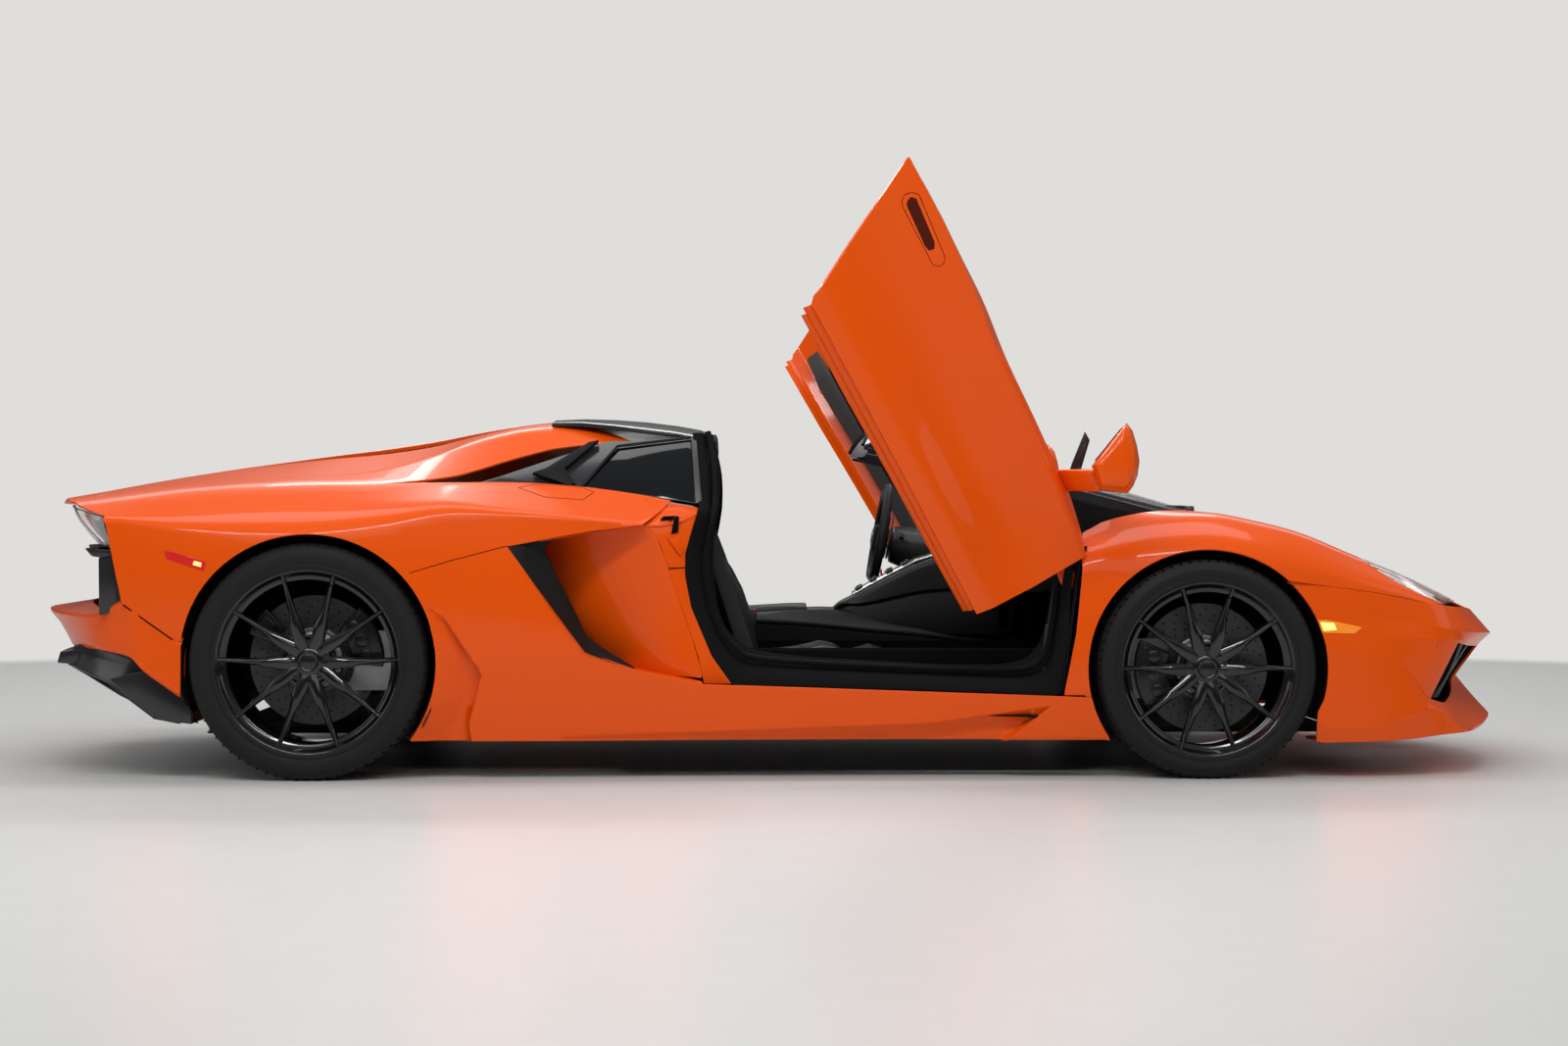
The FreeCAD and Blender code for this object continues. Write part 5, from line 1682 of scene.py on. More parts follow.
    def _cover(self, skin: Skin) -> None:
        """Engine cover, with an opening down its middle for the slats.

        Args:
            skin: the surface the panel is cut from.
        """
        edge = [(-0.66, k) for k in np.linspace(0.0, 0.99, 16)]
        edge += thicken_line([(-0.66, 0.99), (-2.03, 0.99)], 0.03, False)[1:]
        edge += [(-2.03, k) for k in np.linspace(0.99, 0.0, 16)]
        window = skin.on_top(thicken_line([(-0.76, 0.10), (-0.80, 0.30), (-1.30, 0.27), (-1.82, 0.20),
                                           (-1.86, 0.10)], 0.03), 0, 1)
        made = panel("engine_cover_panel", Sheet(skin, edge, [window]), 1, thickness=.012, whole=True)
        settle(made, PAINT, body="engine_lid", slot="paint", nodes=("engine_cover",))

    def _bonnet(self, skin: Skin) -> None:
        """Bonnet with its two ribs.

        Args:
            skin: the surface the panel is cut from.
        """
        edge = [(1.490, k) for k in np.linspace(0.0, 1.985, 20)]
        edge += thicken_line([(1.490, 1.985), (2.10, 1.985)], 0.03, False)[1:]
        edge += skin.on_top(thicken_line([(2.125, 0.40), (2.148, 0.20), (2.152, 0.0)], 0.03, False), 0, 2.1)
        made = panel("bonnet_panel", Sheet(skin, edge), 1, whole=True)
        settle(made, PAINT, body="bonnet_lid", slot="paint", nodes=("bonnet",))


# ------------------------------------------------------------------ ends
def to_centre(rows: list[tuple[float, ...]]) -> Line:
    """Carries the last two stations of a line over the centreline.

    Args:
        rows: its stations, the last one on the centreline.

    Returns:
        The line.
    """
    return Line(rows + [(2 - u, x, -out, z, soft) for u, x, out, z, soft in rows[-2:-4:-1]])


def stations(places: tuple[float, ...], rows: list[Point3], soft: float) -> Line:
    """Makes a feature line from one (x, out, height) for each place.

    Args:
        places: u of each station.
        rows: where each station is.
        soft: softness of the line.

    Returns:
        The line.
    """
    return to_centre([(u, *row, soft) for u, row in zip(places, rows)])


NOSE_AT = (0.0, 0.2, 0.36, 0.5, 0.56, 0.62, 0.74, 0.85, 0.94, 1.0)
NOSE = [stations(NOSE_AT, [(1.590, .955, .597), (1.82, .940, .564), (1.965, .897, .541), (2.10, .842, .517),
                           (2.15, .785, .511), (2.19, .70, .508), (2.262, .48, .500), (2.33, .28, .487),
                           (2.36, .12, .480), (2.365, 0, .478)], 0),
        stations(NOSE_AT, [(1.62, .965, .528), (1.835, .948, .489), (1.99, .907, .464), (2.115, .862, .446),
                           (2.172, .805, .438), (2.23, .72, .431), (2.335, .48, .421), (2.395, .28, .412),
                           (2.425, .12, .409), (2.433, 0, .408)], .04),
        stations(NOSE_AT, [(1.66, .971, .44), (1.85, .957, .425), (2.0, .917, .418), (2.135, .850, .414),
                           (2.168, .80, .408), (2.195, .74, .401), (2.268, .54, .388), (2.348, .31, .377),
                           (2.398, .12, .373), (2.405, 0, .372)], .05),
        stations(NOSE_AT, [(1.69, .974, .405), (1.86, .965, .372), (1.972, .925, .312), (2.045, .866, .236),
                           (2.088, .81, .230), (2.118, .74, .236), (2.190, .54, .250), (2.266, .30, .262),
                           (2.322, .12, .268), (2.332, 0, .268)], .04),
        stations(NOSE_AT, [(1.69, .968, .15), (1.86, .966, .16), (1.985, .932, .192), (2.09, .866, .190),
                           (2.156, .834, .137), (2.19, .77, .134), (2.29, .58, .142), (2.375, .33, .154),
                           (2.408, .12, .160), (2.412, 0, .160)], .03),
        stations(NOSE_AT, [(1.68, .955, .107), (1.86, .957, .111), (1.99, .922, .117), (2.095, .866, .125),
                           (2.155, .830, .128), (2.195, .765, .127), (2.285, .57, .130), (2.365, .33, .135),
                           (2.398, .12, .138), (2.402, 0, .138)], .03),
        stations(NOSE_AT, [(1.66, .80, .108), (1.80, .78, .110), (1.92, .74, .112), (2.0, .70, .115),
                           (2.05, .65, .116), (2.08, .60, .117), (2.15, .45, .118), (2.20, .27, .12),
                           (2.24, .1, .12), (2.25, 0, .12)], .1),]
TAIL_AT = (0.0, 0.15, 0.3, 0.42, 0.6, 0.8, 1.0)
TAIL = [stations(TAIL_AT, [(-1.728, .962, .420), (-1.822, .955, .486), (-1.897, .935, .537),
                           (-1.975, .85, .506), (-2.08, .60, .515), (-2.13, .30, .520), (-2.14, 0, .520)],
                 0), stations(TAIL_AT, [(-1.729, .973, .406), (-1.826, .964, .473), (-1.905, .946, .525),
                                        (-1.995, .870, .492), (-2.160, .60, .489), (-2.270, .30, .488),
                                        (-2.345, 0, .488)], .03),
        stations(TAIL_AT, [(-1.730, .975, .258), (-1.835, .962, .330), (-1.890, .940, .376),
                           (-1.988, .872, .394), (-2.125, .60, .391), (-2.203, .30, .388),
                           (-2.235, 0, .387)], .05),
        stations(TAIL_AT, [(-1.735, .90, .250), (-1.83, .885, .322), (-1.88, .86, .366), (-1.96, .80, .382),
                           (-2.06, .58, .378), (-2.12, .30, .375), (-2.14, 0, .375)], .04),
        stations(TAIL_AT, [(-1.740, .86, .40), (-1.82, .84, .42), (-1.88, .82, .45), (-1.92, .76, .46),
                           (-1.96, .56, .46), (-2.00, .30, .46), (-2.01, 0, .46)], .1),]


@dataclass
class NoseEnd:
    """Front bumper, its openings, struts and slats."""

    def build(self) -> None:
        """Builds the nose."""
        skin = Skin(NOSE)
        self._bumper(skin)
        self._top()
        for side, sign in SIDES.items():
            self._intake(skin, side, sign)

    def _bumper(self, skin: Skin) -> None:
        """Painted bumper with its two intakes.

        Args:
            skin: the surface the panel is cut from.
        """
        edge = [(u, 0.0) for u in np.linspace(0, 1.0, 50)]
        edge += [(1.0, k) for k in np.linspace(0, 6.0, 60)][1:]
        edge += [(u, 6.0) for u in np.linspace(1.0, 0.03, 40)][1:]
        edge += [(0.03, 5.5)]
        arch = [(1.6795, 0.112), (1.6815, 0.20)] + [p for p in arc((HALF_BASE, 0.330), 0.362, -22, 45, 18)
                                                    if p[1] > 0.23]
        edge += skin.locate(arch, 0, 5.2)
        hole = self._opening(0.0)
        made = panel("nose_bumper", Sheet(skin, edge, [hole], step=.03, scale_u=1.35), 1, thickness=.008,
                     whole=True)
        settle(made, PAINT, slot="paint", nodes=("front_bumper",))

    @staticmethod
    def _opening(grow: float) -> list[Point2]:
        """Outline of an intake as (u, k), grown or shrunk all round.

        Args:
            grow: how far it is grown.

        Returns:
            The outline.
        """
        outline = [(.512 - grow / 6, 2.05 - grow), (.90 + grow / 6, 2.05 - grow), (.885 + grow / 6, 2.55),
                   (.81, 2.99 + grow), (.72, 3.10 + grow), (.60, 3.16 + grow),
                   (.503 - grow / 6, 3.04 + grow)]
        return thicken_line(outline, .025)

    def _top(self) -> None:
        """Painted strip between bonnet and bumper."""
        skin = Skin(BODY_FRONT)
        edge = skin.on_top(thicken_line([(2.160, 0.0), (2.156, 0.20), (2.133, 0.40)], .03, False), 0, 2.1)
        edge += thicken_line([(2.108, 1.99), (2.135, 2.03), (2.185, 2.02)], .02, False)
        edge += skin.on_top(thicken_line([(2.205, .655), (2.262, .48), (2.33, .28), (2.36, .12),
                                          (2.365, 0)], .03, False), 0, 2.4)
        made = panel("nose_top", Sheet(skin, edge), 1, whole=True)
        settle(made, PAINT, slot="paint")

    def _intake(self, skin: Skin, side: str, sign: int) -> None:
        """Black lining, forked strut and slats of one intake.

        Args:
            skin: the surface the panel is cut from.
            side: right or left.
            sign: -1 for the right of the car, 1 for the left.
        """
        lining = panel("intake_lining_" + side, Sheet(skin, self._opening(.06), step=.03, scale_u=1.35),
                       sign, thickness=.012, edge=.001, lift=-.085)
        settle(lining, SHADOW)
        throat = []
        for depth in (-.006, -.09):
            flat = np.array(self._opening(.015))
            throat.append(skin.at(flat[:, 0], flat[:, 1]) + skin.normal(flat[:, 0], flat[:, 1]) * depth)
        wall = [np.concatenate([ring, ring[:1]]) for ring in throat]
        made = place(quilt("intake_wall_" + side, wall, -.003), sign=sign)
        settle(made, GLOSS_BLACK, slot="gloss_black")
        for n, (outline, deep) in enumerate((([(.560, 2.02), (.618, 2.02), (.604, 2.42), (.610, 2.60),
                                               (.570, 2.98), (.522, 2.98), (.572, 2.56), (.574, 2.40)],
                                              .035), ([(.690, 2.02), (.720, 2.02), (.640, 2.52),
                                                       (.606, 2.62), (.604, 2.44), (.630, 2.34)], .030))):
            strut = panel(f"intake_strut_{n}_{side}",
                          Sheet(skin, thicken_line(outline, .02), step=.012, scale_u=1.35), sign,
                          thickness=deep, edge=.002, lift=-.008)
            settle(strut, GREY_TRIM, slot="gloss_black")
        slat_u = np.linspace(.52, .87, 24)
        rows = []
        for k in (2.22, 2.42, 2.62, 2.80):
            spot = skin.at(slat_u, np.full(24, k)) + skin.normal(slat_u, np.full(24, k)) * -.052
            rows.append(sweep("slat", [tuple(p) for p in spot],
                              [(-.012, -.002), (.010, -.0012), (.012, 0), (.010, .0012), (-.012, .002)]))
        slats = place(join("intake_slats_" + side, rows), sign=sign)
        settle(slats, GRILLE)
        mesh = []
        down = np.linspace(2.05, 2.95, 6)
        for u in np.linspace(.53, .86, 30):
            line = skin.at(np.full(6, u), down) + skin.normal(np.full(6, u), down) * -.066
            mesh.append(sweep("bar", [tuple(p) for p in line], circle(.0016, 5), up=(1, 0, 0)))
        settle(place(join("intake_mesh_" + side, mesh), sign=sign), GRILLE)
        (u, k), = skin.locate([(2.070, .400)], 1.5, 4)
        dot = [(u + a / 1.35, k + b / .13) for a, b in circle(.0105, 20)]
        settle(panel("nose_sensor_" + side, Sheet(skin, dot, step=.006, scale_u=1.35), sign, thickness=.004,
                     edge=.0006, lift=.0012), PAINT)
        groove("nose_sensor_ring_" + side, skin, dot + dot[:1], sign, width=.0016)
        marker = skin.locate(thicken_line([(1.682, .4765), (1.705, .477), (1.815, .4555), (1.791, .438),
                                           (1.693, .4405)], .012), .8, 3)
        settle(panel("side_marker_" + side, Sheet(skin, marker, step=.008, scale_u=1.35), sign,
                     thickness=.006, edge=.0012, lift=.0022), AMBER)
        lit = skin.locate(thicken_line([(1.688, .470), (1.728, .468), (1.735, .449), (1.698, .446)], .01),
                          .8, 3)
        settle(panel("side_marker_lit_" + side, Sheet(skin, lit, step=.006, scale_u=1.35), sign,
                     thickness=.003, edge=.0005, lift=.0032), AMBER_LIT)


@dataclass
class HeadLamps:
    """Headlights under clear lenses."""

    def build(self) -> None:
        """Builds both."""
        skin = Skin(BODY_FRONT)
        low_edge = [(1.842, 2.55), (1.852, 3.0), (1.887, 3.30), (1.955, 3.60), (2.025, 3.80), (2.096, 3.90)]
        top_edge = [(2.150, 3.30), (2.185, 2.40), (2.180, 2.05), (2.10, 2.03), (1.868, 2.03)]
        edge = thicken_line(low_edge + top_edge, .02)
        for side, sign in SIDES.items():
            nodes = ("headlights",) if sign < 0 else ()
            lens = panel("headlamp_lens_" + side, Sheet(skin, edge, step=.016), sign, thickness=.003,
                         edge=.001, lift=.0004)
            settle(lens, LENS, slot="lamp", nodes=nodes)
            inner = thicken_line([(x * .985 + .030, k * .97 + .085) for x, k in low_edge + top_edge], .02)
            bowl = panel("headlamp_bowl_" + side, Sheet(skin, inner, step=.016), sign, thickness=.004,
                         edge=.001, lift=-.058)
            settle(bowl, GLOSS_BLACK)
            for n, line in enumerate(([(1.90, 2.62), (1.98, 3.02), (2.05, 3.30), (2.115, 3.52)],
                                      [(1.90, 2.62), (1.985, 2.50), (2.07, 2.42), (2.14, 2.40)],
                                      [(1.975, 2.72), (2.04, 2.92), (2.095, 3.06)])):
                flat = np.array(curve_through([(*p, 0) for p in line], 6))
                spot = skin.at(flat[:, 0], flat[:, 1]) + skin.normal(flat[:, 0], flat[:, 1]) * -.018
                bar = sweep(f"headlamp_line_{n}_{side}", [tuple(p) for p in spot],
                            [(-.006, -.008), (.006, -.008), (.0045, .004), (-.0045, .004)], bevel=.001)
                settle(place(bar, sign=sign), LED_WHITE)
            for n, (x, k) in enumerate(((1.955, 2.78), (2.030, 2.72), (2.095, 2.86))):
                spot = skin.at(np.array([x]), np.array([k]))[0] + np.array([0, 0, -.052])
                pod = lathe("pod", [(.0003, .0), (.016, .0), (.020, .010), (.022, .020), (.020, .021),
                                    (.016, .012), (.0003, .006)], 32)
                place(pod, tuple(spot), turn=Matrix.Rotation(math.radians(-62), 3, "Z")
                      @ Matrix.Rotation(math.radians(28), 3, "X"))
                pod.name = f"headlamp_reflector_{n}_{side}"
                settle(place(pod, sign=sign), REFLECTOR)
                bulb = lathe("bulb", [(.0003, .005), (.011, .005), (.010, .010), (.007, .013),
                                      (.0003, .014)], 24)
                place(bulb, tuple(spot), turn=Matrix.Rotation(math.radians(-62), 3, "Z")
                      @ Matrix.Rotation(math.radians(28), 3, "X"))
                bulb.name = f"headlamp_bulb_{n}_{side}"
                settle(place(bulb, sign=sign), LED_WHITE)


@dataclass
class TailEnd:
    """Rear bumper, lamps, black fascia, diffuser and exhaust."""

    def build(self) -> None:
        """Builds the tail."""
        skin = Skin(TAIL)
        edge = [(u, 0.0) for u in np.linspace(0, 1.0, 40)] + [(1.0, k) for k in np.linspace(0, 4.0, 40)][1:]
        edge += [(u, 4.0) for u in np.linspace(1.0, 0.0,
                                               40)][1:] + [(0.0, k)
                                                           for k in np.linspace(4.0, 0.0, 40)][1:-1]
        bumper = panel("tail_bumper", Sheet(skin, edge, step=.03, scale_u=1.35), 1, thickness=.008,
                       whole=True)
        settle(bumper, PAINT, slot="paint", nodes=("rear_bumper",))
        wing = Skin(BODY_REAR)
        for side, sign in SIDES.items():
            groove("bumper_seam_" + side, wing,
                   wing.on_side(thicken_line([(-1.903, .526), (-1.752, .422)], .02, False), 2.8, 6), sign,
                   width=.0045)
        (u, k), = skin.locate([(-2.075, .462)], 1, 2.5)
        for side, sign in SIDES.items():
            dot = [(u + a / 1.35, k + b / .13) for a, b in circle(.0105, 20)]
            settle(panel("tail_sensor_" + side, Sheet(skin, dot, step=.006, scale_u=1.35), sign,
                         thickness=.004, edge=.0006, lift=.0012), PAINT)
            groove("tail_sensor_ring_" + side, skin, dot + dot[:1], sign, width=.0016)
        self._fascia()
        self._lamps()
        self._diffuser()
        self._pipes()

    def _fascia(self) -> None:
        """Black recess under the deck with its mesh, fins and plate recess."""
        plan = [(-1.930, .925), (-1.965, .86), (-2.00, .72), (-2.03, .50), (-2.05, .25), (-2.055, 0)]
        whole = plan + [(x, -y) for x, y in plan[-2::-1]]
        grid = [[(x - .006 * n, y, z - max(0, abs(y) - .70) * .05 * n) for x, y in whole]
                for n, z in enumerate((.525, .60, .68, .76, .822))]
        back = quilt("tail_fascia_back", grid, .010, way=(1, 0, 0))
        settle(back, GLOSS_BLACK, slot="gloss_black", nodes=("tail_fascia",))
        bars = []
        for z in np.arange(.548, .690, .012):
            path = [(x - .022, y * .97, z) for x, y in whole]
            bars.append(sweep("bar", path, circle(.0017, 5)))
        for a, b in zip(whole, whole[1:]):
            for t in np.linspace(0, 1, 13)[:-1]:
                x, y = a[0] + (b[0] - a[0]) * t - .020, (a[1] + (b[1] - a[1]) * t) * .97
                bars.append(sweep("bar", [(x, y, .540), (x, y, .695)], circle(.0015, 5), up=(1, 0, 0)))
        settle(join("tail_mesh", bars), GRILLE)
        frame_pieces = []
        for sign in (-1, 1):
            face = [(-1.985, .664), (-1.930, .700), (-1.885, .520), (-1.983, .492)]
            fin = loft("fin", [[(x - lag, sign * y, z) for x, z in face]
                               for y, lag in ((.924, 0), (.862, .012))], bevel=.003)
            frame_pieces.append(fin)
            wedge = [(-1.945, .690), (-2.022, .693), (-2.002, .670), (-1.975, .666), (-1.945, .672)]
            sill = loft("sill", [[(x - lag, sign * y, z) for x, z in wedge]
                                 for y, lag in ((.930, 0), (.84, .025), (.60, .078), (.56, .082))],
                        bevel=.003)
            frame_pieces.append(sill)
            for y in (.34, .58):
                rib = prism("rib", [(-2.03, .535), (-2.062 + y * .03, .54), (-2.095 + y * .05, .70),
                                    (-2.04, .70)], sign * y - .005, sign * y + .005, bevel=.002)
                frame_pieces.append(rib)
        shelf = [(x - .035, y * .975, .700) for x, y in whole]
        frame_pieces.append(sweep("ledge", shelf, [(-.02, -.005), (.03, -.005), (.03, .004), (-.02, .006)],
                                  bevel=.001))
        settle(join("tail_frame", frame_pieces), GLOSS_BLACK)
        plate = prism("plate_recess", [(-.26, .548), (.26, .548), (.245, .672), (-.245, .672)], -2.088,
                      -2.072, axis="x", bevel=.003)
        settle(plate, SATIN_BLACK)

    def _lamps(self) -> None:
        """Tail lamps: clear lens over red forked lines."""
        top = [(-1.968, .936, .789), (-2.02, .925, .803), (-2.060, .900, .815), (-2.092, .79, .818),
               (-2.122, .68, .822), (-2.148, .555, .826)]
        low = [(-1.941, .945, .703), (-1.965, .940, .702), (-1.985, .915, .701), (-2.005, .80, .701),
               (-2.035, .68, .702), (-2.055, .56, .704)]
        rows = [[(p[0] + (q[0] - p[0]) * t**1.5, p[1] + (q[1] - p[1]) * t, p[2] + (q[2] - p[2]) * t)
                 for p, q in zip(top, low)] for t in np.linspace(0, 1, 7)]
        for side, sign in SIDES.items():
            lens = quilt("tail_lens_" + side, rows, .0035, way=(1, 0, 0), smooth=1)
            settle(place(lens, sign=sign), LENS, slot="lamp", nodes=("tail_lights",) if sign < 0 else ())
            depths = (.010, .016, .034, .045, .045, .045)
            bowl = quilt("tail_bowl_" + side, [[(x + d, y * .978, z - .010)
                                                for (x, y, z), d in zip(row, depths)] for row in rows],
                         .004, way=(1, 0, 0))
            settle(place(bowl, sign=sign), FROSTED)
            rim = [rows[0][i]
                   for i in range(6)] + [row[5] for row in rows[1:]] + [rows[-1][i]
                                                                        for i in range(4, -1, -1)]
            rim += [row[0] for row in rows[-2:0:-1]]
            made = sweep("tail_lens_rim_" + side, [(x + .002, y, z) for x, y, z in rim], circle(.0026, 6),
                         closed=True, up=(1, 0, 0))
            settle(place(made, sign=sign), GLOSS_BLACK)
            bars = []
            for low_u, high_u in ((.30, .48), (.54, .72), (.78, .96)):
                for ends in (((low_u, .18), ((low_u + high_u) / 2, .50)),
                             ((high_u, .18), ((low_u + high_u) / 2, .50)),
                             (((low_u + high_u) / 2, .50), ((low_u + high_u) / 2 - .03, .88))):
                    path = []
                    for t in np.linspace(0, 1, 5):
                        u, v = (ends[0][i] + (ends[1][i] - ends[0][i]) * t for i in (0, 1))
                        a = min(int(u * 3), 2) + 2
                        part = u * 3 - a + 2
                        p = [top[a][i] + (top[a + 1][i] - top[a][i]) * part for i in range(3)]
                        q = [low[a][i] + (low[a + 1][i] - low[a][i]) * part for i in range(3)]
                        path.append((p[0] + (q[0] - p[0]) * v**1.5 + .034, p[1] + (q[1] - p[1]) * v,
                                     p[2] + (q[2] - p[2]) * v))
                    bars.append(sweep("line", path, [(-.005, -.005), (.005, -.005), (.005, .005),
                                                     (-.005, .005)], bevel=.001))
            settle(place(join("tail_lines_" + side, bars), sign=sign), LED_RED)
            marker = Skin(BODY_REAR)
            edge = marker.on_side(thicken_line([(-1.774, .686), (-1.751, .684), (-1.649, .654),
                                                (-1.655, .627), (-1.769, .664)], .012), 2.8, 4.6)
            settle(panel("rear_marker_" + side, Sheet(marker, edge, step=.008), sign, thickness=.006,
                         edge=.0012, lift=.0022), LED_RED)
            lit = marker.on_side(thicken_line([(-1.684, .657), (-1.662, .651), (-1.664, .639),
                                               (-1.688, .646)], .01), 2.8, 4.6)
            settle(panel("rear_marker_lit_" + side, Sheet(marker, lit, step=.006), sign, thickness=.003,
                         edge=.0005, lift=.0032), RED_LIT)

    def _diffuser(self) -> None:
        """Black diffuser with side plates and fins."""
        outline = [(-1.760, .252), (-1.768, .178), (-1.786, .150), (-1.866, .166), (-2.010, .275),
                   (-2.125, .339), (-2.110, .394), (-2.035, .390), (-1.95, .345), (-1.857, .298)]
        parts = [prism("plate", outline, .690, .712, bevel=.004, segments=3),
                 prism("plate", outline, -.712, -.690, bevel=.004, segments=3)]
        for y in (.12, .26, .40, .545):
            fin = [(-1.76, .140), (-1.88, .160), (-2.02, .262), (-2.115, .322), (-2.11, .350),
                   (-2.03, .350), (-1.85, .27)]
            parts += [prism("fin", fin, s * y - .004, s * y + .004, bevel=.002) for s in (-1, 1)]
        grid = [[(x, y, z) for y in np.linspace(-.71, .71, 15)]
                for x, z in ((-1.745, .152), (-1.85, .178), (-1.97, .238), (-2.07, .300), (-2.13, .335))]
        parts.append(quilt("ramp", grid, .010, bevel=.002, way=(0, 0, 1)))
        parts.append(loft("beam", [[(-2.02 - .10 * (1 - (y / .72)**2), y, .395),
                                    (-2.15 - .06 * (1 - (y / .72)**2), y, .375),
                                    (-2.16 - .06 * (1 - (y / .72)**2), y, .340),
                                    (-2.05 - .08 * (1 - (y / .72)**2), y, .330)]
                                   for y in np.linspace(-.72, .72, 17)], bevel=.004))
        for sign in (-1, 1):
            face = [(-1.953, .302), (-1.838, .330), (-1.730, .268), (-1.706, .202), (-1.703, .166),
                    (-1.793, .177), (-1.822, .193), (-1.890, .246)]
            parts.append(prism("side_plate", face, sign * .925 - .008, sign * .925 + .008, bevel=.004,
                               segments=3))
            above = [(-1.835, .905, .330), (-1.888, .880, .372), (-1.985, .82, .388), (-2.095, .72, .396)]
            below = [(-1.92, .905, .268), (-1.957, .885, .285), (-2.035, .81, .306), (-2.118, .715, .332)]
            grid = [[(a[0] + (b[0] - a[0]) * t, sign * (a[1] + (b[1] - a[1]) * t - .012
                                                        * math.sin(math.pi * t)), a[2] + (b[2] - a[2]) * t)
                     for t in (0, .35, .7, 1)] for a, b in zip(above, below)]
            parts.append(quilt("strake", grid, .010, bevel=.002, way=(0, -sign, 0)))
            end = [[above[3], below[3]], [(-2.12, .62, .395), (-2.142, .62, .335)],
                   [(-2.135, .40, .394), (-2.155, .40, .336)]]
            parts.append(quilt("strake_end", [[(x, sign * y, z) for x, y, z in row] for row in end], .008,
                               bevel=.002, way=(1, 0, 0)))
            under = [[(x, sign * y, z) for x, y, z in below],
                     [(x + .03, sign * (y - .12), z - .02) for x, y, z in below]]
            parts.append(quilt("strake_floor", under, .006, bevel=.002, way=(0, 0, 1)))
        settle(join("tail_diffuser", parts), GLOSS_BLACK, slot="gloss_black", nodes=("rear_diffuser",))

    def _pipes(self) -> None:
        """Central exhaust outlet with four pipes, and its silencer."""
        ring = [(-.165, .345), (.165, .345), (.205, .385), (.165, .452), (-.165, .452), (-.205, .385)]
        inner = [(y * .93, .397 + (z - .397) * .88) for y, z in ring]
        shroud = loft("exhaust_shroud", [[(-2.10, y, z) for y, z in ring],
                                         [(-2.212, y, z) for y, z in ring],
                                         [(-2.217, y, z) for y, z in inner],
                                         [(-2.12, y, z) for y, z in inner]], ends=True, bevel=.002)
        settle(shroud, TITANIUM, slot="exhaust", nodes=("exhaust",))
        tubes = []
        for y in (-.115, -.042, .042, .115):
            tube = lathe("tube", [(.027, 0), (.030, 0), (.031, .09), (.029, .094), (.027, .09)], 32)
            tubes.append(place(tube, (-2.112, y, .397), turn=Matrix.Rotation(math.pi / 2, 3, "Z")))
        settle(join("exhaust_tubes", tubes), TITANIUM)
        can = loft("exhaust_silencer", [[(-1.62 - .30 * t, .30 * math.cos(a)
                                          * (1 - .12 * abs(2 * t - 1)**4),
                                          .42 + .075 * math.sin(a) * (1 - .3 * abs(2 * t - 1)**4))
                                         for a in np.linspace(0, 2 * math.pi, 28, endpoint=False)]
                                        for t in np.linspace(0, 1, 9)], bevel=.003)
        settle(can, TITANIUM)


# ------------------------------------------------------------------ doors
def door_turn(side: str) -> Matrix:
    """Turn that takes a shut door to its raised rest.

    Args:
        side: right or left.

    Returns:
        The turn, in the frame.
    """
    joint = next(j for j in frame["joints"] if j["name"] == f"door_{side}_swing")
    pivot = Vector(joint["pos_m"])
    return (Matrix.Translation(pivot) @ Matrix.Rotation(math.radians(DOOR_RAISED), 4, Vector(joint["axis"]))
            @ Matrix.Translation(-pivot))


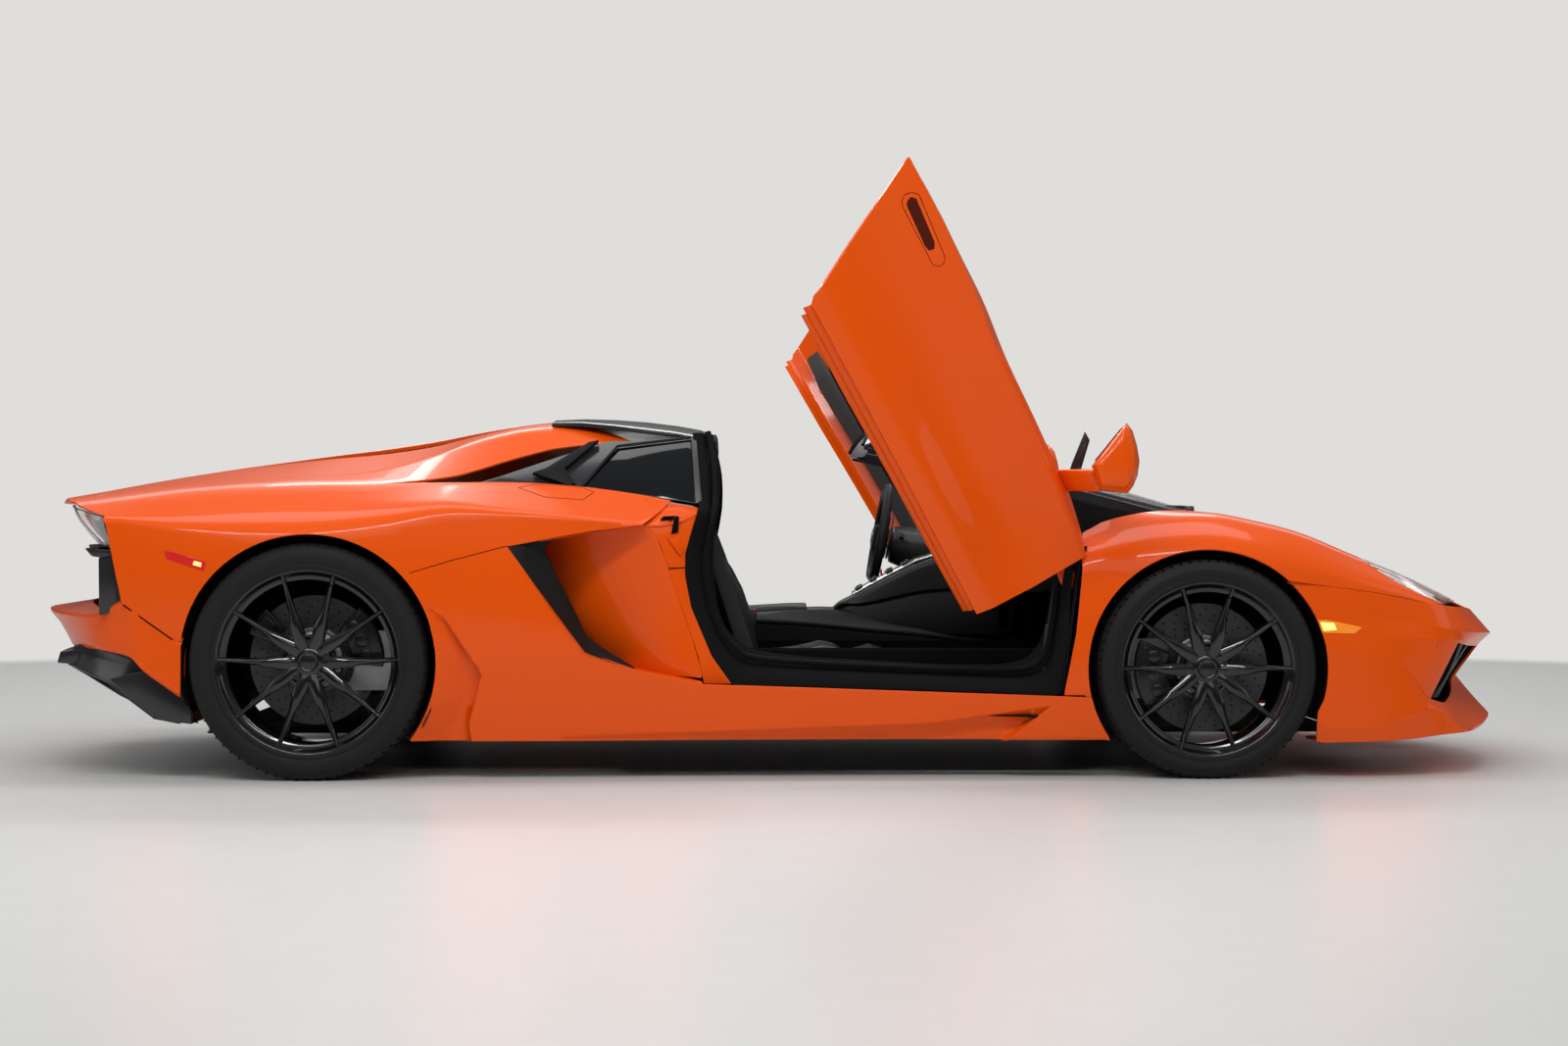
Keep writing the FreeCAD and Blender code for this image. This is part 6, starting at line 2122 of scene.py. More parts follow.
@dataclass
class ScissorDoor:
    """One door: outer skin, frame, trim, glass slot and mirror.

    Attributes:
        side: right or left.
    """

    side: str

    def build(self) -> None:
        """Builds the door shut, then raises it."""
        self.sign = SIDES[self.side]
        self.turn = door_turn(self.side)
        self._skin()
        self._frame()
        self._trim()
        self._mirror()

    def _put(self, piece: bpy.types.Object, finish: Finish, **kinds: object) -> None:
        """Settles a piece built shut on the right-hand side pattern.

        Args:
            piece: the object.
            finish: its surface finish.
            kinds: what else settle is told about it.
        """
        settle(place(piece, sign=self.sign), finish, body="door_" + self.side, turn=self.turn, **kinds)

    def _skin(self) -> None:
        """Painted outer panel with its handle recess."""
        pocket = [(-.256, .690), (-.256, .704), (-.246, .712), (-.075, .697), (-.055, .690), (-.052, .677),
                  (-.064, .672), (-.246, .685)]
        slot = Dent(pocket, [.004] * 8, depth=.020)
        skin = Skin(BODY_DOOR, (slot,))
        edge = [(-.357, .955), (-.30, .80), (-.22, .62), (-.13, .45), (-.05, .25),
                (.02, .14)] + [(u, .12) for u in np.linspace(.05, .66, 20)]
        edge += [(.80, .30), (.90, .62), (.955, .95)]
        edge += skin.on_side(thicken_line([(.969, .640), (.949, .44), (.912, .250)], .02, False), 1.0, 6.2)
        edge += skin.on_side(thicken_line([(.912, .250), (.45, .270), (-.150, .2885)], .03, False), 3,
                             6.2)[1:]
        edge += skin.on_side(thicken_line([(-.168, .305), (-.203, .395), (-.259, .533), (-.31, .648),
                                           (-.357, .750)], .02, False), 1.0, 6.2)
        made = panel("door_skin_" + self.side, Sheet(skin, edge, lines=slot.guides(skin, 1.0, 3.0)),
                     self.sign, thickness=.012)
        settle(made, PAINT, body="door_" + self.side, slot="paint", nodes=("door_" + self.side,),
               turn=self.turn)
        # Painted shade: a dark orange patch on the floor of the handle recess stands for the shade inside it.
        dark = [(-.250, .686), (-.256, .702), (-.244, .714), (-.105, .700), (-.088, .690), (-.092, .674),
                (-.110, .670), (-.240, .680)]
        made = panel("handle_slot_shade_" + self.side, Sheet(skin, skin.on_side(thicken_line(dark, .01), 1.0, 3)),
                     self.sign, thickness=.0006, edge=.0003, lift=.0008)
        settle(made, POCKET_SHADE, body="door_" + self.side, turn=self.turn)
        ring = [(-.261, .674), (-.272, .691), (-.265, .713), (-.249, .727), (-.050, .706), (-.037, .696),
                (-.034, .680), (-.049, .664), (-.245, .668), (-.261, .674)]
        groove("handle_seam_" + self.side, skin, skin.on_side(thicken_line(ring, .01, False), 1.0, 3),
               self.sign, width=.0018, body="door_" + self.side, turn=self.turn)

    def _frame(self) -> None:
        """Inner frame of the door with its seal, latch and rolled lower edge."""
        outline = [(-.118, .755), (.10, .742), (.45, .722), (.70, .700), (.80, .655), (.845, .60),
                   (.84, .46), (.815, .392), (.45, .385), (.0, .412), (-.06, .445), (-.105, .505),
                   (-.120, .60)]
        self._put(prism("door_frame_" + self.side, rounded(outline, radius=.02), .810, .892, bevel=.006,
                        segments=3), PAINT, slot="paint")
        outer = [(x + .010 * (1 if x > .36 else -1), z - (.014 if z > .56 else .010)) for x, z in outline]
        liner = [[(x, y, z) for y, z in ((.906, low), (.903, (low + .395) / 2), (.897, .395))]
                 for x, low in ((-.108, .345), (.0, .326), (.2, .322), (.45, .316), (.70, .308), (.86, .300))]
        self._put(quilt("door_liner_" + self.side, liner, .010, bevel=.003, way=(0, 1, 0)), SATIN_BLACK)
        seal = sweep("door_seal_" + self.side, [(x, .868, z)
                                                for x, z in thicken_line(rounded(outer, radius=.03), .03)],
                     circle(.007, 8), closed=True, up=(0, 1, 0))
        self._put(seal, SEAL)
        for n, rows in enumerate((((.944, .002), (.940, -.008), (.933, -.015), (.925, -.019)),
                                  ((.923, -.015), (.916, -.024), (.906, -.031)))):
            grid = [[(x, y, z + dz * k) for y, dz in rows]
                    for x, z, k in ((-.150 + .02 * n, .2885, 1), (.0, .284, 1), (.15, .279, 1),
                                    (.30, .275, .95), (.45, .270, .9), (.60, .264, .85), (.75, .257, .8),
                                    (.900, .2505, .7))]
            self._put(quilt(f"door_lip_{n}_{self.side}", grid, .006, bevel=.002, way=(0, -1, 0)), PAINT)
        latch = prism("latch", rounded([(-.136, .60), (-.112, .60), (-.112, .66), (-.136, .66)], radius=.006),
                      .838, .872, bevel=.003)
        claw = prism("claw", [(-.145, .618), (-.130, .618), (-.130, .640), (-.145, .640)], .848, .860,
                     bevel=.002)
        self._put(join("door_latch_" + self.side, [latch, claw]), STEEL)
        slot = quilt("window_slot_" + self.side, [[(x, y, z - .026) for y in (.804, .810, .816)]
                                                  for x, z in ((-.06, .792), (.15, .781), (.354, .757),
                                                               (.52, .746), (.70, .731))], .014, bevel=.004,
                     way=(0, 0, -1))
        self._put(slot, SEAL)

    def _trim(self) -> None:
        """Inner card: padded upper, armrest, pull and speaker."""
        card = [(-.105, .742), (.10, .730), (.45, .710), (.68, .690), (.78, .645), (.830, .595),
                (.826, .465), (.805, .402), (.45, .396), (.005, .423), (-.052, .454), (-.094, .510),
                (-.107, .60)]
        self._put(prism("door_card_" + self.side, rounded(card, radius=.03), .802, .815, bevel=.005,
                        segments=3), LEATHER)
        upper = [[(x, .804 - .014 * math.sin(math.pi * t), z_low + (z_high - z_low) * t)
                  for t in np.linspace(0, 1, 7)]
                 for x, z_low, z_high in ((-.09, .60, .728), (.0, .60, .724), (.15, .59, .716),
                                          (.40, .575, .700), (.62, .56, .684), (.76, .55, .640))]
        self._put(quilt("door_upper_" + self.side, upper, -.010, bevel=.003, smooth=1, way=(0, -1, 0)), SUEDE)
        arm_rows = []
        for x, z, reach in ((-.05, .502, .0), (.0, .504, .016), (.10, .506, .022), (.30, .512, .022),
                            (.45, .522, .018), (.52, .53, .0)):
            arm_rows.append([(x, .804, z - .035), (x, .804 - reach, z - .022), (x, .802 - reach, z + .010),
                             (x, .804, z + .022)])
        self._put(loft("door_armrest_" + self.side, arm_rows, bevel=.006, smooth=1), LEATHER)
        pull = sweep("door_pull_" + self.side,
                     curve_through([(.50, .800, .56), (.53, .786, .575), (.62, .782, .585),
                                    (.71, .786, .59), (.74, .800, .59)], 6), circle(.009, 10), up=(0, 1, 0))
        self._put(pull, GREY_TRIM)
        at = (.68, .801, .465)
        ring = lathe("speaker_ring", [(.050, 0), (.056, 0), (.057, -.003), (.054, -.005), (.050, -.003)], 48)
        self._put(place_named(ring, "speaker_ring_" + self.side, at), GREY_TRIM)
        face = lathe("speaker_face", [(.0003, -.001), (.050, -.001), (.050, -.002), (.025, -.003),
                                      (.0003, -.0035)], 48)
        self._put(place_named(face, "speaker_face_" + self.side, at), GRILLE)
        # Painted shade: dark dots in the shadow finish stand for the shade inside the grille's holes.
        dots = []
        for radius, lag in ((.010, 0), (.018, 7), (.026, 0), (.034, 5), (.042, 0)):
            a = math.radians(lag)
            dot = lathe("dot", [(.0001, -.0034), (.0019, -.0034), (.0019, -.0042), (.0001, -.0042)], 8)
            dots.append(place(dot, (radius * math.sin(a), 0, radius * math.cos(a))))
        dots = Repeater.run(join("speaker_holes_" + self.side, dots), SHADOW, 18, 20)
        self._put(place(dots, at), SHADOW)
        lines = []
        for x0, z0, x1, z1 in ((-.08, .578, .76, .528), (-.05, .455, .56, .435)):
            path = [(x0 + (x1 - x0) * t, .8010, z0 + (z1 - z0) * t + .010 * math.sin(math.pi * t))
                    for t in np.linspace(0, 1, 20)]
            lines.append(sweep("seam", path, circle(.0012, 6), up=(0, 1, 0)))
        self._put(join("door_stitching_" + self.side, lines), THREAD)
        switch = prism("door_switch_" + self.side,
                       rounded([(.18, .520), (.30, .524), (.30, .538), (.18, .534)], radius=.004), .780, .790,
                       bevel=.002)
        self._put(switch, GLOSS_BLACK)

    def _mirror(self) -> None:
        """Mirror housing, glass, arm and the dark blade ahead of the window, built raised."""
        contour = [(.9795, .937), (1.030, 1.000), (1.0846, 1.067), (1.102, 1.044), (1.115, 1.000),
                   (1.1225, .954), (1.1167, .911), (1.104, .880), (1.0877, .8585), (1.045, .862),
                   (1.0036, .867), (.998, .890), (.990, .915)]
        centre = (1.062, .945)
        rows = []
        for y, grow in ((.925, .35), (.935, .62), (.95, .80), (.975, .92), (1.01, .99), (1.06, 1.0),
                        (1.11, .99), (1.15, .96), (1.175, .90), (1.190, .80), (1.199, .55)):
            rows.append([(centre[0] + (x - centre[0]) * grow - .16 * (y - 1.09), y,
                          centre[1] + (z - centre[1]) * grow) for x, z in contour])
        head = loft("mirror_head_" + self.side, rows, bevel=.002)
        self._raised(head, PAINT, slot="paint", nodes=("mirror_" + self.side,))
        glass = quilt("mirror_glass_" + self.side, [[(.9785 + .105 * t - .16 * (y - 1.09), y,
                                                      .9375 + .130 * t) for t in np.linspace(.12, .88, 5)]
                                                    for y in (1.0, 1.03, 1.06, 1.10, 1.14)], .001,
                      bevel=.0003, way=(-.8, 0, .6))
        self._raised(glass, REFLECTOR)
        arm = loft("mirror_arm_" + self.side, [[(x + dx, y, z + dz)
                                                for dx, dz in ((-.040, .028), (.030, .030), (.038, -.014),
                                                               (-.004, -.040))]
                                               for x, y, z in ((.925, .895, .903), (.950, .935, .903),
                                                               (.985, .975, .901), (1.020, 1.010, .900))],
                   bevel=.008, segments=3)
        self._raised(arm, PAINT, slot="paint")
        blade = prism("quarter_light_" + self.side, [(.952, .930), (.960, .955), (.999, 1.051),
                                                     (1.014, 1.024), (.986, .930)], .790, .800, bevel=.002)
        self._raised(blade, GLOSS_BLACK)

    def _raised(self, piece: bpy.types.Object, finish: Finish, **kinds: object) -> None:
        """Settles a piece that was drawn where it stands with the door up.

        Args:
            piece: the object.
            finish: its surface finish.
            kinds: what else settle is told about it.
        """
        settle(place(piece, sign=self.sign), finish, body="door_" + self.side, **kinds)


def place_named(piece: bpy.types.Object, name: str, at: Point3) -> bpy.types.Object:
    """Names a piece and moves its mesh.

    Args:
        piece: the object.
        name: its new name.
        at: how far it moves.

    Returns:
        The same object.
    """
    piece.name = name
    return place(piece, at)


# ------------------------------------------------------------------ sides
@dataclass
class SideOpenings:
    """Intake scoops, black blades, door jambs, aperture seals and roof bridge."""

    def build(self) -> None:
        """Builds both sides and the bridge."""
        for side, sign in SIDES.items():
            self._scoop(side, sign)
            self._jamb(side, sign)
            self._aperture(side, sign)
            self._window(side, sign)
        self._bridge()

    @staticmethod
    def _between(a: list[Point3], b: list[Point3], shares: tuple[float, ...],
                 bulge: Point3 = (0, 0, 0)) -> list[list[Point3]]:
        """Rows of points between two lines of equal count.

        Args:
            a: the first line.
            b: the second line.
            shares: shares of the way from one to the other.
            bulge: how far the middle is pushed out.

        Returns:
            The rows.
        """
        return [[tuple(p[i] + (q[i] - p[i]) * t + bulge[i] * math.sin(math.pi * t) for i in range(3))
                 for t in shares] for p, q in zip(a, b)]

    def _scoop(self, side: str, sign: int) -> None:
        """Painted throat of the intake with the black blade over its rear edge.

        Args:
            side: right or left.
            sign: -1 for the right of the car, 1 for the left.
        """
        jamb = [(-.348, .929, .768), (-.325, .926, .745), (-.301, .922, .712), (-.276, .918, .636),
                (-.235, .915, .515), (-.185, .930, .367), (-.170, .940, .300)]
        deep = [(-.70, .74, .745), (-.70, .74, .715), (-.69, .75, .67), (-.66, .76, .60), (-.60, .775, .50),
                (-.50, .79, .38), (-.44, .80, .325)]
        rows = self._between(jamb, deep, (0, .03, .07, .14, .25, .4, .55, .7, .85, 1.0), (0, .022, 0))
        wall = quilt("scoop_wall_" + side, rows, .006, way=(0, -1, 0), smooth=1)
        settle(place(wall, sign=sign), PAINT, slot="paint", nodes=("side_intakes",) if sign < 0 else ())
        outer = [(-.757, .962, .699), (-.69, .958, .713), (-.615, .954, .725), (-.50, .950, .745),
                 (-.42, .948, .757), (-.348, .947, .764)]
        inner = [(-.70, .74, .74), (-.64, .74, .748), (-.57, .76, .755), (-.49, .79, .76),
                 (-.42, .83, .765), (-.36, .88, .767)]
        roof = quilt("scoop_roof_" + side, self._between(outer, inner, (0, .3, .6, 1)), .004, way=(0, 0, -1))
        settle(place(roof, sign=sign), PAINT)
        edge = [(-.522, .975, .381), (-.45, .972, .353), (-.375, .968, .328), (-.30, .963, .311),
                (-.23, .959, .296), (-.169, .956, .283)]
        far = [(-.53, .79, .372), (-.46, .80, .345), (-.39, .82, .330), (-.32, .85, .318),
               (-.24, .88, .305), (-.172, .92, .294)]
        floor = quilt("scoop_floor_" + side,
                      self._between(edge, far, (0, .04, .1, .4, .7, 1), (0, 0, .006)), .006, way=(0, 0, -1),
                      smooth=1)
        settle(place(floor, sign=sign), PAINT)
        fore = [(-.757, .986, .702), (-.72, .990, .652), (-.67, .994, .583), (-.61, .996, .502),
                (-.56, .992, .433), (-.522, .988, .383), (-.45, .980, .355), (-.375, .972, .330)]
        back = [(-.613, .950, .729), (-.651, .935, .692), (-.622, .928, .630), (-.577, .925, .545),
                (-.543, .927, .473), (-.520, .930, .425), (-.456, .942, .383), (-.377, .962, .337)]
        rows = self._between(fore, back, (0, .06, .35, .7, .94, 1.0), (0, -.004, 0))
        blade = quilt("intake_blade_" + side, rows, .014, bevel=.003, way=(0, -1, 0))
        settle(place(blade, sign=sign), GREY_TRIM, slot="gloss_black")
        # Partly painted shade: a near-black sheet behind the blade stands for the dark duct and for the shade
        # in the deep rear of the scoop.
        shade = self._between([(x, y - .016, z) for x, y, z in back],
                              [(-.74, .76, .70), (-.74, .76, .67), (-.73, .76, .61), (-.68, .76, .54),
                               (-.64, .76, .48), (-.60, .77, .43), (-.52, .78, .39), (-.44, .80, .345)],
                              (0, .25, .5, .75, 1))
        settle(place(quilt("intake_throat_shade_" + side, shade, .004, way=(0, -1, 0)), sign=sign), SHADOW)
        bars = []
        for t in np.linspace(.06, .94, 12):
            i = min(int(t * 7), 6)
            part = t * 7 - i
            p = [back[i][n] + (back[i + 1][n] - back[i][n]) * part for n in range(3)]
            q = [shade[i][-1][n] + (shade[i + 1][-1][n] - shade[i][-1][n]) * part for n in range(3)]
            path = [tuple(p[n] + (q[n] - p[n]) * u + (0, .006, 0)[n] for n in range(3))
                    for u in np.linspace(.04, .9, 5)]
            bars.append(sweep("bar", path, circle(.0024, 6)))
        settle(place(join("intake_bars_" + side, bars), sign=sign), GRILLE)

    def _jamb(self, side: str, sign: int) -> None:
        """Painted jamb behind the door with its latch recess.

        Args:
            side: right or left.
            sign: -1 for the right of the car, 1 for the left.
        """
        left = [(-.342, .925, .762), (-.301, .918, .708), (-.276, .914, .636), (-.257, .911, .575),
                (-.235, .911, .515), (-.185, .926, .367), (-.168, .936, .287)]
        right = [(-.190, .870, .800), (-.207, .888, .744), (-.225, .895, .678), (-.226, .896, .612),
                 (-.207, .896, .514), (-.145, .898, .367), (-.086, .900, .284)]
        rows = self._between(left, right, (0, .04, .3, .6, .9, 1.0), (0, .003, 0))
        settle(place(quilt("jamb_panel_" + side, rows, .008, bevel=.002, way=(0, -1, 0)), sign=sign), PAINT,
               slot="paint")
        top = [[(-.347, .930, .764), (-.310, .87, .797), (-.271, .802, .832)],
               [(-.300, .918, .766), (-.265, .86, .797), (-.235, .802, .826)],
               [(-.240, .900, .777), (-.215, .85, .800), (-.190, .802, .818)],
               [(-.192, .873, .797), (-.189, .84, .806), (-.186, .802, .814)]]
        settle(place(quilt("jamb_top_" + side, top, .008, bevel=.002, way=(0, 0, -1)), sign=sign), PAINT)
        # Painted shade: solid blocks in the shadow finish stand for the shade inside the latch recess.
        notch = prism("latch_notch", [(-.268, .735), (-.246, .742), (-.244, .790), (-.256, .792)], .878,
                      .909, bevel=.001)
        slot = prism("latch_slot", [(-.300, .782), (-.292, .790), (-.256, .792), (-.264, .778)], .880, .909,
                     bevel=.001)
        settle(place(join("latch_recess_" + side, [notch, slot]), sign=sign), SHADOW)
        chamfer = [[(-.279, .9195, .727), (-.262, .913, .722), (-.246, .904, .737)],
                   [(-.264, .9185, .705), (-.252, .913, .700), (-.238, .904, .715)],
                   [(-.240, .9130, .672), (-.236, .909, .676), (-.228, .901, .690)]]
        settle(place(quilt("latch_chamfer_" + side, chamfer, .004, bevel=.001, way=(0, -1, 0)), sign=sign),
               PAINT)
        seam = sweep("jamb_seam_" + side, [(-.2755, .918, .633), (-.25, .909, .634), (-.226, .898, .635)],
                     circle(.0014, 6), up=(0, 1, 0))
        settle(place(seam, sign=sign), SHADOW)

    def _aperture(self, side: str, sign: int) -> None:
        """Black surround of the door opening with its ridge seal.

        Args:
            side: right or left.
            sign: -1 for the right of the car, 1 for the left.
        """
        outer = [(-.207, .640, 1.050), (-.198, .700, .945), (-.187, .775, .840), (-.187, .865, .806),
                 (-.207, .885, .744), (-.226, .892, .660), (-.222, .893, .570), (-.203, .893, .505),
                 (-.162, .893, .395), (-.118, .893, .315), (-.084, .892, .2835), (.10, .884, .2765),
                 (.40, .882, .266), (.70, .882, .256), (.900, .882, .249), (.932, .880, .300),
                 (.940, .878, .44), (.950, .870, .600), (.962, .855, .690)]
        inner = [(-.143, .600, 1.048), (-.122, .665, .947), (-.120, .735, .845), (-.128, .775, .780),
                 (-.140, .785, .710), (-.142, .790, .640), (-.136, .792, .577), (-.122, .795, .500),
                 (-.098, .797, .445), (-.055, .800, .407), (.0, .800, .380), (.177, .800, .360),
                 (.40, .800, .347), (.60, .800, .338), (.78, .800, .345), (.850, .800, .390),
                 (.880, .800, .47), (.900, .800, .600), (.915, .80, .680)]
        shares = (0, .04, .16, .40, .52, .58, .66, .75, .83, .90, 1.0)
        lifts = (0, .002, .006, .008, .005, -.002, .012, .018, .012, .0, -.004)
        rows = []
        for p, q in zip(outer, inner):
            rows.append([tuple(p[i] + (q[i] - p[i]) * t + (0, h, h * .35)[i] for i in range(3))
                         for t, h in zip(shares, lifts)])
        rows = [list(r) for r in zip(*[curve_through([row[i] for row in rows], 4)
                                       for i in range(len(shares))])]
        band = quilt("door_aperture_" + side, rows, .012, way=(0, -1, 0))
        settle(place(band, sign=sign), SILL_BLACK)
        ridge = [tuple(p[i] + (q[i] - p[i]) * .75 + (0, .012, .004)[i] for i in range(3))
                 for p, q in zip(outer, inner)]
        seal = sweep("aperture_seal_" + side, curve_through(ridge, 5), circle(.010, 10), up=(0, 1, 0))
        settle(place(seal, sign=sign), SEAL)
        shelf = self._between([(x, .940, z - .062) for x, y, z in outer[9:15]],
                              [(x, .872, z - .055) for x, y, z in outer[9:15]], (0, .5, 1))
        settle(place(quilt("sill_channel_" + side, shelf, .006, bevel=.001, way=(0, 0, -1)), sign=sign),
               SILL_BLACK)
        kick = [(x, y - .002, z - .004) for x, y, z in inner[10:15]]
        plate = quilt("sill_plate_" + side,
                      self._between(kick, [(x, .640, z - .02) for x, y, z in kick], (0, .15, .5, 1)), .010,
                      bevel=.003, way=(0, 0, -1))
        settle(place(plate, sign=sign), CARBON)
        drop = quilt("sill_inner_" + side,
                     self._between([(x, .642, .37) for x in (-.12, .1, .4, .7, .9)],
                                   [(x, .628, .15) for x in (-.12, .1, .4, .7, .9)], (0, .5, 1)), .008,
                     bevel=.002, way=(0, 1, 0))
        settle(place(drop, sign=sign), CARPET)

    @staticmethod
    def _lean(x: float, z: float, deep: float = 0.0) -> Point3:
        """A point on the plane that leans in over the crest of the rear wing.

        Args:
            x: its x.
            z: its height.
            deep: how far it lies behind the plane.

        Returns:
            The point.
        """
        return (x, .776 - (z - .84) * .68 - deep * .82, z - deep * .56)

    def _window(self, side: str, sign: int) -> None:
        """Recess under the buttress, its grey fin, and the small fixed window.

        Args:
            side: right or left.
            sign: -1 for the right of the car, 1 for the left.
        """
        def plate(name: str, points: list[Point2], deep: float, thick: float,
                  bevel: float = .0015) -> bpy.types.Object:
            """Plate that lies on the leaning plane.

            Args:
                name: object name.
                points: its corners as (x, height).
                deep: how far its face lies behind the plane.
                thick: its thickness.
                bevel: edge radius.

            Returns:
                The object.
            """
            return place(loft(name, [[self._lean(x, z, d) for x, z in points]
                                     for d in (deep, deep + thick)], bevel=bevel), sign=sign)

        back = [(-1.02, .880), (-.93, .886), (-.80, .925), (-.65, .977), (-.47, 1.036), (-.40, 1.036),
                (-.21, 1.052), (-.15, 1.046), (-.165, .810), (-.30, .838), (-.55, .876), (-.80, .884)]
        settle(plate("buttress_recess_" + side, back, .018, .006), GLOSS_BLACK, slot="gloss_black")
        fin = [(-.700, .925), (-.658, .940), (-.529, 1.022), (-.499, 1.028), (-.602, .939), (-.566, .893),
               (-.585, .884), (-.640, .905)]
        settle(plate("buttress_fin_" + side, fin, -.002, .016), GREY_TRIM)
        glass = [(-.545, .886), (-.440, 1.006), (-.209, 1.034), (-.186, .832), (-.30, .850)]
        settle(plate("quarter_window_" + side, glass, .006, .004), DARK_GLASS)
        rim = thicken_line([(-.545, .884), (-.440, 1.010), (-.209, 1.038)], .03, False)
        strip = sweep("window_edge_" + side, [self._lean(x, z, .002) for x, z in rim],
                      [(-.004, -.003), (.004, -.003), (.004, .003), (-.004, .003)], up=(0, 1, .5),
                      bevel=.001)
        settle(place(strip, sign=sign), GREY_TRIM)
        post = [(-.212, 1.040), (-.196, 1.038), (-.176, .832), (-.196, .828)]
        settle(plate("window_post_" + side, post, -.004, .012), SATIN_BLACK)

    def _bridge(self) -> None:
        """Gloss black bridge behind the seats with its header, seal, rear window, bulkhead trim and shelf."""
        spine = Skin(BODY_REAR)
        rows = []
        for x in (-.655, -.56, -.46, -.36, -.26, -.19, -.150):
            reach = min(.475 + max(x + .655, 0) * .52, .612)
            line = []
            for t in np.linspace(-1, 1, 25):
                y = reach * t
                z = float(spine.at(np.array([x]), np.array([0.0]))[0][2])
                line.append((x, y, z + .003 - .105 * abs(y)**2.4 - .04 * max(abs(y) - .45, 0)
                             - (.006 if x > -.16 else 0)))
            rows.append(line)
        top = quilt("roof_bridge_panel", rows, .014, bevel=.004, way=(0, 0, -1))
        settle(top, GLOSS_BLACK, slot="gloss_black", nodes=("roof_bridge",))
        front = [[(x, y, z - drop) for x, y, z in rows[-1]] for drop in (.012, .045, .085)]
        settle(quilt("bridge_header", front, .020, bevel=.003, way=(-1, 0, 0)), SATIN_BLACK)
        seal = sweep("bridge_seal", [(x + .008, y, z - .010) for x, y, z in rows[-1]], circle(.009, 8))
        settle(seal, SEAL)
        window = [[(-.235 - .03 * t, y, .80 + .225 * t - .06 * (y / .5)**2 * t)
                   for y in np.linspace(-.50, .50, 13)] for t in np.linspace(0, 1, 5)]
        settle(quilt("rear_window", window, .005, way=(-1, 0, 0)), DARK_GLASS)
        wall = [[(-.215 - .02 * t, y, .30 + .50 * t) for y in np.linspace(-.62, .62, 13)]
                for t in np.linspace(0, 1, 5)]
        settle(quilt("rear_bulkhead_trim", wall, .012, bevel=.004, way=(-1, 0, 0)), SUEDE)
        shelf = [[(x, y, z) for y in np.linspace(-.76, .76, 13)]
                 for x, z in ((-.16, .800), (-.20, .806), (-.30, .806), (-.34, .79))]
        settle(quilt("rear_shelf", shelf, .012, bevel=.004, way=(0, 0, -1)), SUEDE)


# ------------------------------------------------------------------ padding
def coordinates(piece: bpy.types.Object) -> np.ndarray:
    """Vertex places of a piece.

    Args:
        piece: the object.

    Returns:
        One row for each vertex.
    """
    flat = np.empty(len(piece.data.vertices) * 3)
    piece.data.vertices.foreach_get("co", flat)
    return flat.reshape(-1, 3)


def puff(piece: bpy.types.Object, voxel: float = 0.010, reach: float = 0.012) -> bpy.types.Object:
    """Fills a pad out with cloth under pressure and rounds it.

    Args:
        piece: closed pad, a little smaller than it is to be.
        voxel: size of the even mesh it is given.
        reach: the furthest a point may move.

    Returns:
        The same object, with nothing live on it.
    """
    even = piece.modifiers.new("even", "REMESH")
    even.mode, even.voxel_size = "VOXEL", voxel
    bake(piece, 80)
    start = coordinates(piece)
    cloth = piece.modifiers.new("cloth", "CLOTH")
    cloth.settings.quality = 4
    cloth.settings.use_pressure = True
    cloth.settings.uniform_pressure_force = 4.0
    cloth.settings.effector_weights.gravity = 0
    for number in range(1, 21):
        bpy.context.scene.frame_set(number)
    bake(piece, 80)
    bpy.context.scene.frame_set(1)
    move = coordinates(piece) - start
    length = np.maximum(np.linalg.norm(move, axis=1), 1e-9)
    piece.data.vertices.foreach_set("co", (start + move * np.minimum(1, reach / length)[:, None]).ravel())
    rounder = piece.modifiers.new("round", "SUBSURF")
    rounder.levels = rounder.render_levels = 1
    return bake(piece, 80)


def press(piece: bpy.types.Object, lines: list[list[Point3]], width: float = .007,
          depth: float = .005) -> bpy.types.Object:
    """Draws sewn channels into a pad along lines near its surface.

    Args:
        piece: the pad.
        lines: the lines.
        width: reach of a channel to each side.
        depth: how deep it is.

    Returns:
        The same object.
    """
    here = coordinates(piece)
    normals = np.array([v.normal[:] for v in piece.data.vertices])
    near = np.full(len(here), 9.0)
    for line in lines:
        for spot in np.array(curve_through(line, 12)):
            near = np.minimum(near, np.linalg.norm(here - spot, axis=1))
    sink = depth * np.exp(-(near / width)**2)
    piece.data.vertices.foreach_set("co", (here - normals * sink[:, None]).ravel())
    piece.data.update()
    return piece


def lay_on(piece: bpy.types.Object, line: list[Point3], way: Point3, lift: float = .0006) -> list[Point3]:
    """Drops the points of a line onto a piece.

    Args:
        piece: what they land on.
        line: points on or over it.
        way: direction of the drop.
        lift: how far they stay off.

    Returns:
        The points that land.
    """
    tree = BVHTree.FromPolygons([v.co[:] for v in piece.data.vertices],
                                [p.vertices[:] for p in piece.data.polygons])
    drop = Vector(way).normalized()
    landed = []
    for point in line:
        hit = tree.ray_cast(Vector(point) - drop * .12, drop, .3)
        if hit[0] is not None:
            landed.append(tuple(hit[0] - drop * lift))
    return landed


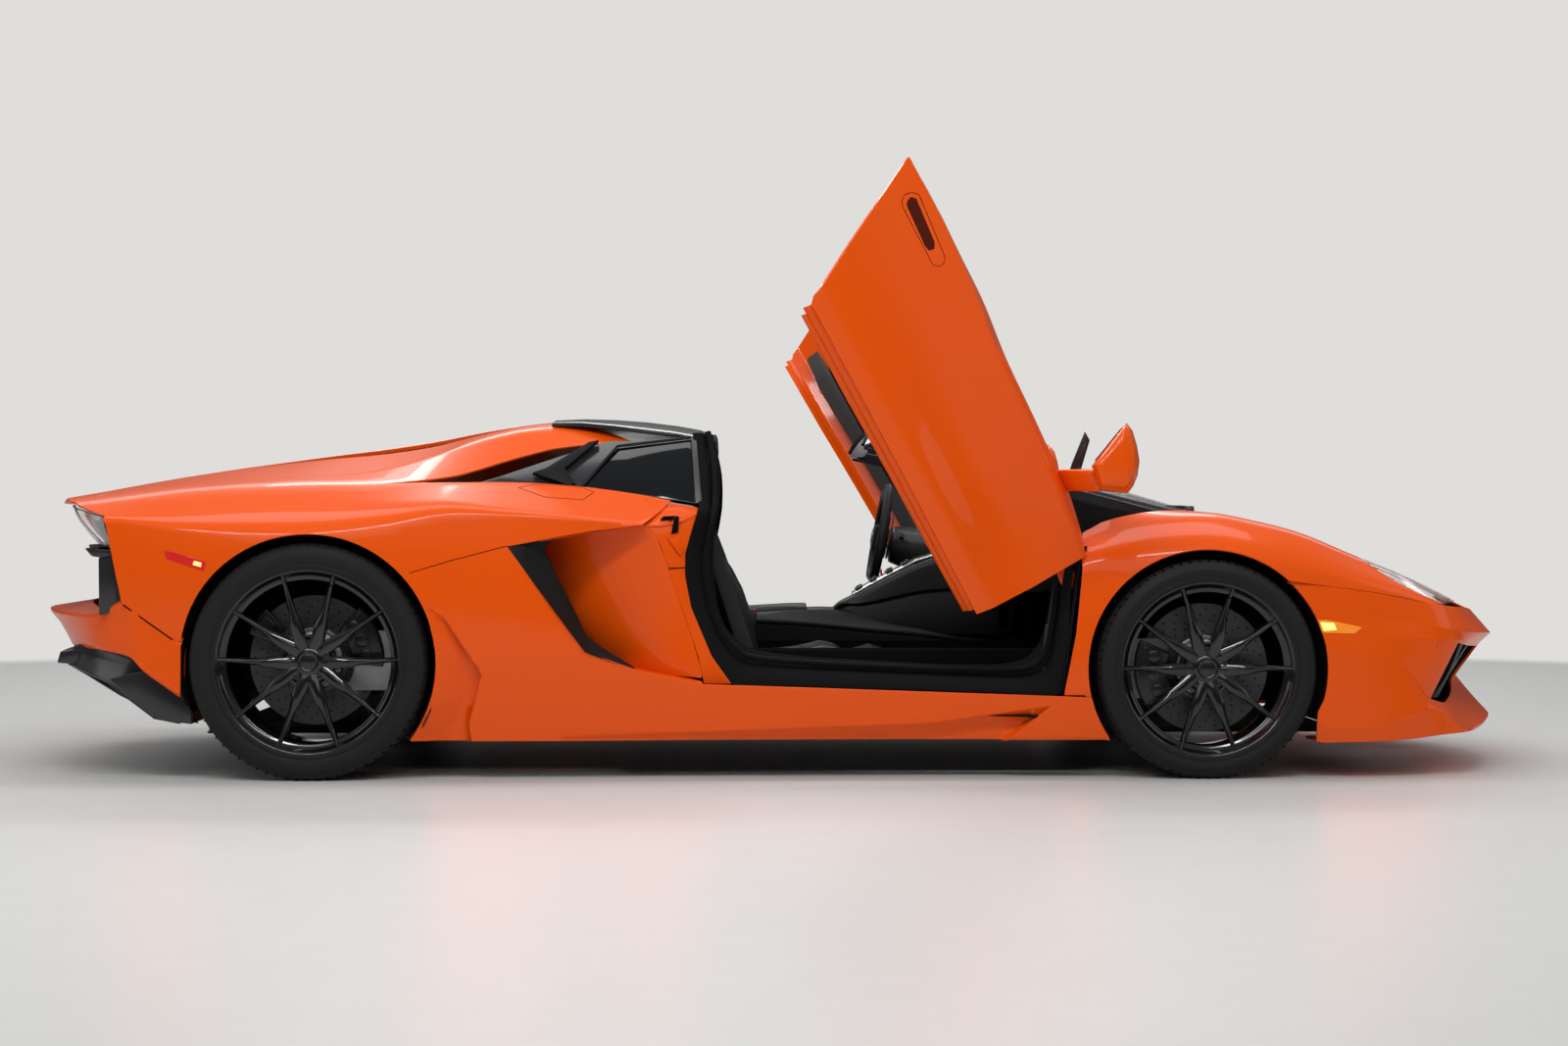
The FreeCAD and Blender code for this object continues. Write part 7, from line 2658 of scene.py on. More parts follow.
# ------------------------------------------------------------------ seats
@dataclass
class Seat:
    """A bucket seat: shell, padded cushion, back, bolsters and headrest.

    Attributes:
        side: right or left.
        centre: distance of its middle from the centreline.
        foot: x and height of the foot of the back.
        head: x and height of the top of the back.
    """

    side: str
    centre: float = .372
    foot: Point2 = (.0, .345)
    head: Point2 = (-.185, .735)

    def build(self) -> None:
        """Builds one seat."""
        self.sign = SIDES[self.side]
        run = np.array(self.head) - np.array(self.foot)
        self.up = run / np.linalg.norm(run)
        self.out = np.array([self.up[1], -self.up[0]])
        self._cushion()
        self._back()
        self._shell()
        self._belt()

    def _spot(self, s: float, t: float, n: float) -> Point3:
        """Point on the back: s up it, t across, n ahead of it.

        Args:
            s: length up the back.
            t: distance across.
            n: distance ahead.

        Returns:
            The point.
        """
        x, z = np.array(self.foot) + self.up * s + self.out * n
        return (float(x), self.centre + t, float(z))

    def _stitch(self, name: str, lines: list[list[Point3]], finish: Finish = THREAD,
                radius: float = .0011) -> None:
        """Draws threads along lines.

        Args:
            name: name of the threads.
            lines: where they run.
            finish: its surface finish.
            radius: their radius.
        """
        made = [sweep("thread", line, circle(radius, 5), up=(.2, 1, .1)) for line in lines if len(line) > 2]
        settle(place(join(name + "_" + self.side, made), sign=self.sign), finish)

    def _cushion(self) -> None:
        """Seat cushion with its two bolsters."""
        rows = [(-.002, .288), (.05, .306), (.15, .318), (.26, .326), (.34, .342), (.395, .345),
                (.430, .325), (.446, .285)]
        cross = np.linspace(-.120, .120, 9)
        grid = [[(x, self.centre + t, z - .014 * abs(t / .12)**3) for t in cross] for x, z in rows]
        pad = quilt("seat_cushion_" + self.side, grid, .070, bevel=.012, way=(0, 0, -1))
        lines = [[(x, self.centre + t, z + .010) for t in (-.115, 0, .115)]
                 for x, z in ((.10, .312), (.19, .320), (.28, .330), (.36, .346))]
        threads = []
        made = puff(pad, reach=.012)
        press(made, [lay_on(made, curve_through(line, 8), (0, 0, -1), lift=0) or line for line in lines],
              width=.008, depth=.007)
        for line in lines:
            threads.append(lay_on(made, curve_through(line, 10), (0, 0, -1)))
        settle(place(made, sign=self.sign), SUEDE, slot="leather", nodes=("seat_" + self.side,))
        self._stitch("cushion_stitches", threads)
        tops = [(-.015, .345), (.04, .362), (.12, .378), (.20, .396), (.245, .389), (.285, .366),
                (.325, .374), (.37, .382), (.42, .360), (.455, .310)]
        for n, way in enumerate((-1, 1)):
            rings = []
            for x, z in tops:
                ring = [(-.034, .25), (-.040, .30), (-.036, z - .020), (-.016, z), (.012, z - .004),
                        (.030, z - .028), (.036, .30), (.034, .25)]
                rings.append([(x, self.centre + way * (.178 + t), h) for t, h in ring])
            bolster = loft(f"cushion_bolster_{n}_{self.side}", rings, bevel=.006)
            puff(bolster, reach=.009)
            seam = lay_on(bolster, [(x, self.centre + way * .168, z) for x, z in curve_2d(tops[:-1])],
                          (0, 0, -1))
            press(bolster, [seam], width=.006, depth=.004)
            seam = lay_on(bolster, [(x, self.centre + way * .168, z) for x, z in curve_2d(tops[:-1])],
                          (0, 0, -1))
            settle(place(bolster, sign=self.sign), LEATHER, slot="leather")
            self._stitch(f"bolster_stitches_{n}", [seam])

    def _back(self) -> None:
        """Back pad, its bolsters and the headrest."""
        cross = np.linspace(-.118, .118, 9)
        grid = [[self._spot(s, t, -.004 + .012 * abs(t / .118)**2 - .02 * max(0, .06 - s) * 5) for t in cross]
                for s in (.035, .08, .14, .20, .26, .32, .355)]
        pad = puff(quilt("seat_back_pad_" + self.side, grid, .052, bevel=.010,
                         way=(-self.out[0], 0, -self.out[1])), reach=.012)
        way = (-self.out[0], 0, -self.out[1])
        rows = [[self._spot(s, t, .03) for t in np.linspace(-.112, .112, 14)] for s in (.10, .165, .23, .295)]
        press(pad, [lay_on(pad, row, way, lift=0) for row in rows], width=.008, depth=.007)
        threads = [lay_on(pad, row, way) for row in rows]
        settle(place(pad, sign=self.sign), SUEDE, slot="leather")
        self._stitch("back_stitches", threads)
        tops = [(-.005, .006), (.05, .020), (.12, .038), (.20, .044), (.28, .040), (.34, .026), (.385, .004)]
        for n, way_y in enumerate((-1, 1)):
            rings = []
            for s, front in tops:
                lean = .178 - .10 * max(s - .26, 0)
                ring = [(-.034, -.050), (-.040, -.01), (-.034, front - .014), (-.010, front),
                        (.014, front - .006), (.032, front - .030), (.038, -.01), (.034, -.050)]
                rings.append([self._spot(s, way_y * (lean + t), h) for t, h in ring])
            bolster = puff(loft(f"back_bolster_{n}_{self.side}", rings, bevel=.006), reach=.009)
            line = [self._spot(s, way_y * (.168 - .10 * max(s - .26, 0)), .07)
                    for s in np.linspace(.01, .375, 26)]
            press(bolster, [lay_on(bolster, line, way, lift=0)], width=.006, depth=.004)
            seam = lay_on(bolster, line, way)
            settle(place(bolster, sign=self.sign), LEATHER, slot="leather")
            self._stitch(f"back_bolster_stitches_{n}", [seam])
        grid = [[self._spot(s, t, -.008 + .010 * (t / .1)**2) for t in np.linspace(-.098, .098, 7)]
                for s in (.375, .40, .425, .440)]
        rest = puff(quilt("headrest_" + self.side, grid, .040, bevel=.010, way=way), reach=.008)
        line = [self._spot(.408, t, .03) for t in np.linspace(-.09, .09, 12)]
        press(rest, [lay_on(rest, line, way, lift=0)], width=.006, depth=.004)
        settle(place(rest, sign=self.sign), LEATHER, slot="leather")

    def _shell(self) -> None:
        """Hard shell behind and under the pads, and its runners."""
        grid = []
        for s in (-.06, .0, .10, .20, .30, .38, .44, .462):
            half = .226 - .24 * max(s - .30, 0)
            grid.append([self._spot(s, half * q, -.068 + .040 * abs(q)**4) for q in np.linspace(-1, 1, 15)])
        back = quilt("seat_shell_" + self.side, grid, .010, bevel=.003, way=(-self.out[0], 0, -self.out[1]),
                     smooth=1)
        settle(place(back, sign=self.sign), CARBON)
        pan = [(-.045, .265), (.30, .262), (.44, .268), (.470, .240), (.455, .200), (.40, .180),
               (-.02, .180), (-.055, .215)]
        base = prism("seat_pan_" + self.side, rounded(pan, radius=.012, steps=3), self.centre - .222,
                     self.centre + .222, bevel=.012, segments=3)
        settle(place(base, sign=self.sign), LEATHER)
        rails = []
        for t in (-.17, .17):
            rails.append(prism("rail", [(.0, .158), (.42, .158), (.42, .176), (.40, .182), (.02, .182),
                                        (.0, .176)], self.centre + t - .016, self.centre + t + .016,
                               bevel=.003))
        rails.append(sweep("handle", [(.448, self.centre + t, .172) for t in (-.12, -.06, 0, .06, .12)],
                           circle(.006, 8)))
        settle(place(join("seat_rails_" + self.side, rails), sign=self.sign), STEEL)

    def _belt(self) -> None:
        """Webbing, its guide and the buckle."""
        line = curve_through([(-.176, .628, .775), (-.165, .622, .74), (-.120, .618, .62),
                              (-.075, .614, .48), (-.035, .613, .36), (-.015, .613, .27)], 5)
        strap = quilt("belt_webbing_" + self.side, [[(x + d * .9, y, z + d * .42)
                                                     for d in (-.023, -.008, .008, .023)]
                                                    for x, y, z in line], .0016, bevel=.0004, way=(0, 1, 0))
        settle(place(strap, sign=self.sign), WEBBING)
        guide = prism("belt_guide_" + self.side,
                      rounded([(-.212, .760), (-.148, .792), (-.160, .822), (-.222, .790)], radius=.008,
                              steps=3), .612, .644, bevel=.005)
        settle(place(guide, sign=self.sign), SATIN_BLACK)
        buckle = loft("belt_buckle_" + self.side, [[(x + dx, y, z + dz)
                                                    for dx, dz in ((-.015, -.02), (.015, -.02), (.018, .03),
                                                                   (-.012, .036))]
                                                   for x, y, z in ((-.02, .120, .445), (-.02, .134, .445))],
                      bevel=.004)
        settle(place(buckle, sign=self.sign), SATIN_BLACK)
        button = prism("belt_button_" + self.side, [(-.026, .478), (-.008, .476), (-.009, .484),
                                                    (-.027, .486)], .1215, .1325, bevel=.001)
        settle(place(button, sign=self.sign), RED_TRIM)


def curve_2d(points: list[Point2]) -> list[Point2]:
    """Runs a smooth flat curve through points.

    Args:
        points: points the curve runs through.

    Returns:
        Points of the curve.
    """
    return [(x, z) for x, _, z in curve_through([(x, 0.0, z) for x, z in points], 5)]


# ------------------------------------------------------------------ cabin
@dataclass
class Cabin:
    """Tunnel, console, dashboard, wheel, pedals and linings.

    Attributes:
        hub: middle of the steering wheel.
        rake: degrees its axis rises towards the driver.
    """

    hub: Point3 = (.430, .372, .718)
    rake: float = 10.4

    def build(self) -> None:
        """Builds the cabin and both seats."""
        for side in SIDES:
            Seat(side).build()
        self._tunnel()
        self._console()
        self._dash()
        self._panel()
        self._wheel()
        self._column()
        self._floor()

    def _tunnel(self) -> None:
        """Padded cover of the centre tunnel and its carpeted sides."""
        rows = [(-.225, .462, .442), (-.12, .471, .450), (-.026, .479, .451), (.10, .487, .444),
                (.218, .492, .436), (.30, .487, .426), (.43, .464, .414), (.52, .446, .407),
                (.61, .424, .396), (.72, .405, .380), (.90, .38, .36)]
        rings = []
        for x, top, edge in rows:
            half = [(.0, top), (.050, top - .002), (.078, top - .008), (.100, edge + .012),
                    (.110, edge + .002), (.110, edge - .008), (.100, edge - .016)]
            rings.append([(x, y, z) for y, z in half] + [(x, .098, .30), (x, -.098, .30)]
                         + [(x, -y, z) for y, z in half[:0:-1]])
        settle(loft("tunnel_cover", rings, bevel=.003, smooth=1), LEATHER, nodes=("centre_console",))
        for side, sign in SIDES.items():
            line = [(x, .1085, edge - .004) for x, top, edge in rows]
            settle(place(sweep("tunnel_seam_" + side, curve_through(line, 4), circle(.0012, 5)), sign=sign),
                   THREAD)
            wall = [[(x, .106, edge - .014 + (.142 - edge) * t) for t in (0, .3, .7, 1)]
                    for x, top, edge in rows]
            settle(place(quilt("tunnel_carpet_" + side, wall, .006, bevel=.002, way=(0, 1, 0)), sign=sign),
                   CARPET)
        elbow = [[(x, y, z - 2.2 * y * y) for y in np.linspace(-.075, .075, 7)]
                 for x, z in ((-.20, .472), (-.12, .482), (.0, .490), (.10, .496), (.17, .497))]
        pad = puff(quilt("tunnel_armrest", elbow, .016, bevel=.004, way=(0, 0, -1)), voxel=.006, reach=.006)
        settle(pad, LEATHER, slot="leather")

    def _console(self) -> None:
        """Raked centre stack with its switch strip."""
        rows = [(.255, .488, .482, .062), (.272, .508, .498, .072), (.309, .524, .500, .080),
                (.342, .542, .496, .084), (.42, .585, .512, .088), (.528, .640, .540, .092),
                (.609, .664, .547, .100), (.70, .680, .55, .112), (.80, .69, .55, .125)]
        rings = []
        for x, top, groove_z, half in rows:
            side = [(0, top), (half * .60, top - .001), (half * .85, top - .006), (half, top - .022),
                    (half + .006, groove_z + .004), (half - .004, groove_z)]
            rings.append([(x, y, z) for y, z in side] + [(x, -y, z) for y, z in side[:0:-1]])
        settle(loft("console_upper", rings, bevel=.002, smooth=1), LEATHER)
        lower = []
        for x, top, groove_z, half in rows:
            side = [(0, groove_z + .002), (half - .010, groove_z + .001), (half - .006, groove_z - .014),
                    (half + .002, groove_z - .05), (half + .006, .40)]
            lower.append([(x, y, max(z, .40)) for y, z in side]
                         + [(x, -y, max(z, .40)) for y, z in side[:0:-1]])
        settle(loft("console_lower", lower, bevel=.002), LEATHER)
        strip = [[(x, y, z + .012 - 2.4 * y * y) for y in np.linspace(-.056, .056, 9)]
                 for x, z in ((.318, .528), (.37, .559), (.42, .586), (.475, .614), (.528, .641),
                              (.600, .662))]
        settle(quilt("switch_strip", strip, .006, bevel=.0015, way=(.35, 0, -.9)), SILVER)
        slope = math.atan2(.110, .206)
        for n, (x, z) in enumerate(((.345, .553), (.392, .580), (.446, .610), (.500, .636))):
            turn = Matrix.Rotation(-slope, 4, "Y")
            knob = lathe("knob", [(.0002, .010), (.009, .010), (.0115, .007), (.012, -.004),
                                  (.0002, -.004)], 24)
            parts = [place(knob, (x, 0, z), turn=turn @ Matrix.Rotation(math.pi / 2, 4, "X"))]
            for y in (-.038, -.019, .019, .038):
                key = prism("key", rounded([(-.012, -.007), (.012, -.007), (.012, .007), (-.012, .007)],
                                           radius=.003, steps=3), -.002, .006, axis="z", bevel=.0012)
                parts.append(place(key, (x - .004, y, z - .002), turn=turn))
            settle(join(f"console_switches_{n}", parts), GLOSS_BLACK)
        cover = prism("start_cover", rounded([(-.016, -.014), (.016, -.014), (.016, .014), (-.016, .014)],
                                             radius=.004, steps=3), .0, .006, axis="z", bevel=.0015)
        settle(place(cover, (.420, 0, .600), turn=Matrix.Rotation(-slope - 1.2, 4, "Y")), RED_TRIM)
        screen = [[(x, y, z) for y in (-.072, 0, .072)] for x, z in ((.640, .690), (.668, .762))]
        settle(quilt("map_screen", screen, .010, bevel=.003, way=(1, 0, .0)), SCREEN)
        rim = sweep("map_screen_rim", [(.636, -.076, .686), (.636, .076, .686), (.666, .076, .768),
                                       (.666, -.076, .768)], circle(.004, 6), closed=True, up=(1, 0, 0))
        settle(rim, GREY_TRIM)

    def _dash(self) -> None:
        """Dashboard from door to door, with its vents and glovebox line."""
        rings = []
        for y in np.linspace(-.600, .600, 33):
            hood = math.exp(-((y - .372) / .15)**4)
            mid = math.exp(-(y / .16)**4)
            end = abs(y) / .6
            knee = .115 * math.exp(-((y - .36) / .17)**4) + .075 * mid
            rings.append([(1.150, y, .752), (1.00, y, .760 + .010 * hood), (.86, y, .765 + .020 * hood),
                          (.745 - .05 * hood, y, .763 + .028 * hood),
                          (.700 - .075 * hood, y, .752 + .034 * hood),
                          (.690 - .065 * hood, y, .738 + .034 * hood),
                          (.700 - .035 * mid, y, .715 + .02 * hood),
                          (.730 - .05 * mid - .03 * hood, y, .69), (.700 - knee - .02 * end, y, .655),
                          (.715 - knee - .02 * end, y, .605), (.760 - knee * .7, y, .560), (.86, y, .545),
                          (1.00, y, .56), (1.150, y, .60)])
        settle(loft("dashboard_body", rings, smooth=1), LEATHER, nodes=("dashboard",))
        line = [(.6985, y, .753) for y in np.linspace(-.58, .18, 20)]
        settle(sweep("dash_seam", line, circle(.0013, 5)), THREAD)
        for n, y in enumerate((-.515, -.115, .115, .560)):
            wide = .052 if abs(y) < .2 else .040 if y < 0 else .034
            six = [(y - wide, .700), (y - wide * .7, .722), (y + wide * .7, .722), (y + wide, .700),
                   (y + wide * .7, .678), (y - wide * .7, .678)]
            inner = [(y + (py - y) * .84, .700 + (pz - .700) * .80) for py, pz in six]
            ring = sweep(f"vent_frame_{n}", [(.664, py, pz) for py, pz in six],
                         [(-.004, -.008), (.004, -.008), (.004, .010), (-.004, .010)], closed=True,
                         up=(1, 0, 0), bevel=.0015)
            settle(ring, GREY_TRIM)
            settle(prism(f"vent_back_{n}", inner, .674, .690, axis="x", bevel=.001), SHADOW)
            slat = prism(f"vent_slats_{n}", [(.660, .6865), (.676, .6885), (.676, .6900), (.660, .6880)],
                         y - wide * .74, y + wide * .74, bevel=.0003)
            settle(Repeater.run(slat, GRILLE, 4, step=(0, 0, .0085)), GRILLE)
        lid = [(.694, -.56, .735), (.700, -.17, .735), (.700, -.15, .66), (.694, -.20, .600),
               (.690, -.52, .600), (.688, -.565, .66)]
        settle(sweep("glovebox_line", curve_through([(x - .004, y, z) for x, y, z in lid], 4, True),
                     circle(.0012, 5), closed=True, up=(1, 0, 0)), SHADOW)

    def _panel(self) -> None:
        """Instrument screen with a plain dial ring and bars."""
        y0 = self.hub[1]
        face = [[(.664 + .020 * t, y, .665 + .088 * t) for y in (y0 - .125, y0, y0 + .125)] for t in (0, 1)]
        settle(quilt("instrument_screen", face, .006, bevel=.002, way=(1, 0, 0)), SCREEN)
        tick = prism("dial_ticks", [(-.0008, .034), (.0008, .034), (.0008, .040), (-.0008, .040)], -.001,
                     .0004, bevel=.0)
        dial = Repeater.run(tick, SILVER, 27, 10)
        turn = Matrix.Rotation(math.radians(-90), 4, "Z") @ Matrix.Rotation(math.radians(130), 4, "Y")
        settle(place(dial, (.6705, y0, .710), turn=Matrix.Rotation(math.radians(12), 4, "Y") @ turn), SILVER)
        bar = prism("dial_bars", [(.6600, .6800), (.6608, .6800), (.6620, .6860), (.6612, .6860)],
                    y0 + .060, y0 + .1, bevel=.0)
        settle(Repeater.run(bar, SILVER, 5, step=(.0027, 0, .012)), SILVER)

    def _tilt(self) -> Matrix:
        """Turn from a wheel drawn in (across, up, towards the driver) to the car.

        Returns:
            The turn.
        """
        a = math.radians(self.rake)
        return Matrix(((0, math.sin(a), -math.cos(a)), (1, 0, 0), (0, math.cos(a), math.sin(a)))).to_4x4()

    def _wheel(self) -> None:
        """Flat-bottomed steering wheel with three spokes."""
        def put(piece: bpy.types.Object, finish: Finish, **kinds: object) -> None:
            """Moves a part of the steering wheel to its hub and settles it.

            Args:
                piece: the object.
                finish: its surface finish.
                kinds: what else settle is told about it.
            """
            settle(place(piece, self.hub, turn=self._tilt()), finish, body="steering", **kinds)

        loop = []
        for a in np.radians(np.arange(-90, 270, 6)):
            x, y = .176 * math.cos(a), .176 * math.sin(a)
            loop.append((x, max(y, -.130 - .010 * (1 - abs(x) / .176)), 0))
        put(sweep("steering_rim", loop, circle(.018, 12, .92), closed=True, up=(0, 0, 1)), LEATHER,
            slot="leather", nodes=("steering_wheel",))
        seam = [(p[0] * .912, p[1] * .912, .004) for p in loop]
        put(sweep("rim_stitches", seam, circle(.0011, 5), closed=True, up=(0, 0, 1)), THREAD)
        spokes = []
        for way in (-1, 1):
            rings = []
            for x, y, half, deep in ((.168, .012, .018, .006), (.13, .008, .017, .008),
                                     (.09, .002, .022, .010), (.055, -.004, .034, .014)):
                rings.append([(way * x, y - half, -.008), (way * x, y + half, -.008),
                              (way * x, y + half * .8, deep), (way * x, y - half * .8, deep)])
            spokes.append(loft("spoke", rings, bevel=.003))
        rings = [[(-w, y, -.008), (w, y, -.008), (w * .8, y, d), (-w * .8, y, d)]
                 for y, w, d in ((-.136, .018, .006), (-.11, .015, .008), (-.08, .017, .010),
                                 (-.045, .03, .014))]
        spokes.append(loft("spoke", rings, bevel=.003))
        put(join("steering_spokes", spokes), GREY_TRIM)
        hub = [(-.062, .030), (-.050, .046), (.050, .046), (.062, .030), (.055, -.018), (.030, -.050),
               (-.030, -.050), (-.055, -.018)]
        rings = [[(x * k, y * k, z) for x, y in rounded(hub, radius=.010, steps=3)]
                 for k, z in ((.80, -.030), (.96, -.020), (1, .0), (.98, .014), (.90, .022), (.60, .026))]
        put(loft("steering_hub", rings, bevel=.003), SUEDE)
        ring = lathe("hub_cap", [(.017, -.001), (.020, -.001), (.020, .002), (.017, .002)], 32)
        put(place(ring, (0, 0, .0265), turn=Matrix.Rotation(math.pi / 2, 4, "X")), SILVER)
        keys = [prism("key", rounded([(w * .078 - .010, .000), (w * .078 + .010, .000),
                                      (w * .078 + .010, .010), (w * .078 - .010, .010)], radius=.003,
                                     steps=3), .008, .014, axis="z", bevel=.001) for w in (-1, 1)]
        put(join("wheel_keys", keys), GLOSS_BLACK)

    def _column(self) -> None:
        """Column shroud, shift paddles and stalks."""
        tilt = self._tilt()

        def put(piece: bpy.types.Object, finish: Finish, **kinds: object) -> None:
            """Moves a part of the column to the hub and settles it.

            Args:
                piece: the object.
                finish: its surface finish.
                kinds: what else settle is told about it.
            """
            settle(place(piece, self.hub, turn=tilt), finish, **kinds)

        rings = []
        for z, w, h in ((-.036, .040, .040), (-.046, .058, .062), (-.09, .066, .070), (-.16, .074, .078),
                        (-.33, .08, .08)):
            rings.append([(w * math.cos(a), h * math.sin(a) * (1.25 if math.sin(a) < 0 else .8), z)
                          for a in np.linspace(0, 2 * math.pi, 20, endpoint=False)])
        put(loft("column_shroud", rings, bevel=.003), SATIN_BLACK, nodes=("steering_column",))
        for n, way in enumerate((-1, 1)):
            blade = [(.050, -.055), (.085, -.070), (.118, -.020), (.118, .045), (.095, .085), (.080, .080),
                     (.092, .030), (.075, -.010), (.050, -.02)]
            put(prism(f"shift_paddle_{n}", rounded([(way * x, y) for x, y in blade], radius=.006, steps=3),
                      -.034, -.029, axis="z", bevel=.001), SATIN_BLACK)
            stalk = sweep(f"stalk_{n}", curve_through([(way * .035, .012, -.075), (way * .08, .016, -.072),
                                                       (way * .13, .022, -.066), (way * .15, .024, -.062)],
                                                      5), circle(.0065, 10),
                          taper=list(np.linspace(1, 1.25, 16)))
            put(stalk, SATIN_BLACK)

    def _floor(self) -> None:
        """Carpets, mats, footwell sides and pedals."""
        for side, sign in SIDES.items():
            carpet = [[(x, y, z) for y in np.linspace(.108, .628 if x < 1 else .550, 7)]
                      for x, z in ((-.22, .145), (.2, .138), (.80, .138), (.95, .16), (1.06, .27),
                                   (1.10, .42), (1.12, .56))]
            settle(place(quilt("carpet_" + side, carpet, .006, bevel=.002, way=(0, 0, -1)), sign=sign),
                   CARPET)
            mat = [[(x, y, z + .006) for y in np.linspace(.14, .57, 6)]
                   for x, z in ((.46, .138), (.62, .138), (.80, .139), (.90, .150))]
            settle(place(quilt("floor_mat_" + side, mat, .005, bevel=.002, way=(0, 0, -1)), sign=sign), SUEDE)
            edge = [(.46, .14, .146), (.46, .57, .146), (.80, .57, .147), (.90, .57, .158),
                    (.90, .14, .158), (.80, .14, .147)]
            settle(place(sweep("mat_edge_" + side, edge, circle(.004, 6), closed=True), sign=sign), LEATHER)
            kick = [[(x, .622, z) for z in np.linspace(.15, .36, 5)] for x in (-.1, .2, .5, .8, 1.05)]
            settle(place(quilt("footwell_side_" + side, kick, .006, bevel=.002, way=(0, 1, 0)), sign=sign),
                   CARPET)
        plates, pads = [], []
        for y, wide, z in ((.300, .030, .30), (.400, .045, .31)):
            face = [(y - wide, z - .055), (y + wide, z - .055), (y + wide, z + .045), (y - wide, z + .045)]
            lean = (Matrix.Translation((1.0, 0, .3)) @ Matrix.Rotation(math.radians(24), 4, "Y")
                    @ Matrix.Translation((-1.0, 0, -.3)))
            plates.append(place(prism("plate", rounded(face, radius=.008, steps=3), .985, .991, axis="x",
                                      bevel=.001), turn=lean))
            plates.append(sweep("arm", [(.99, y, z), (1.03, y, z + .06), (1.09, y, z + .16)],
                                circle(.008, 8), up=(0, 1, 0)))
            for i in range(3):
                row = z - .040 + i * .032
                bar = [(y - wide * .8, row), (y + wide * .8, row), (y + wide * .8, row + .012),
                       (y - wide * .8, row + .012)]
                pads.append(place(prism("bar", rounded(bar, radius=.003, steps=3), .981, .986, axis="x",
                                        bevel=.001), turn=lean))
        settle(join("pedals", plates), STEEL)
        settle(join("pedal_pads", pads), SEAL)


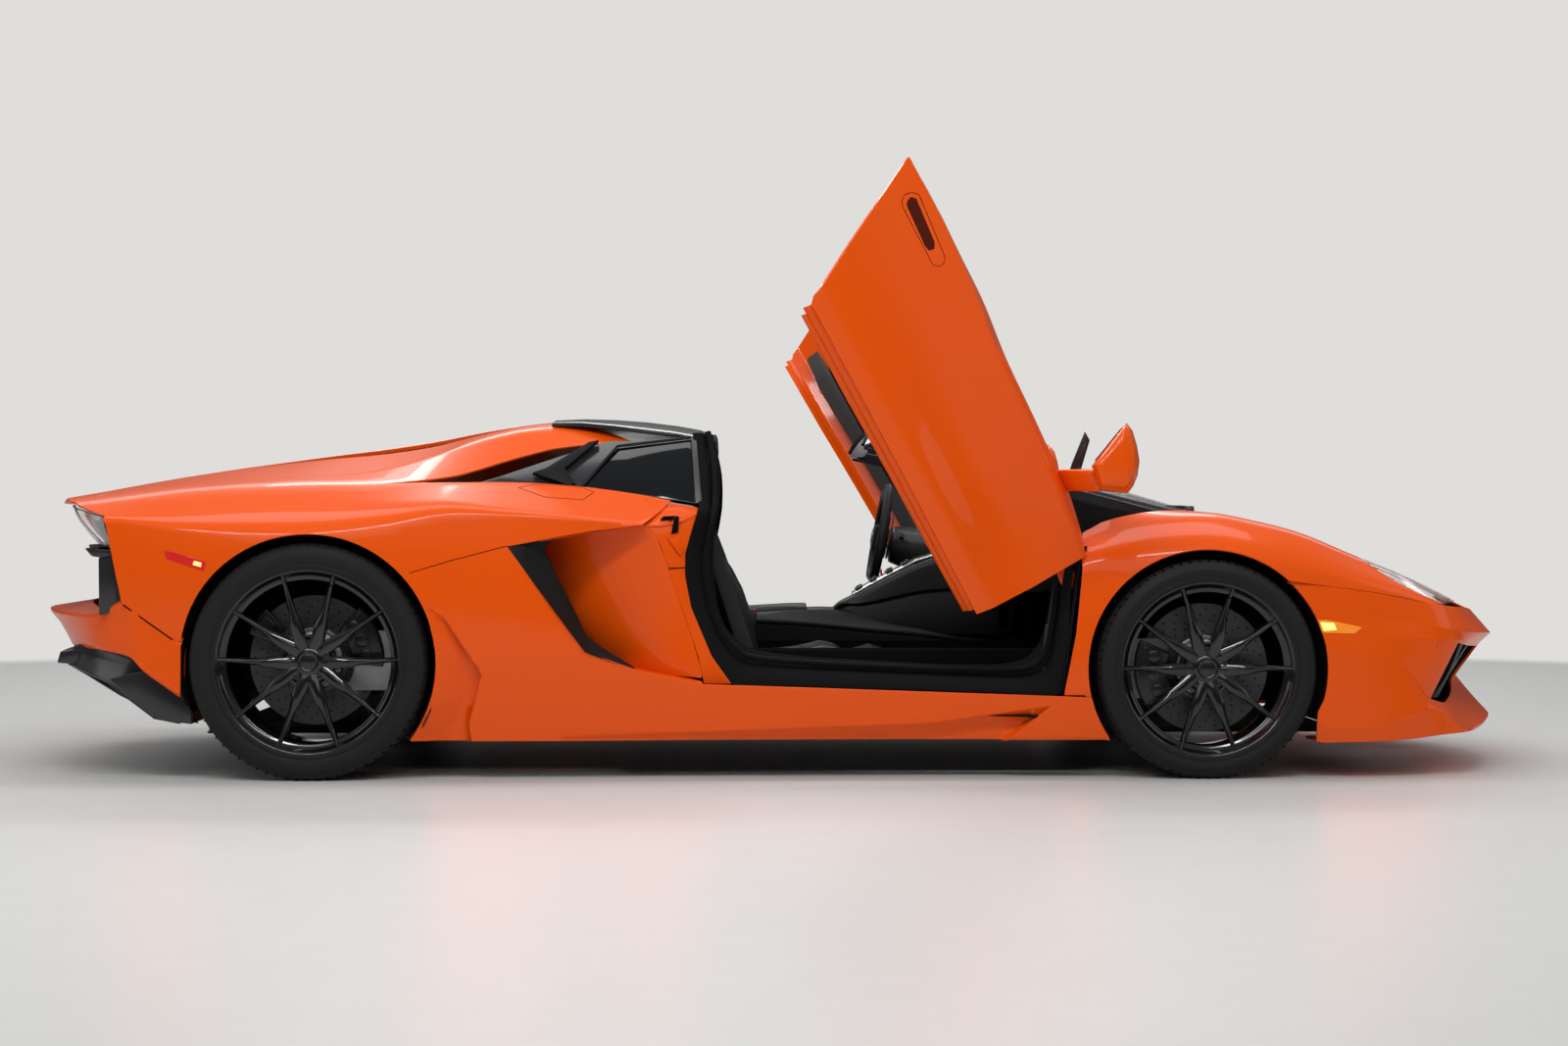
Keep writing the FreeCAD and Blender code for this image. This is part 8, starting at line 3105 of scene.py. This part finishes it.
# ------------------------------------------------------------------ windscreen
@dataclass
class Windscreen:
    """Screen glass, its black surround, pillars, cowl and wipers.

    Attributes:
        rise: x and height of the screen's middle line, from its base up.
    """

    rise: tuple[Point2, ...] = ((1.452, .805), (1.394, .8225), (1.234, .870), (1.00, .935), (.72, 1.010),
                                (.52, 1.058), (.402, 1.084))

    def build(self) -> None:
        """Builds the screen and what surrounds it."""
        self._glass()
        self._surround()
        self._cowl()
        self._wipers()

    def _spot(self, t: float, q: float, lift: float = 0.0) -> Point3:
        """Point on the screen: t from its base up, q from -1 to 1 across.

        Args:
            t: share of the way up.
            q: share of the way across.
            lift: how far it stands off.

        Returns:
            The point.
        """
        x = np.interp(t, np.linspace(0, 1, len(self.rise)), [p[0] for p in self.rise])
        z = np.interp(t, np.linspace(0, 1, len(self.rise)), [p[1] for p in self.rise])
        half = .640 - .125 * t
        back = (.115 * (1 - t) + .045 * t) * abs(q)**2.2
        drop = (.004 * (1 - t) + .050 * t) * abs(q)**2.4
        return (float(x) - back, half * q, float(z) - drop - .018 * abs(q)**6 + lift)

    def _glass(self) -> None:
        """One curved pane."""
        grid = [[self._spot(t, q * .955) for q in np.linspace(-1, 1, 25)] for t in np.linspace(.03, .965, 13)]
        settle(quilt("screen_pane", grid, .005, way=(0, 0, -1)), GLASS, slot="screen", nodes=("windscreen",))

    def _surround(self) -> None:
        """Pillars and header as one black frame, with a satin strip on each pillar."""
        section = [(-.028, .006), (.016, .010), (.030, .002), (.024, -.016), (-.020, -.022)]
        for side, sign in SIDES.items():
            rings = []
            for t in np.linspace(-.02, 1.0, 17):
                wide = .6 + .9 * (1 - t)**2
                x, y, z = self._spot(t, 1.0)
                rings.append([(x - (.10 * (1 - t) if b < 0 else 0) * .4, y + a * wide * .8,
                               z + b * (1 + 1.6 * (1 - t))) for a, b in section])
            pillar = loft("screen_pillar_" + side, rings, bevel=.003, smooth=1)
            settle(place(pillar, sign=sign), GLOSS_BLACK, slot="gloss_black",
                   nodes=("windscreen_frame",) if sign < 0 else ())
            strip = [tuple(np.array(self._spot(t, 1.0))
                           + (-.012, .028 + .012 * (1 - t), -.016 - .026 * (1 - t)))
                     for t in np.linspace(.0, 1, 14)]
            piece = sweep("pillar_strip_" + side, strip,
                          [(-.004, -.008), (.004, -.008), (.004, .008), (-.004, .008)], bevel=.002,
                          up=(0, 0, 1))
            settle(place(piece, sign=sign), GREY_TRIM)
            # Painted shade: the fill at the pillar's base takes the near-black shadow finish, darker than its
            # own satin black, to stay as dark as the shade it sits in.
            fill = [[(1.31, .640, .778), (1.31, .690, .760), (1.31, .735, .745)],
                    [(1.20, .655, .795), (1.20, .705, .765), (1.20, .755, .738)],
                    [(1.10, .660, .815), (1.10, .715, .775), (1.10, .770, .722)],
                    [(1.02, .655, .830), (1.02, .715, .775), (1.02, .775, .700)],
                    [(.955, .650, .840), (.955, .715, .770), (.955, .775, .680)]]
            settle(place(quilt("pillar_base_" + side, fill, .010, bevel=.003, way=(0, -.7, -.7)), sign=sign),
                   SHADOW)
        head = []
        for q in np.linspace(-1, 1, 33):
            x, y, z = self._spot(1.0, q)
            head.append([(x + .030, y, z - .004), (x - .004, y, z + .006), (x - .022, y, z + .001),
                         (x - .026, y, z - .014), (x - .008, y, z - .020), (x + .026, y, z - .020)])
        settle(loft("screen_header", head, bevel=.003, smooth=1), GLOSS_BLACK, slot="gloss_black")
        seal = [tuple(np.array(self._spot(1.0, q)) + (-.028, 0, -.004)) for q in np.linspace(-.97, .97, 25)]
        settle(sweep("header_seal", seal, circle(.006, 8)), SEAL)
        band = [[tuple(np.array(self._spot(t, q)) + (0, 0, -.0065)) for q in np.linspace(-.95, .95, 25)]
                for t in (.035, .06, .085)]
        settle(quilt("screen_band", band, .001, way=(0, 0, -1)), SATIN_BLACK)
        grid = [[(.585 + .010 * abs(y / .1)**2, y, z) for y in np.linspace(-.095, .095, 9)]
                for z in (.990, 1.001, 1.024, 1.034)]
        settle(quilt("cabin_mirror", grid, .014, bevel=.004, way=(1, 0, .1)), GLOSS_BLACK)
        grid = [[(.583 + .010 * abs(y / .1)**2, y, z) for y in np.linspace(-.088, .088, 9)]
                for z in (.995, 1.006, 1.019, 1.029)]
        settle(quilt("cabin_mirror_glass", grid, .002, bevel=.0005, way=(1, 0, .1)), REFLECTOR)
        settle(sweep("cabin_mirror_stem", [(.596, 0, 1.012), (.600, 0, 1.024), (.588, 0, 1.040)],
                     circle(.007, 8), up=(0, 1, 0)), SATIN_BLACK)

    def _cowl(self) -> None:
        """Black panel and tray between the screen and the bonnet."""
        grid = []
        for q in np.linspace(-1, 1, 25):
            x, y, z = self._spot(0, q)
            grid.append([(x + .054, y, z - .044), (x + .030, y, z - .026), (x + .004, y, z - .010),
                         (x - .010, y, z - .006)])
        settle(quilt("cowl_top", grid, .008, bevel=.002, way=(0, 0, -1)), SATIN_BLACK)
        grid = [[(1.500 - .02 * abs(q), .60 * q, .770 - .012 * abs(q)),
                 (1.40 - .08 * abs(q)**2, .61 * q, .775 - .01 * abs(q)),
                 (1.30 - .1 * abs(q)**2, .62 * q, .755)] for q in np.linspace(-1, 1, 17)]
        settle(quilt("cowl_tray", grid, .006, bevel=.002, way=(0, 0, -1)), SHADOW)

    def _wipers(self) -> None:
        """Two arms and blades parked along the base."""
        for n, (q0, q1) in enumerate(((-.72, .02), (.10, .86))):
            arm = [tuple(np.array(self._spot(.055 + .045 * u, q0 + (q1 - q0) * u, .011 - .004 * u)))
                   for u in np.linspace(0, 1, 9)]
            parts = [sweep("arm", arm, [(-.008, -.003), (.008, -.003), (.006, .004), (-.006, .004)],
                           bevel=.001)]
            cap = lathe("cap", [(.0002, .008), (.012, .008), (.015, .004), (.015, -.012), (.0002, -.012)], 24)
            parts.append(place(cap, arm[0], turn=Matrix.Rotation(math.pi / 2, 4, "X")))
            settle(join(f"wiper_arm_{n}", parts), SATIN_BLACK)
            blade = [self._spot(.085 + .05 * u, q0 + .12 + (q1 - q0) * (.15 + .95 * u), .006)
                     for u in np.linspace(0, 1, 12)]
            settle(sweep(f"wiper_blade_{n}", blade, [(-.004, -.006), (.004, -.006), (.007, .001),
                                                     (.002, .006), (-.002, .006), (-.007, .001)]), SEAL)


# ------------------------------------------------------------------ hidden parts
@dataclass
class Underneath:
    """Engine bay slats, arch liners, door gear and the finishes of the plain nodes."""

    def build(self) -> None:
        """Builds what shows through gaps and from below."""
        self._louvres()
        for side, sign in SIDES.items():
            self._liner("front", side, sign, FRONT_ARCH, .562, .925, (-25, 205))
            self._liner("rear", side, sign, REAR_ARCH, .615, .960, (-30, 200))
            self._door_gear(side, sign)
        self._dress()

    def _louvres(self) -> None:
        """Slatted grille in the engine cover."""
        skin = Skin(BODY_REAR)
        for side, sign in SIDES.items():
            parts = []
            for x in np.linspace(-1.80, -.82, 15):
                low, high = skin.at(np.array([x, x]), np.array([.06, .30]))
                wide = .06 + .11 * np.interp(x, [-1.86, -.80], [.35, 1.0])
                rings = [[(x - .022, y, z - .030), (x + .020, y, z - .010), (x + .020, y, z - .006),
                          (x - .022, y, z - .026)]
                         for y, z in ((.030, low[2]), (.030 + wide,
                                                       float(np.interp(.030 + wide, [low[1], high[1]],
                                                                       [low[2], high[2]]))))]
                parts.append(loft("slat", rings, bevel=.001))
            settle(place(join("cover_slats_" + side, parts), sign=sign), GLOSS_BLACK, body="engine_lid")

    def _liner(self, end: str, side: str, sign: int, arch: tuple[float, float, float], low: float,
               high: float, span: tuple[float, float]) -> None:
        """Dark liner over a wheel.

        Args:
            end: front or rear.
            side: right or left.
            sign: -1 for the right of the car, 1 for the left.
            arch: x, height and radius of the arch.
            low: distance out of its inner edge.
            high: distance out of its outer edge.
            span: first and last angle.
        """
        x, z, r = arch
        rows = [[(px, y, pz) for y in np.linspace(low, high, 5)]
                for px, pz in arc((x, z), r + .010, *span, 32)]
        rows = [[(px, y, max(pz, .125)) for px, y, pz in row] for row in rows]
        settle(place(quilt(f"arch_liner_{end}_{side}", rows, .004, way=None), sign=sign), BULKHEAD)
        house = [(max(px, 1.115) if x > 0 else px, pz) for px, pz in arc((x, z), r + .006, -12, 192, 36)]
        wall = prism(f"wheel_house_{end}_{side}", house, low, low + .004, bevel=.001)
        settle(place(wall, sign=sign), BULKHEAD)

    def _door_gear(self, side: str, sign: int) -> None:
        """Gas strut and hinge bracket in the front of the door opening.

        Args:
            side: right or left.
            sign: -1 for the right of the car, 1 for the left.
        """
        tube = sweep("tube", [(.884, .822, .460), (.863, .824, .269)], circle(.010, 14), up=(0, 1, 0))
        rod = sweep("rod", [(.884, .822, .455), (.905, .820, .585)], circle(.0045, 10), up=(0, 1, 0))
        settle(place(join("gas_strut_" + side, [tube, rod]), sign=sign), SATIN_BLACK)
        plate = prism("hinge_plate_" + side, rounded([(.905, .625), (.950, .640), (.968, .604),
                                                      (.950, .560), (.918, .585)], radius=.008, steps=3),
                      .828, .842, bevel=.003)
        settle(place(plate, sign=sign), PAINT)
        wall = [[(x, .800 + out, z) for out in (0, .05, .10)]
                for x, z in ((.915, .262), (.940, .44), (.960, .60), (.985, .70))]
        settle(place(quilt("hinge_post_" + side, wall, .008, bevel=.002, way=(1, 0, 0)), sign=sign),
               SILL_BLACK)

    def _dress(self) -> None:
        """Gives the nodes that stay their finishes."""
        finishes = {"tub_and_frames": CARBON, "undertray": BULKHEAD, "engine": IRON,
                    "front_wishbones": ALLOY, "rear_suspension": ALLOY, "front_knuckle_right": IRON,
                    "front_knuckle_left": IRON}
        for name, finish in finishes.items():
            piece = frame["nodes"][name]
            piece.data.materials.clear()
            piece.data.materials.append(finish.material())


# ------------------------------------------------------------------ wheels
@dataclass
class RoadWheel:
    """Tyre, wheel, brake disc and caliper of one corner.

    Attributes:
        end: front or rear.
        side: right or left.
        width: tyre width.
        radius: tyre radius.
        rim: bead seat radius.
        pairs: spoke pairs.
    """

    end: str
    side: str
    width: float
    radius: float
    rim: float
    pairs: int = 5

    def build(self) -> None:
        """Builds the corner."""
        node = f"{self.end}_{self.side}"
        centre = node_centre("tyre_" + node)
        self.sign = SIDES[self.side]
        self.at = (centre.x - MID, abs(centre.y), centre.z)
        self.body = f"{self.end}_wheel_{self.side}"
        self.half = self.width / 2
        self.face = self.half - 0.010
        self._tyre(node)
        self._rim(node)
        self._spokes(node)
        self._centre(node)
        self._disc(node)
        self._caliper(node)

    def _put(self, piece: bpy.types.Object, finish: Finish, **kinds: object) -> None:
        """Moves a piece to this corner and settles it.

        Args:
            piece: the object.
            finish: its surface finish.
            kinds: what else settle is told about it.
        """
        kinds.setdefault("body", self.body)
        settle(place(piece, self.at, self.sign), finish, **kinds)

    def _tyre(self, node: str) -> None:
        """Tyre with four grooves and ribbed walls.

        Args:
            node: end and side of the corner, as in its nodes.
        """
        r, h, b = self.radius, self.half, self.rim
        wall = [(b + .001, h - .020), (b + .003, h - .009), (b + .008, h - .0055), (b + .013, h - .0055),
                (b + .0145, h - .0035), (b + .017, h - .0035), (b + .019, h - .005), (b + .028, h - .0015),
                (b + .036, h), (r - .030, h - .0005), (r - .024, h - .003), (r - .022, h - .0055),
                (r - .018, h - .0065), (r - .010, h - .0125), (r - .004, h - .021), (r - .0008, h - .031)]
        tread = []
        for n in (-1.5, -0.5, 0.5, 1.5):
            y = -n * h * 0.44
            tread += [(r, y + .0055), (r - .0065, y + .004), (r - .0065, y - .004), (r, y - .0055)]
        inner = [(r - .014, -h + .035), (b + .010, -h + .016), (b + .001, -h + .024), (b + .001, h - .024)]
        profile = wall + tread + [(a, -y) for a, y in wall[::-1]] + inner[:2] + [(b + .010, h - .03)]
        self._put(lathe("tyre_" + node, profile, 128), TYRE, slot="tyre", nodes=("tyre_" + node,))
        # Painted shade: dark blocks in the shadow finish stand for the shade inside the tread cuts.
        block = prism("tread_" + node, [(-.0012, 0), (.0012, 0), (.004, 1), (.0016, 1)], r - .006,
                      r + .0003, axis="z", bevel=0)
        block.data.transform(Matrix(((1, 0, 0, 0), (0, h * .16, 0, h * .76), (0, 0, 1, 0), (0, 0, 0, 1))))
        other = new_object("tread_other", [(v.co.x, -v.co.y, v.co.z) for v in block.data.vertices],
                           [tuple(p.vertices)[::-1] for p in block.data.polygons])
        sipes = Repeater.run(join("tread_cuts_" + node, [block, other]), SHADOW, 72, 5.0)
        self._put(sipes, SHADOW)

    def _rim(self, node: str) -> None:
        """Barrel and dished lip.

        Args:
            node: end and side of the corner, as in its nodes.
        """
        b, f, h = self.rim, self.face, self.half
        profile = [(b + .0105, f - .004), (b + .0095, f), (b + .005, f + .0015), (b + .001, f),
                   (b - .004, f - .006), (b - .012, f - .017), (b - .0185, f - .0225),
                   (b - .0225, f - .024), (b - .0255, f - .0265), (b - .0265, f - .034),
                   (b - .028, f - .075), (b - .020, -h + .05), (b - .010, -h + .018), (b + .004, -h + .012),
                   (b + .008, -h + .014), (b + .008, -h + .022), (b - .003, -h + .030),
                   (b - .013, -h + .06), (b - .021, f - .07), (b - .014, f - .040), (b - .002, f - .022),
                   (b + .008, f - .014)]
        self._put(lathe("rim_" + node, profile, 128), WHEEL, slot="wheel", nodes=("wheel_" + node,))

    def _spokes(self, node: str) -> None:
        """Five forked spokes, drawn once and repeated.

        Args:
            node: end and side of the corner, as in its nodes.
        """
        b, f = self.rim, self.face
        rows = [(0.022, 0.0155, .024, f - .030, f - .062), (0.060, 0.0235, .0215, f - .0185, f - .064),
                (0.095, 0.0310, .0190, f - .0120, f - .066), (0.128, 0.0395, .0165, f - .0110, f - .064),
                (0.150, 0.0455, .0115, f - .0150, f - .056), (0.200, 0.0590, .0095, f - .0120, f - .044),
                (b - .020, 0.0720, .0075, f - .0125, f - .040),
                (b - .004, 0.0765, .0080, f - .0060, f - .030)]
        arms = []
        for way in (-1, 1):
            rings = []
            for r, off, w, top, low in rows:
                c, t = math.sqrt(max(r * r - off * off, 1e-6)), off * way
                rings.append([(t - w, low, c), (t - w, top - .012, c), (t - w * .92, top - .006, c),
                              (t - w * .30, top, c), (t + w * .30, top, c), (t + w * .92, top - .006, c),
                              (t + w, top - .012, c), (t + w, low, c)])
            arms.append(loft("arm", rings, bevel=.0012, angle=24))
        web = prism("web", [(-.030, .030), (.030, .030), (.036, .072), (.024, .082), (-.024, .082),
                            (-.036, .072)], f - .064, f - .034, axis="y", bevel=.002)
        arms.append(web)
        spokes = Repeater.run(join("spokes_" + node, arms), WHEEL, self.pairs, 360 / self.pairs)
        self._put(spokes, WHEEL, slot="wheel")

    def _centre(self, node: str) -> None:
        """Hub, bare cap, wheel nuts and valve.

        Args:
            node: end and side of the corner, as in its nodes.
        """
        f = self.face
        hub = lathe("hub", [(.0005, f - .072), (.066, f - .072), (.066, f - .040), (.050, f - .034),
                            (.040, f - .024), (.034, f - .021), (.0005, f - .021)], 60)
        self._put(hub, WHEEL, slot="wheel")
        cap = lathe("cap", [(.0003, f - .030), (.031, f - .030), (.0312, f - .019), (.029, f - .0165),
                            (.026, f - .0172), (.024, f - .0185), (.018, f - .0165), (.0003, f - .0155)],
                    48)
        cap.name = "cap_" + node
        self._put(cap, BARE_CAP)
        nut = prism("nut", [(x, z + .0575) for x, z in circle(.0098, 6)], f - .050, f - .022, axis="y",
                    bevel=.0012)
        dimple = lathe("dimple", [(.0002, -.003), (.0058, -.003), (.0058, .0004), (.0042, .0008),
                                  (.0002, .0002)], 16)
        place(dimple, (0, f - .022, .0575))
        seat = lathe("seat", [(.0100, 0), (.0165, 0), (.0165, .0045), (.0150, .007), (.0118, .004),
                              (.0100, .002)], 24)
        place(seat, (0, f - .036, .0575))
        nuts = Repeater.run(join("nuts_" + node, [nut, dimple, seat]), CALIPER, self.pairs, 360 / self.pairs)
        self._put(nuts, CALIPER)
        valve = sweep("valve_" + node, [(.07, f - .030, self.rim - .030), (.068, f - .018, self.rim - .040),
                                        (.067, f - .012, self.rim - .046)], circle(.0042, 10), up=(1, 0, 0),
                      bevel=.0008)
        self._put(valve, SEAL)

    def _disc(self, node: str) -> None:
        """Drilled brake disc with its bell.

        Args:
            node: end and side of the corner, as in its nodes.
        """
        disc = lathe("disc_" + node, [(.094, -.020), (.196, -.020), (.1965, -.014), (.1955, -.010),
                                      (.1955, .004), (.1965, .008), (.196, .014), (.094, .014)], 96)
        self._put(disc, DISC, slot="iron")
        bell = lathe("bell", [(.03, -.016), (.097, -.016), (.0985, .016), (.092, .020), (.086, .034),
                              (.070, .040), (.03, .040)], 64)
        bell.name = "bell_" + node
        self._put(bell, ALLOY)
        # Painted shade: thin dark discs in the shadow finish stand for the shade inside the drilled holes.
        holes = []
        for radius, lag in ((.112, 0), (.128, 4), (.145, 8), (.162, 12), (.180, 3)):
            a = math.radians(lag)
            dot = lathe("hole", [(.0001, .0), (.0026, .0), (.0028, .0007), (.0001, .0007)], 10)
            place(dot, (radius * math.sin(a), .014, radius * math.cos(a)))
            holes.append(dot)
        drilled = Repeater.run(join("drillings_" + node, holes), SHADOW, 24, 15)
        self._put(drilled, SHADOW)

    def _caliper(self, node: str) -> None:
        """Caliper behind the front hubs, ahead of the rear ones, and a parking one at the rear.

        Args:
            node: end and side of the corner, as in its nodes.
        """
        front = self.end == "front"
        body = "steered_" + self.side if front else "chassis"
        mid, spread = (186, 30) if front else (22, 27)
        deep = .062

        def segment(name: str, inner: float, outer: float, low: float, high: float, from_: float,
                    to: float) -> bpy.types.Object:
            """A block that runs round part of the disc.

            Args:
                name: object name.
                inner: its inner radius.
                outer: its outer radius.
                low: one face along the axle.
                high: the other face.
                from_: first angle.
                to: last angle.

            Returns:
                The object.
            """
            edge = arc((0, 0), outer, from_, to, 12) + arc((0, 0), inner, to, from_, 12)
            return prism(name, edge, low, high, axis="y", bevel=.004, smooth=0, segments=3)

        a, b = mid - spread, mid + spread
        parts = [segment("block", .118, .214, .018, deep, a, b),
                 segment("block", .118, .214, -.070, -.024, a, b),
                 segment("bridge", .1985, .218, -.066, deep - .006, a + 2, b - 2)]
        for n in range(3):
            turn = math.radians(mid + (n - 1) * spread * .62)
            pot = lathe("pot", [(.0003, 0), (.021, 0), (.019, .006), (.014, .008), (.0003, .0075)], 28)
            parts.append(place(pot, (.160 * math.cos(turn), deep - .001, .160 * math.sin(turn))))
        for turn in (a + 4, b - 4):
            bolt = prism("bolt", circle(.008, 6), deep - .004, deep + .006, axis="y", bevel=.001)
            parts.append(place(bolt, (.196 * math.cos(math.radians(turn)), 0,
                                      .196 * math.sin(math.radians(turn)))))
        if not front:
            parts += [segment("parking", .128, .212, -.060, .044, 132, 158),
                      segment("parking", .150, .200, .044, .052, 136, 154)]
        self._put(join("caliper_" + node, parts), CALIPER, body=body)
        pipe = sweep("hose_" + node, curve_through([(.205 * math.cos(math.radians(mid)), -.06,
                                                     .205 * math.sin(math.radians(mid))),
                                                    (.22 * math.cos(math.radians(mid + 20)), -.09,
                                                     .22 * math.sin(math.radians(mid + 20))),
                                                    (.15 * math.cos(math.radians(mid + 40)), -.10,
                                                     .15 * math.sin(math.radians(mid + 40))),
                                                    (.06 * math.cos(math.radians(mid + 50)), -.07, .05)],
                                                   5), circle(.005, 8), up=(0, 1, 0))
        self._put(pipe, SEAL, body=body)


def build_wheels() -> None:
    """Builds the four corners."""
    for side in SIDES:
        RoadWheel("front", side, width=.255, radius=.330, rim=.258).build()
        RoadWheel("rear", side, width=.345, radius=.355, rim=.272).build()


def main() -> None:
    """Builds the object, piece by piece."""
    logging.basicConfig(level=logging.INFO, format="%(message)s")
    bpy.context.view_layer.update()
    Studio().build()
    Coachwork().build()
    NoseEnd().build()
    HeadLamps().build()
    TailEnd().build()
    for side in SIDES:
        ScissorDoor(side).build()
    SideOpenings().build()
    Cabin().build()
    Windscreen().build()
    Underneath().build()
    build_wheels()


if __name__ == "__main__":
    main()
